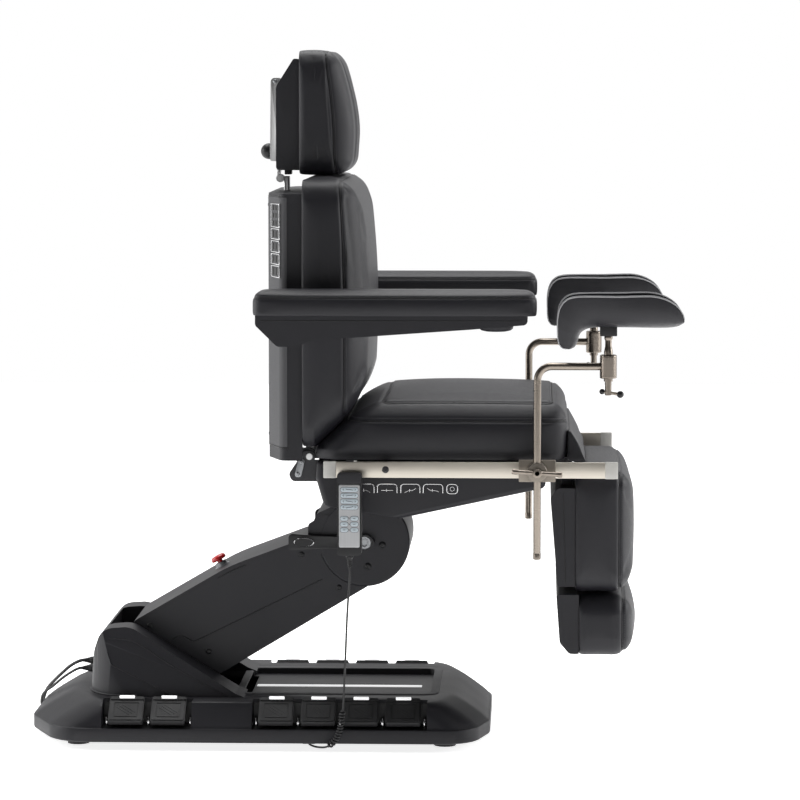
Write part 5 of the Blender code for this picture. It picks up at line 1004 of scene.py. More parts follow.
def inflated(mesh, pinned, cap):
    """The cushion's cover after a short cloth simulation with pressure, its moves capped."""
    rest = np.empty(len(mesh.vertices) * 3)
    mesh.vertices.foreach_get("co", rest)
    holder = holder_of(mesh)
    group = holder.vertex_groups.new(name="sewn")
    group.add(pinned, 1.0, "REPLACE")
    cloth = holder.modifiers.new("cloth", "CLOTH")
    cloth.settings.quality = 4
    cloth.settings.mass = 0.25
    cloth.settings.tension_stiffness = 12
    cloth.settings.compression_stiffness = 12
    cloth.settings.bending_stiffness = 0.8
    cloth.settings.vertex_group_mass = "sewn"
    cloth.settings.use_pressure = True
    cloth.settings.uniform_pressure_force = 4
    cloth.settings.effector_weights.gravity = 0
    cloth.point_cache.frame_start = 1
    cloth.point_cache.frame_end = 20
    for number in range(1, 21):
        scene.frame_set(number)
    settled = baked(holder)
    scene.frame_set(1)
    moved = np.empty(len(settled.vertices) * 3)
    settled.vertices.foreach_get("co", moved)
    shift = (moved - rest).reshape(-1, 3)
    reach = np.linalg.norm(shift, axis=1, keepdims=True)
    shift *= np.minimum(1, cap / np.maximum(reach, 1e-9))
    settled.vertices.foreach_set("co", (rest.reshape(-1, 3) + shift).ravel())
    return settled


def finer(mesh):
    holder = holder_of(mesh)
    subdivide = holder.modifiers.new("finer", "SUBSURF")
    subdivide.levels = 1
    subdivide.render_levels = 1
    return baked(holder)


def seam_tree(seams):
    """A search tree over all points of the seams, numbered from one seam on to the next."""
    points = np.concatenate(seams)
    near = KDTree(len(points))
    for index, point in enumerate(points):
        near.insert(point, index)
    near.balance()
    return near


def sewn(mesh, seams, depth, width):
    """Sinks seams into a cover and gathers the cover beside them."""
    near = seam_tree(seams)
    spacing = np.linalg.norm(seams[0][1] - seams[0][0])
    normals = [Vector(vert.normal) for vert in mesh.vertices]
    for vert, normal in zip(mesh.vertices, normals):
        _, index, distance = near.find(vert.co)
        if distance > width * SEAM_REACH:
            continue
        run = index * spacing
        gather = sin(run / 0.0046 + 2.2 * sin(run / 0.037)) * (0.6 + 0.4 * sin(run / 0.061))
        sink = depth * 2.718 ** (-((distance / width) ** 2))
        pucker = 0.00022 * gather * 2.718 ** (-distance / (width * 2.2)) * min(1, distance / width)
        vert.co -= normal * (sink + pucker)
    return mesh


def surface_of(mesh):
    places = [vert.co for vert in mesh.vertices]
    return BVHTree.FromPolygons(places, [face.vertices for face in mesh.polygons])


def laid_on(surface, points, lift):
    places = []
    for point in points:
        place, normal, _, _ = surface.find_nearest(Vector(point))
        places.append(place + normal * lift)
    return places


def stuffed(name, cushion, rings, lines, body, node, cuts, depth=0.0034, width=0.0046, cap=0.004):
    """Makes one upholstered cushion with its seams and its stitching."""
    seams = [cushion.ring(radians(angle)) for angle in rings] + list(lines)
    mesh = cushion.base_mesh(cuts)
    near = seam_tree(seams)
    seated = cushion.level + 0.0006
    pinned = [
        vert.index
        for vert in mesh.vertices
        if vert.co[cushion.seated] < seated or near.find(vert.co)[2] < 0.006
    ]
    mesh = inflated(mesh, pinned, cap)
    mesh = finer(mesh)
    mesh = sewn(mesh, seams, depth, width)
    made = piece(f"{name}_cover", mesh, VINYL, body, [node], COVER_EDGE)
    surface = surface_of(mesh)
    rows = [laid_on(surface, cushion.ring(radians(angle + STITCH_ANGLE)), SEAM_LIFT) for angle in rings]
    stitched(f"{name}_stitching", wire(rows, True), body)
    joins = [laid_on(surface, cushion.ring(radians(angle)), SEAM_LIFT) for angle in rings]
    piped(f"{name}_seams", joins, 0.0010, BLACK, body, True)
    if lines:
        fine = [laid_on(surface, line, 0.0003) for line in lines]
        stitched(f"{name}_channel_stitching", wire(fine), body)
    return surface


def seat_form(place, low, high):
    middle = (low[0] + high[0]) / 2
    rearness = np.clip((middle - place[:, 0]) / (middle - low[0] - 0.048), 0, 1)
    frontness = np.maximum(0, (place[:, 0] - middle) / (high[0] - middle))
    place[:, 0] += rearness * np.maximum(0, place[:, 2] - MITRE.z) / tan(MITRE_SLOPE)
    bulge = np.maximum(0, 1 - ((place[:, 2] - 0.690) / 0.060) ** 2)
    place[:, 0] += frontness**8 * (0.006 * bulge - 0.012)
    return place


def back_form(place, low, high):
    middle = (low[2] + high[2]) / 2
    lowness = np.clip((middle - place[:, 2]) / (middle - low[2] - 0.046), 0, 1)
    highness = np.maximum(0, (place[:, 2] - middle) / (high[2] - middle))
    frontness = np.maximum(0, (place[:, 0] - low[0]) / (high[0] - low[0]))
    place[:, 2] += lowness * np.maximum(0, place[:, 0] - MITRE.x) * tan(MITRE_SLOPE)
    place[:, 0] -= frontness * highness**2 * 0.014
    return place


def head_form(place, low, high):
    middle = (low + high) / 2
    half = (high - low) / 2
    rise = (place[:, 2] - middle[2]) / half[2]
    share = (place[:, 1] / half[1] + 1) / 2 * 4
    inside = np.logical_and(place[:, 0] > middle[0], np.abs(rise) < 0.9)
    sink = 0.004 * (0.5 + 0.5 * np.cos(2 * pi * share)) ** 2 * (1 - rise**4)
    place[:, 0] -= np.where(inside, sink, 0)
    thin = np.maximum(0, (rise + 0.4) / 1.4) ** 1.6
    place[:, 0] -= np.maximum(0, place[:, 0] + 0.11654) * 0.28 * thin
    return place


seat = wide_cushion(
    CUSHION_HALF, SEAT_REAR, SEAT_Z, SEAT_FRONT, 0.753, 0.048, (0, 0, 0.012), 2, seat_form, 1.4
)
stuffed("seat", seat, (10, 74), (), "seat", "seat_cushion", 44)

back = wide_cushion(CUSHION_HALF, -0.10214, 0.6512, 0.02886, 1.2252, 0.046, (0.012, 0, 0), 0, back_form, 1.4)
back_surface = stuffed("back", back, (8,), (), "back", "back_cushion", 44)

head = wide_cushion(0.16, -0.11654, 1.2312, -0.00354, 1.4992, 0.036, (0.012, 0, 0), 0, head_form, 1.4)
head_lines = [head.strip(1, share, -0.86, 0.86) for share in (-0.36, 0.0, 0.36)]
stuffed("head", head, (4,), head_lines, "head", "head_cushion", 40, cap=0.003)

leg = wide_cushion(SHELL_HALF, 0.48236, 0.3405, 0.60036, 0.606, 0.042, (0.008, 0, 0), 0, None, 1.7)
stuffed("leg", leg, (28,), (), "leg", "leg_cushion", 38)

foot = wide_cushion(SHELL_HALF, 0.49036, 0.2025, 0.60436, 0.3365, 0.042, (0.008, 0, 0), 0, None, 1.7)
stuffed("foot", foot, (34,), (), "foot", "foot_cushion", 36)

for word, side in SIDES.items():
    span = sided(side, 0.315, 0.410)
    low = (-0.1991, span[0], 0.943)
    high = (0.3979, span[1], 0.995)
    pad = Cushion(low, high, 0.024, (0, 0.003, 0), (0, 0, 0), 2, None, 2.0)
    name = f"armrest_{word}"
    stuffed(name, pad, (26,), (), name, f"armrest_pad_{word}", 34, 0.0016, 0.0032, 0.002)

# The blank tag on the near seam of the back cushion
tag_rows = []
for z in np.linspace(1.0405, 1.0795, 10):
    row = laid_on(back_surface, [(0.0005 + 0.0175 * step / 6, -0.32, z) for step in range(7)], 0.0012)
    tag_rows.append(row)
piece("back_tag", thickened(open_skin(tag_rows), 0.0009), BLACK, "back")
tag_edge = tag_rows[0] + [row[-1] for row in tag_rows[1:]]
tag_edge += tag_rows[-1][-2::-1] + [row[0] for row in tag_rows[-2:0:-1]]
stitched("back_tag_stitching", wire([tag_edge], True), "back", 0.0034, 0.0024, 0.0007)


# Leg cups

CUP_STEPS = 22
CUP_SLICES = 72
CUP_RIM = (
    (0.4640, 0.8735), (0.4510, 0.8770), (0.4432, 0.8900), (0.4415, 0.9150), (0.4420, 0.9400),
    (0.4470, 0.9620), (0.4590, 0.9775), (0.4790, 0.9845), (0.5200, 0.9857), (0.5700, 0.9855),
    (0.6200, 0.9868), (0.6450, 0.9858), (0.6680, 0.9795), (0.6870, 0.9685), (0.6985, 0.9560),
    (0.7045, 0.9440), (0.7060, 0.9345),
)
CUP_BASE = (
    (0.4660, 0.8722), (0.4765, 0.8750), (0.4838, 0.8860), (0.4872, 0.9000), (0.4945, 0.9095),
    (0.5080, 0.9158), (0.5260, 0.9178), (0.5480, 0.9180), (0.5700, 0.9180), (0.6000, 0.9178),
    (0.6350, 0.9172), (0.6620, 0.9172), (0.6800, 0.9180), (0.6930, 0.9205), (0.7010, 0.9245),
    (0.7050, 0.9290),
)
CUP_HALF = (
    0.030, 0.046, 0.058, 0.064, 0.067, 0.070, 0.073, 0.076, 0.079, 0.080, 0.080, 0.079, 0.076, 0.070, 0.060
)


def cup_line(outline, spacing):
    """As many places as the cup has slices, along a smooth line in the middle plane."""
    route = smooth_route([(along, 0, up) for along, up in outline], spacing)
    last = CUP_SLICES - 1
    return [route[round(step * (len(route) - 1) / last)] for step in range(CUP_SLICES)]


def cup_rows(x, y):
    """Slices across the padded trough from its knee end, which turns down, to its toe."""
    shift = Vector((x - CRUTCH_X["near"] - BARREL_REACH, 0, 0))
    rims = cup_line(CUP_RIM, 0.004)
    bases = cup_line(CUP_BASE, 0.0032)
    widths = np.interp(np.linspace(0, 1, CUP_SLICES), np.linspace(0, 1, len(CUP_HALF)), CUP_HALF)
    rows = []
    for rim, base, width in zip(rims, bases, widths):
        rise = rim - base
        tall = rise.length
        wall = min(0.027, width * 0.42)
        deep = min(0.040, tall * 0.55)
        section = []
        for step in range(CUP_STEPS + 1):
            angle = pi + pi * step / CUP_STEPS
            section.append((width * cos(angle), 1 - abs(sin(angle)) ** 0.55))
        for step in range(CUP_STEPS + 1):
            angle = 2 * pi - pi * step / CUP_STEPS
            section.append(((width - wall) * cos(angle), 1 - deep / tall * abs(sin(angle)) ** 0.8))
        rows.append([base + rise * up + Vector((0, y + across, 0)) + shift for across, up in section])
    return rows


def make_cup(word):
    x = CRUTCH_X[word] + BARREL_REACH
    y = SIDES[word] * ROD_Y
    ball_z = ROD_TOP + BARREL_HALF + BALL_RISE
    trough = ball_z + 0.022
    rows = cup_rows(x, y)
    cup = Solid(skin(rows)).soften(0.0080, 5, 48).mesh()
    cover = piece(f"cup_{word}_cover", cup, VINYL, f"cup_{word}", [f"leg_cup_{word}"], SMOOTH_EDGE)
    surface = surface_of(cup)
    lines = []
    for index in (0, CUP_STEPS, CUP_STEPS + 1, 2 * CUP_STEPS + 1):
        lines.append(laid_on(surface, [row[index] for row in rows[1:-1]], SEAM_LIFT))
    piped(f"cup_{word}_piping", lines, 0.0011, PIPING, f"cup_{word}")
    mount = Solid(block((x - 0.018, y - 0.018, ball_z + 0.004), (x + 0.018, y + 0.018, trough + 0.010)))
    mount.cut(ball((x, y, ball_z), 0.0102))
    piece(f"cup_{word}_mount", mount.soften(0.003, 4).mesh(), BLACK, f"cup_{word}")


for word in SIDES:
    make_cup(word)


# Base


def base_outline(side_inset, rear_inset, front_inset):
    side = BASE_HALF - side_inset
    rear = BASE_REAR + rear_inset
    front = BASE_FRONT - front_inset
    corners = [
        (rear, -0.130, 0.100), (rear + 0.075, -side, 0.100), (front - 0.0375, -side, 0.080),
        (front, -0.169, 0.100),
    ]
    mirrored = [(across, -along, radius) for across, along, radius in reversed(corners)]
    return rounded(corners + mirrored, 14)


PEDAL_GROUPS = ((-0.4839, 2), (-0.1599, 4))
PEDAL_PITCH = 0.0912
PEDAL_WALL = 0.2452
BAY_MARGIN = 0.0515
RECESS_REAR = -0.2389
RECESS_FRONT = 0.1691
FEET_X = (-0.5949, 0.2021)
FEET_Y = 0.22


def bay_ends(first_x, count):
    """The rear and front ends of a bay for as many pedals."""
    return first_x - BAY_MARGIN, first_x + (count - 1) * PEDAL_PITCH + BAY_MARGIN


def make_base():
    levels = [
        (SKIRT, 0.004, 0.004, 0.004), (SKIRT + 0.0015, 0.0012, 0.0012, 0.0012),
        (SKIRT + 0.004, 0, 0, 0), (SHOULDER - 0.002, 0, 0, 0), (SHOULDER, 0.0006, 0.0006, 0.0006),
        (SHOULDER + 0.0008, 0.0030, 0.0030, 0.0030), (SHOULDER + 0.004, 0.0045, 0.0060, 0.0060),
    ]
    for step in range(1, 12):
        share = step / 12
        z = SHOULDER + 0.004 + (BASE_TOP - 0.012 - SHOULDER) * share
        bend = share ** 1.12
        levels.append((z, 0.0045 + 0.0131 * bend, 0.006 + 0.069 * bend, 0.006 + 0.0585 * bend))
    levels += [
        (BASE_TOP - 0.0042, 0.0192, 0.0850, 0.0725), (BASE_TOP - 0.0014, 0.0205, 0.0925, 0.0795),
        (BASE_TOP, 0.0235, 0.1000, 0.0860),
    ]
    rows = [[(x, y, z) for x, y in base_outline(side, rear, front)] for z, side, rear, front in levels]
    cover = Solid(skin(rows))
    cover.cut(block((-0.6272, -0.2303, 0), (0.2194, 0.2303, 0.0328)))
    cover.cut(block((-0.5469, -0.2303, 0.01), (0.1391, 0.2303, 0.0855)))
    for x in FEET_X:
        for side in (NEAR, FAR):
            cover.cut(bar((x, side * FEET_Y, 0), (x, side * FEET_Y, 0.04), 0.0244))
    recess = rounded_box(RECESS_REAR, RECESS_FRONT, -0.165, 0.165, 0.018)
    cover.cut(plate([recess], "Z", BASE_TOP - 0.012, BASE_TOP + 0.02))
    cover.cut(block((-0.5459, -0.125, 0.02), (RECESS_REAR + 0.012, 0.125, BASE_TOP + 0.02)))
    for first_x, count in PEDAL_GROUPS:
        rear, front = bay_ends(first_x, count)
        for side in (NEAR, FAR):
            span = sided(side, PEDAL_WALL, 0.33)
            cover.cut(block((rear, span[0], SHOULDER), (front, span[1], BASE_TOP + 0.02)))
    mesh = cover.soften(0.0016, 2, 38).mesh()
    piece("base_moulding", mesh, PLASTIC, "base", ["base_cover"], 30)
    frame_rows = []
    for inset, z in ((0.0, 0.0003), (0.001, 0.0016), (0.016, 0.0016), (0.018, 0.0003)):
        rear = RECESS_REAR - 0.018 + inset
        front = RECESS_FRONT + 0.018 - inset
        outline = rounded_box(rear, front, -0.183 + inset, 0.183 - inset, 0.034 - inset)
        frame_rows.append([(x, y, BASE_TOP + z) for x, y in outline])
    lip = skin(frame_rows, False)
    piece("base_recess_lip", lip, PALE_PLASTIC, "base")
    strip = soft_block((-0.222, -0.011, BASE_TOP - 0.0123), (0.145, 0.011, BASE_TOP - 0.0108), 0.0005, 2)
    # The white inlay strip shines with a painted glow from its emission
    piece("base_inlay_strip", strip.mesh(), PAINTED_GLOW_WHITE, "base")
    liners = []
    for first_x, count in PEDAL_GROUPS:
        rear, front = bay_ends(first_x, count)
        for side in (NEAR, FAR):
            span = sided(side, PEDAL_WALL - 0.001, 0.3045)
            low = (rear + 0.0002, span[0], SHOULDER - 0.001)
            liners.append(block(low, (front - 0.0002, span[1], SHOULDER + 0.0008)))
            wall = sided(side, PEDAL_WALL - 0.001, PEDAL_WALL + 0.0006)
            liners.append(block((rear + 0.0002, wall[0], SHOULDER), (front - 0.0002, wall[1], 0.094)))
    piece("pedal_bay_liners", joined(*liners), BLACK, "base")
    posts = []
    for first_x, count in PEDAL_GROUPS:
        for gap in range(count + 1):
            for side in (NEAR, FAR):
                x = first_x + (gap - 0.5) * PEDAL_PITCH
                posts.append((x, side * 0.262, SHOULDER + 0.0007))
    pin = [(0, 0.018), (0.0028, 0.0176), (0.0034, 0.016), (0.0034, 0), (0, 0)]
    pin_mesh = turned(pin, (0, 0, 0), (0, 0, 1), 20)
    repeated("pedal_stop_pins", posts, pin_mesh, CHROME, "base")


make_base()

PEDAL_SLOPE = radians(36)
PEDAL_HEAD_Y = 0.248
PEDAL_HEAD_Z = 0.1005


def pedal_frame(side, x):
    """Turns a pedal's own places, with Y down its slope and Z out of it, into the row frame."""
    fall = sin(PEDAL_SLOPE)
    reach = cos(PEDAL_SLOPE)
    across = (0, side * reach, side * fall, side * PEDAL_HEAD_Y)
    return Matrix(((1, 0, 0, x), across, (0, -fall, reach, PEDAL_HEAD_Z), (0, 0, 0, 1)))


def placed(mesh, matrix):
    mesh.transform(matrix)
    if matrix.determinant() < 0:
        mesh.flip_normals()
    return mesh


def make_pedal(word, number, x):
    side = SIDES[word]
    body = f"pedal_{word}_{number}"
    slab = soft_plate(rounded_box(-0.0375, 0.0375, 0.0, 0.070, 0.004), "Z", -0.007, 0.0052, 0.0022, 3, 40)
    tread = Solid(plate([rounded_box(-0.0345, 0.0345, 0.0085, 0.0670, 0.004)], "Z", 0.004, 0.0068))
    tread.cut(plate([rounded_box(-0.0265, 0.0265, 0.0165, 0.0600, 0.002)], "Z", 0.0055, 0.01))
    tread.fuse(plate([rounded_box(-0.0240, 0.0240, 0.0190, 0.0575, 0.002)], "Z", 0.004, 0.0066))
    header = soft_plate(
        rounded_box(-0.0360, 0.0360, 0.0003, 0.0085, 0.003), "Z", 0.004, 0.0092, 0.0012, 3, 40
    )
    mesh = joined(slab.mesh(), tread.soften(0.0007, 2, 40).mesh(), header.mesh())
    matrix = pedal_frame(side, x)
    piece(f"{body}_tread", placed(mesh, matrix), RUBBER, body, [body])
    mark = soft_plate(rounded_box(-0.0165, 0.0165, 0.0008, 0.0066, 0.0015), "Z", 0.0088, 0.0130, 0.0008, 2)
    # The white pedal mark shines with a painted glow from its emission
    piece(f"{body}_mark", placed(mark.mesh(), matrix), PAINTED_GLOW_WHITE, body)
    rib = soft_block((-0.0185, -0.0009, 0), (0.0185, 0.0009, 0.0007), 0.0003, 1).mesh()
    rib.transform(Matrix.Rotation(radians(38), 4, "Z"))
    places = [(0.0062 * step, 0.0382 + 0.0062 * step * -0.6, 0.0065) for step in (-1, 0, 1)]
    ribs = copies(places, rib, RUBBER)
    piece(f"{body}_ribs", placed(ribs, matrix), RUBBER, body)


for word in SIDES:
    number = 0
    for first_x, count in PEDAL_GROUPS:
        for index in range(count):
            number += 1
            make_pedal(word, number, first_x + index * PEDAL_PITCH)


# Cowl over the lower pivot

COWL_REAR = -0.5769
COWL_FRONT = -0.2329
COWL_PEAK = 0.2505


def make_cowl():
    foot_z = BASE_TOP + 0.0003
    peak_x = COWL_REAR + 0.068
    profile = [
        (COWL_REAR, foot_z, 0), (COWL_FRONT, foot_z, 0),
        (COWL_FRONT - 0.020, foot_z + 0.008, 0.020), (peak_x + 0.026, COWL_PEAK, 0.050),
        (peak_x - 0.038, COWL_PEAK - 0.004, 0.040), (COWL_REAR + 0.010, foot_z + 0.090, 0.060),
    ]
    outer = plate([rounded(profile, 14)], "Y", -0.23, 0.23)
    for vert in outer.vertices:
        share = max(0, min(1, (vert.co.z - BASE_TOP) / (COWL_PEAK - BASE_TOP)))
        vert.co.y *= (0.460 - 0.068 * share) / 0.460
    cowl = Solid(outer).soften(0.012, 4, 50)
    ahead = COWL_FRONT + 0.05
    plan = [(COWL_REAR, -0.23, 0.110), (ahead, -0.23, 0), (ahead, 0.23, 0), (COWL_REAR, 0.23, 0.110)]
    cowl.keep(plate([rounded(plan, 20)], "Z", foot_z, COWL_PEAK + 0.02))
    cowl.cut(block((COWL_REAR + 0.040, -0.1235, 0.08), (COWL_FRONT + 0.02, 0.1235, 0.28)))
    for spread, rise in ((0.013, 0.143), (-0.013, 0.130)):
        cowl.fuse(bar((COWL_REAR + 0.02, spread, rise), (COWL_REAR - 0.008, spread, rise), 0.0095, 32))
    mesh = cowl.soften(0.0020, 3, 42).mesh()
    piece("cowl_moulding", mesh, PLASTIC, "base", ["pivot_cowl"], MOULDED_EDGE)
    surface = surface_of(mesh)
    ribs = []
    for side in (NEAR, FAR):
        rib = [(-0.5619, side * 0.25, 0.1976), (-0.4886, side * 0.25, 0.1606), (-0.3806, side * 0.25, 0.1060)]
        ribs.append(laid_on(surface, smooth_route(rib, 0.006), SEAM_LIFT))
        band = [(-0.5297, 0.236), (-0.4909, 0.234), (-0.460, 0.222), (-0.3828, 0.172), (-0.262, 0.1065)]
        band = [(x, side * 0.25, z) for x, z in band]
        ribs.append(laid_on(surface, smooth_route(band, 0.006), SEAM_LIFT))
    piped("cowl_ribs", ribs, 0.0013, PLASTIC, "base")
    lines = []
    for side in (NEAR, FAR):
        edge = side * 0.231
        flange = rounded([(COWL_REAR, side * 0.02, 0), (COWL_REAR, edge, 0.111), (COWL_FRONT, edge, 0)], 20)
        lines.append([(x, y, BASE_TOP + 0.0015) for x, y in flange[:-1]])
    piped("cowl_flange", lines, 0.0032, PLASTIC, "base")


make_cowl()


# Lift arm and emergency stop


def along_arm(along, off):
    place = LOWER_PIVOT + ARM_ALONG * along + ARM_UP * off
    return (place.x, place.z)


def arm_profile(inset, open_below):
    return [
        (*along_arm(ARM_LENGTH, 0.044 - inset), 0),
        (*along_arm(ARM_LENGTH * 0.75, 0.071 - inset), 0.30),
        (*along_arm(ARM_LENGTH * 0.42, 0.095 - inset), 0.40),
        (*along_arm(-0.0456, 0.089 - inset), 0.030),
        (*along_arm(-0.076 + inset, 0.0152), 0.030),
        (*along_arm(-0.0152 + inset, -0.0608 - open_below), 0.012),
        (*along_arm(0.0684, -0.104 - open_below), 0.030),
        (*along_arm(ARM_LENGTH, -0.088 - open_below), 0),
    ]


STOP_FOOT = LOWER_PIVOT + ARM_ALONG * 0.180 + ARM_UP * 0.092


def make_arm():
    cover = soft_plate(rounded(arm_profile(0, 0), 16), "Y", -ARM_HALF, ARM_HALF, 0.010, 5)
    cover.cut(plate([rounded(arm_profile(0.005, 0.05), 8)], "Y", -0.115, 0.115))
    hub = (UPPER_PIVOT.x, UPPER_PIVOT.z)
    cover.cut(crossbar(hub[0], hub[1], -0.14, 0.14, 0.0992, 96))
    cover.cut(block((UPPER_PIVOT.x - 0.130, -0.14, UPPER_PIVOT.z - 0.005), (UPPER_PIVOT.x + 0.2, 0.14, 0.75)))
    mesh = cover.soften(0.0008, 2, 50).mesh()
    piece("arm_moulding", mesh, PLASTIC, "arm", ["arm_cover"], MOULDED_EDGE)
    hook = [
        (-0.4048, 0.1985), (-0.3989, 0.2104), (-0.3871, 0.2187), (-0.3753, 0.2188), (-0.3607, 0.2112),
        (-0.3504, 0.2077),
    ]
    hook = smooth_route([(x, 0, z) for x, z in hook], 0.002)
    bend = Vector((-0.3504, 0, 0.2077))
    hook += [bend.lerp(Vector((-0.0690, 0, 0.3466)), step / 40) for step in range(1, 41)]
    seams = []
    for side in (NEAR, FAR):
        seams.append([(place.x, side * 0.1199, place.z) for place in hook])
        edge = []
        for x, z in rounded(arm_profile(0.0105, 0), 24):
            spot = Vector((x, 0, z)) - LOWER_PIVOT
            if spot.dot(ARM_UP) > 0.045 and -0.02 < spot.dot(ARM_ALONG) < 0.36:
                edge.append((x, side * 0.1199, z))
        seams.append(edge)
    # The seam and the groove below the top edge are thin tubes of darker black plastic, which stand in as
    # painted shade for the grooves
    piped("arm_seams", seams, 0.0011, BLACK, "arm")
    spots = ((-0.4486, 0.2426), (-0.3197, 0.1857), (-0.1149, 0.4012), (-0.0329, 0.3287))
    for word, side in SIDES.items():
        places = [(x, side * 0.1198, z) for x, z in spots]
        screws(f"arm_screws_{word}", places, 0.0068, BLACK, "arm", word)
    collar = [
        (0.0068, 0.0118), (0.0118, 0.0118), (0.013, 0.0108), (0.0135, 0.004), (0.0175, 0.003),
        (0.0185, -0.004),
    ]
    piece("stop_collar", turned(collar, STOP_FOOT, ARM_UP), LINK_GREY, "arm")
    cap = [
        (0, 0.0283), (0.006, 0.0281), (0.0115, 0.0274), (0.0150, 0.0258), (0.0168, 0.0235),
        (0.0175, 0.0205), (0.0173, 0.0190), (0.0158, 0.0170), (0.0125, 0.0163), (0.0062, 0.0163),
        (0.0062, 0.0078), (0, 0.0078),
    ]
    piece("stop_cap", turned(cap, STOP_FOOT, ARM_UP), RED, "stop", ["estop_button"])


make_arm()


# Knuckle and lever


def make_knuckle():
    x = UPPER_PIVOT.x
    z = UPPER_PIVOT.z
    top = z + 0.084
    rear = x - 0.098
    drum = [(0, 0.125), (0.0940, 0.125)]
    drum += [(0.0940 + 0.0045 * sin(a), 0.1205 + 0.0045 * cos(a)) for a in np.linspace(0.25, pi / 2, 8)]
    drum += [(radius, -height) for radius, height in reversed(drum)]
    housing = Solid(turned(drum, (x, 0, z), (0, 1, 0), 112))
    neck = [
        (rear - 0.020, z + 0.032, 0.008), (x + 0.084, z - 0.020, 0), (x + 0.084, top, 0.006),
        (rear + 0.042, top, 0.020), (rear - 0.006, z + 0.062, 0.012),
    ]
    housing.fuse(soft_plate(rounded(neck), "Y", -0.1231, 0.1231, 0.014, 5, 50).mesh())
    housing.cut(block((x - 0.0985, -0.15, top), (x + 0.0985, 0.15, z + 0.118)))
    cheek = [
        (rear - 0.026, z + 0.038, 0.010), (rear - 0.026, z - 0.022, 0.020),
        (rear + 0.030, z - 0.033, 0), (rear + 0.060, z + 0.050, 0), (rear + 0.010, z + 0.060, 0),
    ]
    for side in (NEAR, FAR):
        housing.fuse(plate([rounded(cheek)], "Y", *sided(side, 0.121, 0.1245)))
    housing.cut(block((x - 0.1576, -0.0615, z - 0.1182), (x + 0.040, 0.0615, z + 0.040)))
    housing.cut(crossbar(x, z, -0.2, 0.2, 0.0159, 48))
    housing.soften(0.0016, 2, 60)
    low = top - 0.02
    lug = [(x - 0.022, low, 0), (x + 0.022, low, 0), (x + 0.022, 0.561, 0.021), (x - 0.022, 0.561, 0.021)]
    parts = [housing.mesh(), plate([rounded(lug)], "Y", -0.04, 0.04)]
    parts.append(crossbar(x, TILT_AXIS.z, -0.055, 0.055, 0.010))
    mesh = joined(*parts)
    piece("knuckle_moulding", mesh, PLASTIC, "knuckle", ["knuckle_housing"], MOULDED_EDGE)
    for word, side in SIDES.items():
        places = [(0.0620, side * 0.1248, 0.4238), (0.0304, side * 0.1248, 0.3766)]
        screws(f"knuckle_screws_{word}", places, 0.0080, BLACK, "knuckle", word)
    pin = [
        (0, 0.2655), (0.0070, 0.2655), (0.0080, 0.2665), (0.0080, 0.2680), (0.0090, 0.2690),
        (0.0130, 0.2690), (0.0155, 0.2665), (0.0155, 0.0015), (0.0140, 0), (0, 0),
    ]
    mesh = turned(pin, (x, 0.128, z), (0, -1, 0))
    piece("pivot_cap", mesh, LINK_GREY, "knuckle", ["upper_pivot_pin"])


def make_lever():
    x = UPPER_PIVOT.x
    z = UPPER_PIVOT.z
    outline = [
        (x + 0.022, z - 0.022, 0.0209), (x + 0.022, z + 0.022, 0.0209),
        (x - 0.022, z + 0.0121, 0.022), (x - 0.1029, z + 0.01425, 0.04),
        (x - 0.166, z + 0.019, 0.0086), (x - 0.166, z - 0.019, 0.0086),
        (x - 0.1029, z - 0.01425, 0.04), (x - 0.022, z - 0.0121, 0.022),
    ]
    lever = Solid(plate([rounded(outline, 12), ring((x, z), 0.0159)], "Y", -0.140, -0.128))
    lever.soften(0.0022, 3, 40)
    angles = np.linspace(0, 2 * pi, 48, endpoint=False)
    oval = [(x - 0.132 + 0.0205 * cos(a), z + 0.0082 * sin(a)) for a in angles]
    lever.cut(plate([oval], "Y", -0.150, -0.1375))
    piece("lever_moulding", lever.mesh(), BLACK, "lever", ["lock_lever"])
    rim = [(px, -0.1402, pz) for px, pz in oval]
    piped("lever_oval_rim", [rim], 0.0021, CHROME, "lever", True)
    dish = soft_plate(oval, "Y", -0.1388, -0.1370, 0.0004, 2).mesh()
    piece("lever_oval", dish, BLACK, "lever")


make_knuckle()
make_lever()


# Seat shell, rails and handset


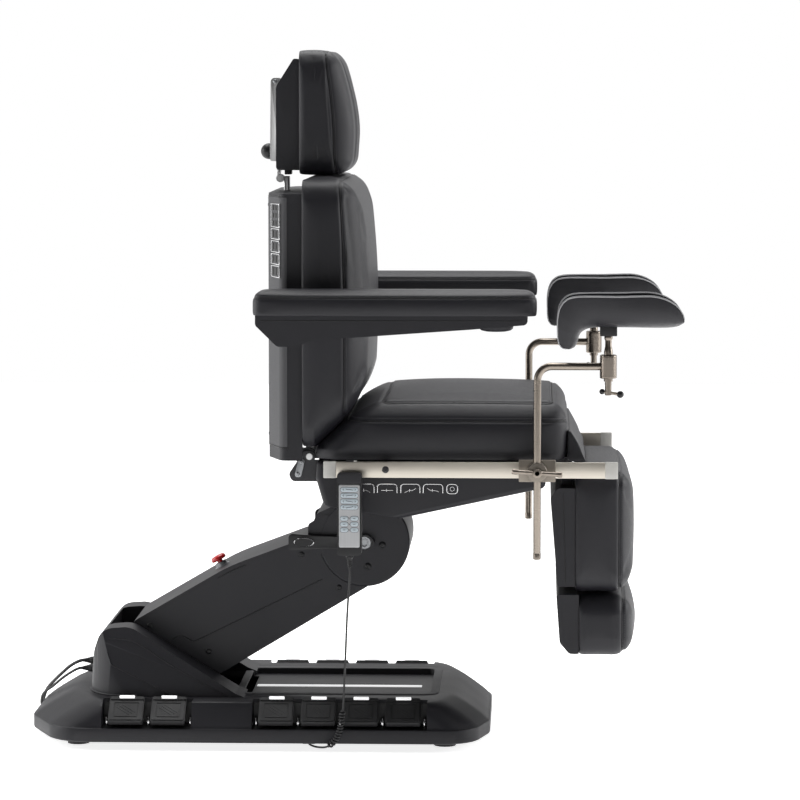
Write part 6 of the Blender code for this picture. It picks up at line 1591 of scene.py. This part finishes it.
def make_seat_shell():
    front = SEAT_FRONT - 0.054
    front_top = LEG_AXIS.z - 0.0118
    outer = [
        (SEAT_REAR + 0.002, SEAT_Z - 0.002), (SEAT_REAR, SEAT_Z - 0.040),
        (SEAT_REAR + 0.018, SEAT_Z - 0.102), (SEAT_REAR + 0.182, SEAT_Z - 0.128),
        (front, SEAT_Z - 0.061), (front, front_top), (front - 0.040, front_top),
        (front - 0.040, SEAT_Z - 0.002),
    ]
    shell = soft_plate(outer, "Y", -SHELL_HALF, SHELL_HALF, 0.016, 6, 60)
    inner = [(SEAT_REAR + 0.006, SEAT_Z + 0.02), (SEAT_REAR + 0.004, SEAT_Z - 0.040)]
    inner += [(SEAT_REAR + 0.022, SEAT_Z - 0.098), (SEAT_REAR + 0.182, SEAT_Z - 0.124)]
    inner += [(front - 0.004, SEAT_Z - 0.057), (front - 0.004, SEAT_Z + 0.02)]
    shell.cut(plate([inner], "Y", -0.276, 0.276))
    mouth = rounded_box(SEAT_REAR + 0.008, UPPER_PIVOT.x + 0.100, -0.141, 0.141, 0.03)
    shell.cut(plate([mouth], "Z", 0.48, 0.5857))
    for side in (NEAR, FAR):
        span = sided(side, 0.230, 0.242)
        low = (SEAT_REAR - 0.03, span[0], SEAT_Z - 0.075)
        shell.cut(block(low, (SEAT_REAR + 0.03, span[1], SEAT_Z + 0.02)))
    mesh = shell.soften(0.0010, 2, 50).mesh()
    piece("seat_moulding", mesh, PLASTIC, "seat", ["seat_shell"], MOULDED_EDGE)
    frames = ((0.010, 0.0515), (0.0585, 0.1005), (0.1085, 0.1495), (0.1565, 0.1985), (0.2070, 0.2300))
    high = 0.5752
    low = 0.5560
    y = -0.2802
    outlines = []
    for index, (left, right) in enumerate(frames):
        arch = rounded([(left, low, 0), (left, high, 0.007), (right, high, 0.007), (right, low, 0)], 6)
        if index == 4:
            arch = rounded_box(left, right, low - 0.001, high, 0.007, 6)
            arch.append(arch[0])
        outlines.append([(x, y, z) for x, z in arch])
    piped("seat_pictogram_frames", outlines, 0.0011, CHROME, "seat")
    marks = []
    bends = ((0.35, -0.45), (0.0, 0.0), (-0.5, 0.45), (0.5, -0.25))
    for (left, right), (rear_lift, front_lift) in zip(frames, bends):
        centre = (left + right) / 2
        z = 0.5615
        reach = (right - left) * 0.30
        rear_end = (centre - reach, y, z + rear_lift * 0.010)
        front_end = (centre + reach, y, z + front_lift * 0.010)
        marks.append([rear_end, (centre - reach * 0.35, y, z), (centre + reach * 0.35, y, z), front_end])
        marks.append([(centre - reach * 0.12, y, z + 0.003), (centre - reach * 0.12, y, z - 0.003)])
    angles = np.linspace(0, 2 * pi, 20)
    marks.append([(0.2185 + 0.0044 * cos(a), y, 0.5650 + 0.0044 * sin(a)) for a in angles])
    piped("seat_pictograms", marks, 0.0007, CHROME, "seat")


make_seat_shell()

RAIL_SPACERS = (0.132, 0.400)

for word, side in SIDES.items():
    span = sided(side, 0.320, 0.330)
    low = (RAIL_REAR + 0.002, span[0], RAIL_Z - 0.017)
    rail = soft_block(low, (RAIL_FRONT - 0.002, span[1], RAIL_Z + 0.017), 0.0014, 3)
    spacers = []
    for along in RAIL_SPACERS:
        x = RAIL_REAR + along
        spacers.append(crossbar(x, RAIL_Z, side * 0.322, side * 0.2803, 0.012, 40))
    mesh = joined(rail.mesh(), *spacers)
    piece(f"rail_{word}", mesh, RAIL_STEEL, "seat", [f"side_rail_{word}"])
    caps = []
    wide = sided(side, 0.3192, 0.3308)
    for low, high in ((RAIL_REAR, RAIL_REAR + 0.027), (RAIL_FRONT - 0.027, RAIL_FRONT)):
        cap = soft_block((low, wide[0], RAIL_Z - 0.0178), (high, wide[1], RAIL_Z + 0.0178), 0.0016, 3)
        caps.append(cap.mesh())
    piece(f"rail_caps_{word}", joined(*caps), CAP_GREY, "seat")
    shown = RAIL_SPACERS if side == FAR else RAIL_SPACERS[:1]
    places = [(RAIL_REAR + along, side * 0.3296, RAIL_Z + 0.0005) for along in shown]
    screws(f"rail_screws_{word}", places, 0.0078, FRAME_PAINT, "seat", word)
    span = sided(side, 0.321, 0.329)
    tab = soft_block((0.0085, span[0], RAIL_Z + 0.0165), (0.0165, span[1], RAIL_Z + 0.0195), 0.0006, 2)
    piece(f"rail_tab_{word}", tab.mesh(), CAP_GREY, "seat")


KEY_Y = -0.3602
RIM_Y = -0.3606
MARK_Y = -0.3615


def key_mesh(half_wide, half_tall, corner):
    outline = rounded_box(-half_wide, half_wide, -half_tall, half_tall, corner)
    return soft_plate(outline, "Y", -0.0011, 0.0004, 0.0004, 2).mesh()


def key_rim(x, z, half_wide, half_tall, corner):
    outline = rounded_box(-half_wide, half_wide, -half_tall, half_tall, corner, 6)
    return [(x + across, RIM_Y, z + up) for across, up in outline]


def make_handset():
    x = HANDSET_X
    low = HANDSET_TOP - 0.1755
    case = soft_plate(
        rounded_box(x - 0.026, x + 0.026, low, HANDSET_TOP, 0.008), "Y", -0.360, -0.336, 0.004, 4, 50
    )
    bed = rounded_box(x - 0.0222, x + 0.0222, low + 0.018, HANDSET_TOP - 0.0235, 0.003)
    case.cut(plate([bed], "Y", -0.37, -0.3592))
    hook = [
        block((x - 0.009, -0.339, 0.5904), (x + 0.009, -0.3167, 0.5934)),
        block((x - 0.009, -0.3197, 0.5904), (x + 0.009, -0.3167, 0.6307)),
        block((x - 0.0081, -0.330, 0.6280), (x + 0.0081, -0.3167, 0.6310)),
    ]
    hook_mesh = Solid(hook[0]).fuse(hook[1], hook[2]).soften(0.0008, 2).mesh()
    relief = [(0, 0.004), (0.0078, 0.004), (0.0082, -0.004), (0.0062, -0.007)]
    for rib in range(5):
        z = -0.008 - rib * 0.0038
        width = 0.0060 - rib * 0.0005
        root = width - 0.0013
        relief += [(width, z), (width, z - 0.0020), (root, z - 0.0024), (root, z - 0.0034)]
    relief += [(0.0026, -0.028), (0, -0.028)]
    stub = turned(relief, (x, -0.348, low), (0, 0, 1), 32)
    mesh = joined(case.mesh(), hook_mesh, stub)
    piece("handset_case", mesh, BLACK, "seat", ["handset"], 36)
    panel = rounded_box(x - 0.0220, x + 0.0220, low + 0.0182, HANDSET_TOP - 0.0237, 0.003)
    piece("handset_panel", soft_plate(panel, "Y", -0.3602, -0.3588, 0.0004, 2).mesh(), SILVER, "seat")
    cap = rounded_box(x - 0.0262, x + 0.0262, HANDSET_TOP - 0.021, HANDSET_TOP + 0.001, 0.007)
    cap_mesh = soft_plate(cap, "Y", -0.3608, -0.3352, 0.004, 4, 50).mesh()
    piece("handset_top_cap", cap_mesh, PLASTIC, "seat")
    wide = key_mesh(0.0185, 0.0048, 0.0046)
    rows = [HANDSET_TOP - 0.0340 - 0.0125 * step for step in range(4)]
    repeated("handset_wide_keys", [(x, KEY_Y, z) for z in rows], wide, KEYS, "seat")
    small = key_mesh(0.0082, 0.0046, 0.0044)
    pair_rows = [HANDSET_TOP - 0.0955 - 0.0122 * step for step in range(3)]
    places = [(x + shift, KEY_Y, z) for z in pair_rows for shift in (-0.0108, 0.0108)]
    repeated("handset_paired_keys", places, small, KEYS, "seat")
    rings = [key_rim(x, z, 0.0188, 0.0051, 0.0048) for z in rows]
    rings += [key_rim(key_x, z, 0.0085, 0.0049, 0.0046) for key_x, _, z in places]
    piped("handset_key_rims", rings, 0.00045, GLYPH, "seat", True)
    glyphs = []
    for index, z in enumerate(rows):
        lift = (0.0012, -0.0012, 0.0018, -0.0018)[index]
        stroke = ((-0.007, lift), (-0.002, 0), (0.003, 0), (0.008, -lift))
        glyphs.append([(x + along, MARK_Y, z + up) for along, up in stroke])
        for end in (-0.0135, 0.0135):
            tip = 0.0018 if end > 0 else -0.0018
            arrow = ((-tip, 0.0017), (0, 0), (-tip, -0.0017))
            glyphs.append([(x + end + along, MARK_Y, z + up) for along, up in arrow])
    for z in pair_rows:
        glyphs.append([(x - 0.0008, RIM_Y, z + 0.0016), (x + 0.0008, RIM_Y, z - 0.0016)])
        glyphs.append([(x - 0.0132, MARK_Y, z), (x - 0.0084, MARK_Y, z)])
        glyphs.append([(x + 0.0084, MARK_Y, z), (x + 0.0132, MARK_Y, z)])
    piped("handset_key_marks", glyphs, 0.0005, GLYPH, "seat")


make_handset()

# Seat front apron over the leg hinge
apron_rows = []
for index in range(97):
    y = -0.274 + 0.548 * index / 96
    row = []
    for step in range(25):
        share = step / 24
        wave = 0.0014 * sin(y * 44 + 1.2 * sin(y * 17)) * sin(pi * share) ** 0.5
        out = 0.4700 + 0.016 * sin(pi * min(1, share * 1.6) / 2) + 0.0185 * share**2.2 + wave
        row.append((out, y, 0.690 - 0.067 * share))
    row += [(0.4640, y, 0.623 + 0.067 * step / 6) for step in range(7)]
    apron_rows.append(row)
apron = piece("seat_front_apron", finer(skin(apron_rows)), VINYL, "seat", sharp=50)
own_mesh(apron)


# Back shell with its control panel

BACK_REAR = -0.1794
BACK_FRONT = -0.1024
BACK_LOW = 0.6242
BACK_HIGH = 1.1942


def back_plan(inset):
    side = SHELL_HALF - inset
    rear_half = 0.190 - inset * 0.4
    rear = BACK_REAR + inset
    knee = rear + 0.032
    return [
        (rear, -rear_half, 0.030), (knee, -side, 0.020), (BACK_FRONT, -side, 0),
        (BACK_FRONT, side, 0), (knee, side, 0.020), (rear, rear_half, 0.030),
    ]


def around_back(inset):
    """The outline's run from the near side edge round the rear to the far side edge."""
    outline = rounded(back_plan(inset), 12)
    return outline[25::-1] + outline[:27:-1]


def on_chamfer(share, z, lift):
    """A place on the near slanted panel, share 0 at its rear edge and 1 at its side edge."""
    start = Vector((BACK_REAR, -0.190, z))
    end = Vector((BACK_REAR + 0.032, -0.280, z))
    out = Vector((end.y - start.y, start.x - end.x, 0)).normalized()
    return start.lerp(end, share) + out * lift


def make_back_shell():
    shell = soft_plate(rounded(back_plan(0), 12), "Z", BACK_LOW, BACK_HIGH, 0.006, 4, 60)
    inner = back_plan(0.004)
    inner[2] = (BACK_FRONT + 0.02, inner[2][1], 0)
    inner[3] = (BACK_FRONT + 0.02, inner[3][1], 0)
    shell.cut(plate([rounded(inner, 12)], "Z", BACK_LOW - 0.02, BACK_HIGH - 0.004))
    shell.cut(block((-0.1589, -0.0208, BACK_HIGH - 0.02), (-0.1463, 0.0208, BACK_HIGH + 0.02)))
    shell.cut(crossbar(ARM_PIVOT.x, ARM_PIVOT.z, -0.4, 0.4, 0.0094))
    mesh = shell.soften(0.0008, 2, 50).mesh()
    piece("back_moulding", mesh, PLASTIC, "back", ["back_shell"], MOULDED_EDGE)
    rows = []
    for grow, z in ((-0.0010, 0.652), (0.0010, 0.6535), (0.0010, 1.1865), (-0.0010, 1.188)):
        rows.append([Vector((x, y, z)) for x, y in around_back(-grow)])
    piece("back_panel", open_skin(rows), PALE_PLASTIC, "back")
    pads = ((1.1228, 1.1719), (1.0972, 1.1186), (1.0695, 1.0929), (1.0438, 1.0652), (1.0161, 1.0396))
    outlines = []
    keys = []
    for low, high in pads:
        outlines.append([on_chamfer(a, z, 0.0016) for a, z in rounded_box(0.30, 0.95, low, high, 0.004, 6)])
        count = 3 if high - low > 0.03 else 1
        for row in range(count):
            middle = low + (high - low) * (row + 0.5) / count
            tall = (high - low) / count * 0.30
            for left in (0.345, 0.55, 0.755):
                key = rounded_box(left, left + 0.15, middle - tall, middle + tall, 0.003, 4)
                keys.append([on_chamfer(a, z, 0.0018) for a, z in key])
    piped("back_keypad_frames", outlines, 0.0012, CHROME, "back", True)
    shape = bmesh.new()
    for outline in keys:
        shape.faces.new([shape.verts.new(place) for place in outline])
    piece("back_keypad_keys", thickened(shape_mesh(shape), 0.0016), BLACK, "back")
    seams = [[(x, y, z) for x, y in around_back(-0.0004)] for z in (0.6515, 1.1885)]
    piped("back_panel_seams", seams, 0.0009, BLACK, "back")
    places = [(BACK_REAR - 0.0008, y, z) for z in (0.672, 1.168) for y in (-0.165, 0.165)]
    screws("back_panel_screws", places, 0.0055, BLACK, "back", "rear")


make_back_shell()


# Headrest

HEAD_PIVOT = Vector((-0.16714, 0, 1.2202))
KNOB_Z = 1.2792
PLATE_REAR = -0.17314


def make_head():
    post = soft_block((-0.15814, -0.020, 0.9702), (-0.14714, 0.020, 1.2242), 0.0022, 3).mesh()
    eye = crossbar(HEAD_PIVOT.x, HEAD_PIVOT.z, -0.009, 0.009, 0.009)
    low = (HEAD_PIVOT.x, -0.009, HEAD_PIVOT.z - 0.0045)
    knuckle = block(low, (-0.1475, 0.009, HEAD_PIVOT.z + 0.0045))
    pin = crossbar(HEAD_PIVOT.x, HEAD_PIVOT.z, -0.024, 0.024, 0.0045)
    mesh = joined(post, eye, knuckle, pin)
    piece("head_upright", mesh, PLATE_STEEL, "post", ["head_post"])
    outline = rounded_box(-0.030, 0.030, 1.2328, 1.4288, 0.006)
    back_plate = Solid(plate([outline, ring((0, KNOB_Z), 0.0064)], "X", PLATE_REAR, -0.16714))
    parts = [back_plate.soften(0.0010, 3, 50).mesh()]
    hub = (HEAD_PIVOT.x, HEAD_PIVOT.z)
    for side in (NEAR, FAR):
        span = sided(side, 0.0093, 0.023)
        parts.append(plate([ring(hub, 0.0081), ring(hub, 0.0049)], "Y", *span))
        low = (PLATE_REAR + 0.0005, span[0], HEAD_PIVOT.z + 0.00675)
        parts.append(block(low, (-0.16764, span[1], 1.2428)))
        flange = [
            (-0.1675, 1.2580, 0), (-0.1880, 1.2580, 0.005), (-0.1860, 1.4400, 0.009),
            (-0.1675, 1.4400, 0.004),
        ]
        parts.append(soft_plate(rounded(flange, 6), "Y", *sided(side, 0.0275, 0.0305), 0.0006, 2).mesh())
    piece("head_back_plate", joined(*parts), PLATE_STEEL, "head", ["head_plate"])
    for word, side in SIDES.items():
        places = [(-0.1765, side * 0.0304, 1.4330)]
        screws(f"head_bracket_bolt_{word}", places, 0.0050, LINK_GREY, "head", word)
    bumper = soft_block((-0.1570, -0.019, 1.2285), (-0.1420, 0.019, 1.2413), 0.002, 3)
    piece("head_bumper", bumper.mesh(), BLACK, "head")
    places = [(PLATE_REAR - 0.0004, y, z) for y, z in ((0.0, 1.412), (0.0, 1.345))]
    screws("head_plate_screws", places, 0.0068, NICKEL, "head", "rear")
    rear = -0.16684
    front = -0.11684
    profile = [
        (front, 1.2412, 0), (front, 1.4812, 0.006), (front - 0.012, 1.4812, 0.006),
        (rear, 1.4212, 0.020), (rear, 1.2412, 0.008),
    ]
    shell = soft_plate(rounded(profile, 10), "Y", -0.14, 0.14, 0.007, 5, 60)
    shell.cut(bar((rear - 0.01, 0, KNOB_Z), (rear + 0.02, 0, KNOB_Z), 0.0064))
    piece("head_moulding", shell.mesh(), PLASTIC, "head", ["head_shell"])
    knob = [(0, 0.037)]
    for step in range(1, 15):
        angle = pi * step / 17
        knob.append((0.0175 * sin(angle), 0.002 + 0.0175 * (1 + cos(angle))))
    knob += [(0.009, 0.002), (0.009, 0.0003), (0.006, 0.0003), (0.006, -0.018), (0, -0.018)]
    mesh = turned(knob, (PLATE_REAR, 0, KNOB_Z), (-1, 0, 0), 48)
    piece("head_ball_knob", mesh, BLACK, "knob", ["head_knob"])
    seam = [(PLATE_REAR - 0.0195, y, z) for y, z in ring((0, KNOB_Z), 0.0174)]
    piped("head_knob_seam", [seam], 0.0004, BLACK, "knob", True)


make_head()


# Armrest shells and back links


def make_armrest_shell(word):
    side = SIDES[word]
    top = 0.9427
    rear = -0.1931
    front = 0.3789
    low = top - 0.033
    wedge = low - 0.032
    profile = [
        (front, top, 0), (rear, top, 0), (rear, top - 0.020, 0.010),
        (ARM_PIVOT.x - 0.026, wedge, 0.014), (ARM_PIVOT.x + 0.018, wedge, 0.020),
        (ARM_PIVOT.x + 0.040, wedge + 0.013, 0.060), (front - 0.12, low + 0.005, 0.100),
        (front, low + 0.015, 0.010),
    ]
    shell = soft_plate(rounded(profile, 10), "Y", *sided(side, 0.321, 0.404), 0.006, 4, 50)
    mesh = joined(
        shell.mesh(),
        crossbar(ARM_PIVOT.x, ARM_PIVOT.z, side * 0.335, side * 0.2803, 0.0165, 48),
        crossbar(ARM_PIVOT.x, ARM_PIVOT.z, side * 0.335, side * 0.2603, 0.009, 40),
    )
    body = f"armrest_{word}"
    piece(f"armrest_moulding_{word}", mesh, PLASTIC, body, [f"armrest_shell_{word}"])
    grip = [
        (0, 0.0085), (0.022, 0.0080), (0.031, 0.0060), (0.0355, 0.0025), (0.0365, -0.002), (0.0365, -0.010),
        (0, -0.010),
    ]
    disc = turned(grip, (0.3125, side * 0.3625, 0.9170), (0, 0, -1))
    piece(f"armrest_disc_{word}", disc, PLASTIC, body)
    y = side * 0.4041
    line = [(rear + 0.012, y, top - 0.010), (front - 0.014, y, top - 0.010)]
    piped(f"armrest_seam_{word}", [line], 0.0008, BLACK, body)
    span = sided(side, 0.2403, 0.2455)
    link = [
        (-0.1225, 0.5850, 0.006), (-0.1075, 0.5850, 0.006), (-0.0990, 0.6230, 0.006),
        (-0.1120, 0.6260, 0.006),
    ]
    strap = soft_plate(rounded(link, 6), "Y", *span, 0.0008, 2)
    piece(f"back_link_{word}", strap.mesh(), LINK_GREY, "seat")
    places = [(-0.1148, side * 0.2452, 0.5925), (-0.1058, side * 0.2452, 0.6180)]
    screws(f"back_link_screws_{word}", places, 0.0048, LINK_GREY, "seat", word)


for word in SIDES:
    make_armrest_shell(word)


# Leg rest and foot rest shells


def make_leg_shell():
    profile = [
        (0.4821, 0.354, 0), (0.4821, 0.566, 0), (0.4420, 0.566, 0.016), (0.4285, 0.545, 0.020),
        (0.4440, 0.354, 0.006),
    ]
    shell = soft_plate(rounded(profile, 10), "Y", -LEG_HALF, LEG_HALF, 0.008, 5, 50)
    for side in (NEAR, FAR):
        shell.cut(bar((0.4656, side * 0.13, 0.34), (0.4656, side * 0.13, 0.51), 0.0064))
    parts = [shell.mesh()]
    ear = 0.0115
    lug = [
        (LEG_AXIS.x - ear, LEG_AXIS.z + ear, ear * 0.95), (LEG_AXIS.x - ear, 0.536, 0),
        (LEG_AXIS.x + ear, 0.536, 0), (LEG_AXIS.x + ear, LEG_AXIS.z + ear, ear * 0.95),
    ]
    for side in (NEAR, FAR):
        parts.append(soft_plate(rounded(lug, 10), "Y", *sided(side, 0.190, 0.200), 0.0008, 2).mesh())
    parts.append(crossbar(LEG_AXIS.x, LEG_AXIS.z, -0.2123, 0.2123, 0.008))
    piece("leg_moulding", joined(*parts), PLASTIC, "leg", ["leg_shell"], MOULDED_EDGE)
    # The grooves on the leg shell are thin tubes of darker black plastic, which stand in as painted shade for
    # the grooves
    seams = [[(0.4610, side * 0.2699, 0.362), (0.4560, side * 0.2699, 0.556)] for side in (NEAR, FAR)]
    piped("leg_shell_seams", seams, 0.0010, BLACK, "leg")
    profile = [
        (0.4901, 0.2085, 0), (0.4901, 0.3365, 0), (0.4415, 0.3365, 0.005), (0.4490, 0.2325, 0.020),
        (0.4700, 0.2085, 0.010),
    ]
    foot = soft_plate(rounded(profile, 10), "Y", -LEG_HALF, LEG_HALF, 0.008, 5, 50)
    parts = [foot.mesh()]
    for side in (NEAR, FAR):
        parts.append(bar((0.4656, side * 0.13, 0.30), (0.4656, side * 0.13, 0.5065), 0.006))
    piece("foot_moulding", joined(*parts), PLASTIC, "foot", ["foot_shell"], MOULDED_EDGE)


make_leg_shell()


# Leg crutch clamps, rods and stems


def make_crutch(word):
    side = SIDES[word]
    x = CRUTCH_X[word]
    half = 0.0173
    section = [
        (side * 0.3423, RAIL_Z + half + 0.006), (side * 0.3233, RAIL_Z + half + 0.006),
        (side * 0.3233, RAIL_Z + half), (side * 0.3303, RAIL_Z + half),
        (side * 0.3303, RAIL_Z - half), (side * 0.3233, RAIL_Z - half),
        (side * 0.3233, RAIL_Z - half - 0.006), (side * 0.3423, RAIL_Z - half - 0.006),
    ]
    clamp = soft_plate(section, "X", x - 0.039, x + 0.039, 0.0016, 3, 50)
    boss = Solid(crossbar(x, RAIL_Z, side * 0.3383, side * 0.3733, 0.021, 64)).soften(0.0022, 3, 50).mesh()
    clamp.fuse(boss)
    clamp.cut(bar((x, side * ROD_Y, RAIL_Z - 0.08), (x, side * ROD_Y, RAIL_Z + 0.08), 0.0084))
    clamp.cut(crossbar(x, RAIL_Z, side * ROD_Y, side * 0.40, 0.0054))
    piece(f"clamp_{word}", clamp.mesh(), CLAMP_STEEL, f"clamp_{word}", [f"rail_clamp_{word}"])
    hub_start = 0.3736
    hub_end = 0.3916
    centre = Vector((x, side * (hub_start + hub_end) / 2, RAIL_Z))
    reach = Vector((cos(radians(3.5)), 0, -sin(radians(3.5)))) * 0.0535
    screw = Solid(crossbar(x, RAIL_Z, side * hub_start, side * hub_end, 0.010, 48)).soften(0.0014, 3, 50)
    parts = [screw.mesh(), crossbar(x, RAIL_Z, side * 0.3661, side * hub_end, 0.005)]
    handle = [
        (0, -0.0535), (0.0045, -0.0535), (0.0058, -0.0520), (0.0060, -0.0440), (0.0047, -0.0415),
        (0.0045, -0.038),
    ]
    handle += [(radius, -height) for radius, height in reversed(handle)]
    parts.append(turned(handle, centre, reach, 32))
    piece(f"t_screw_{word}", joined(*parts), NICKEL, f"screw_{word}", [f"clamp_screw_{word}"])
    y = side * ROD_Y
    barrel_x = x + BARREL_REACH
    points = [(x, y, RAIL_Z - ROD_DROP), (x, y, RAIL_Z + 0.05)]
    for step in range(17):
        angle = pi - (pi / 2) * step / 16
        points.append((x + 0.030 + 0.030 * cos(angle), y, ROD_TOP - 0.030 + 0.030 * sin(angle)))
    points.append((barrel_x - 0.010, y, ROD_TOP))
    rod = Solid(tube(points, 0.008, 8)).soften(0.0012, 2, 60).mesh()
    low = ROD_TOP - BARREL_HALF
    high = ROD_TOP + BARREL_HALF
    barrel = [
        (0.0074, low), (0.0158, low), (0.0178, low + 0.0014), (0.0180, low + 0.0040),
        (0.0174, low + 0.0044), (0.0174, low + 0.0052), (0.0180, low + 0.0056),
        (0.0180, high - 0.0056), (0.0174, high - 0.0052), (0.0174, high - 0.0044),
        (0.0180, high - 0.0040), (0.0178, high - 0.0014), (0.0158, high), (0.0074, high),
        (0.0074, low),
    ]
    mesh = joined(rod, turned(barrel, (barrel_x, y, 0), (0, 0, 1), 64))
    piece(f"rod_{word}", mesh, NICKEL, f"rod_{word}", [f"crutch_rod_{word}"])
    tip = [(0, -0.0006), (0.0062, -0.0006), (0.0082, 0.0010), (0.0084, 0.0120), (0.0081, 0.0130)]
    tip_mesh = turned(tip, (x, y, RAIL_Z - ROD_DROP), (0, 0, 1), 40)
    piece(f"rod_foot_{word}", tip_mesh, NICKEL, f"rod_{word}")
    ball_z = high + BALL_RISE
    stem = [(0, low - 0.036), (0.006, low - 0.036), (0.007, low - 0.035), (0.007, low - 0.0065)]
    stem += [(0.0094, low - 0.0063), (0.0094, low - 0.0003), (0.0069, low - 0.0003), (0.0069, high + 0.0003)]
    stem += [(0.0094, high + 0.0003), (0.0094, high + 0.0060), (0.0074, high + 0.0162)]
    stem += [(0.007, high + 0.017), (0.007, ball_z), (0, ball_z)]
    shaft = turned(stem, (barrel_x, y, 0), (0, 0, 1), 40)
    mesh = joined(shaft, ball((barrel_x, y, ball_z), 0.009))
    piece(f"stem_{word}", mesh, NICKEL, f"stem_{word}", [f"crutch_stem_{word}"])
    lever_centre = Vector((barrel_x, y, low - 0.030))
    lever = Vector((0.0255, 0, -0.004))
    rod_mesh = bar(lever_centre - lever * 0.5, lever_centre + lever, 0.0035, 24)
    piece(f"stem_lever_{word}", rod_mesh, NICKEL, f"stem_{word}")
    balls = joined(
        ball(lever_centre + lever, 0.0075),
        ball(lever_centre - lever * 0.5, 0.0060),
    )
    piece(f"stem_lever_balls_{word}", balls, BLACK, f"stem_{word}")


for word in SIDES:
    make_crutch(word)


# Inner steelwork keeps its own shape

INNER = {
    "base_frame": FRAME_PAINT,
    "lift_arm": FRAME_PAINT,
    "lower_pivot_pin": PLATE_STEEL,
    "seat_frame": FRAME_PAINT,
    "back_frame": FRAME_PAINT,
    "back_hinge_pin": PLATE_STEEL,
}
for name, material in INNER.items():
    inner = bpy.data.objects[name]
    inner.data.materials.clear()
    inner.data.materials.append(material)


# Floor, light and world

scene.view_settings.view_transform = "Standard"

floor_paint = Paint(
    "floor",
    (0.90, 0.90, 0.90),
    0.9,
    Specular_IOR_Level=0.05,
    Emission_Color=(1, 1, 1, 1),
    Emission_Strength=0.80,
)
floor_shape = bmesh.new()
below = Matrix.Translation((0, 0, -0.0005))
bmesh.ops.create_grid(floor_shape, x_segments=1, y_segments=1, size=9, matrix=below)
floor = bpy.data.objects.new("floor", shape_mesh(floor_shape))
floor.data.materials.append(floor_paint.material)
scene.collection.objects.link(floor)


def soft_light(name, place, target, wide, tall, power):
    light = bpy.data.lights.new(name, "AREA")
    light.shape = "RECTANGLE"
    light.size = wide
    light.size_y = tall
    light.energy = power
    made = bpy.data.objects.new(name, light)
    made.location = place
    made.rotation_euler = (Vector(target) - Vector(place)).to_track_quat("-Z", "Y").to_euler()
    scene.collection.objects.link(made)


soft_light("top_light", (0.1, 0.8, 4.2), (0.0, 0.0, 0.6), 4.0, 3.0, 165)
soft_light("front_light", (4.4, 0.4, 2.0), (0.1, 0.0, 0.8), 2.6, 2.6, 110)
soft_light("rear_light", (-4.4, 0.0, 1.7), (-0.1, 0.0, 0.8), 2.6, 2.6, 90)
soft_light("camera_light", (0.4, -6.5, 1.9), (0.0, 0.0, 0.7), 2.6, 1.2, 8)

world = bpy.data.worlds.new("studio")
scene.world = world
world.use_nodes = True
sky = Nodes(world.node_tree)
sky.tree.nodes.clear()
way = sky.node("ShaderNodeTexCoord", output="Generated")
sideways = sky.node("ShaderNodeSeparateXYZ", output="Y", Vector=way)
levels = {"From_Min": -0.45, "From_Max": 0.6, "To_Min": 0.06, "To_Max": 0.85}
glow = sky.node("ShaderNodeMapRange", output="Result", Value=sideways, **levels)
lit = sky.node("ShaderNodeBackground", Color=(1, 1, 1, 1), Strength=glow)
seen = sky.node("ShaderNodeBackground", Color=(1, 1, 1, 1), Strength=1.0)
to_camera = sky.node("ShaderNodeLightPath", output="Is Camera Ray")
mixed = sky.node("ShaderNodeMixShader", Fac=to_camera, i1=lit, i2=seen)
sky.feed(sky.tree.nodes.new("ShaderNodeOutputWorld").inputs["Surface"], mixed)
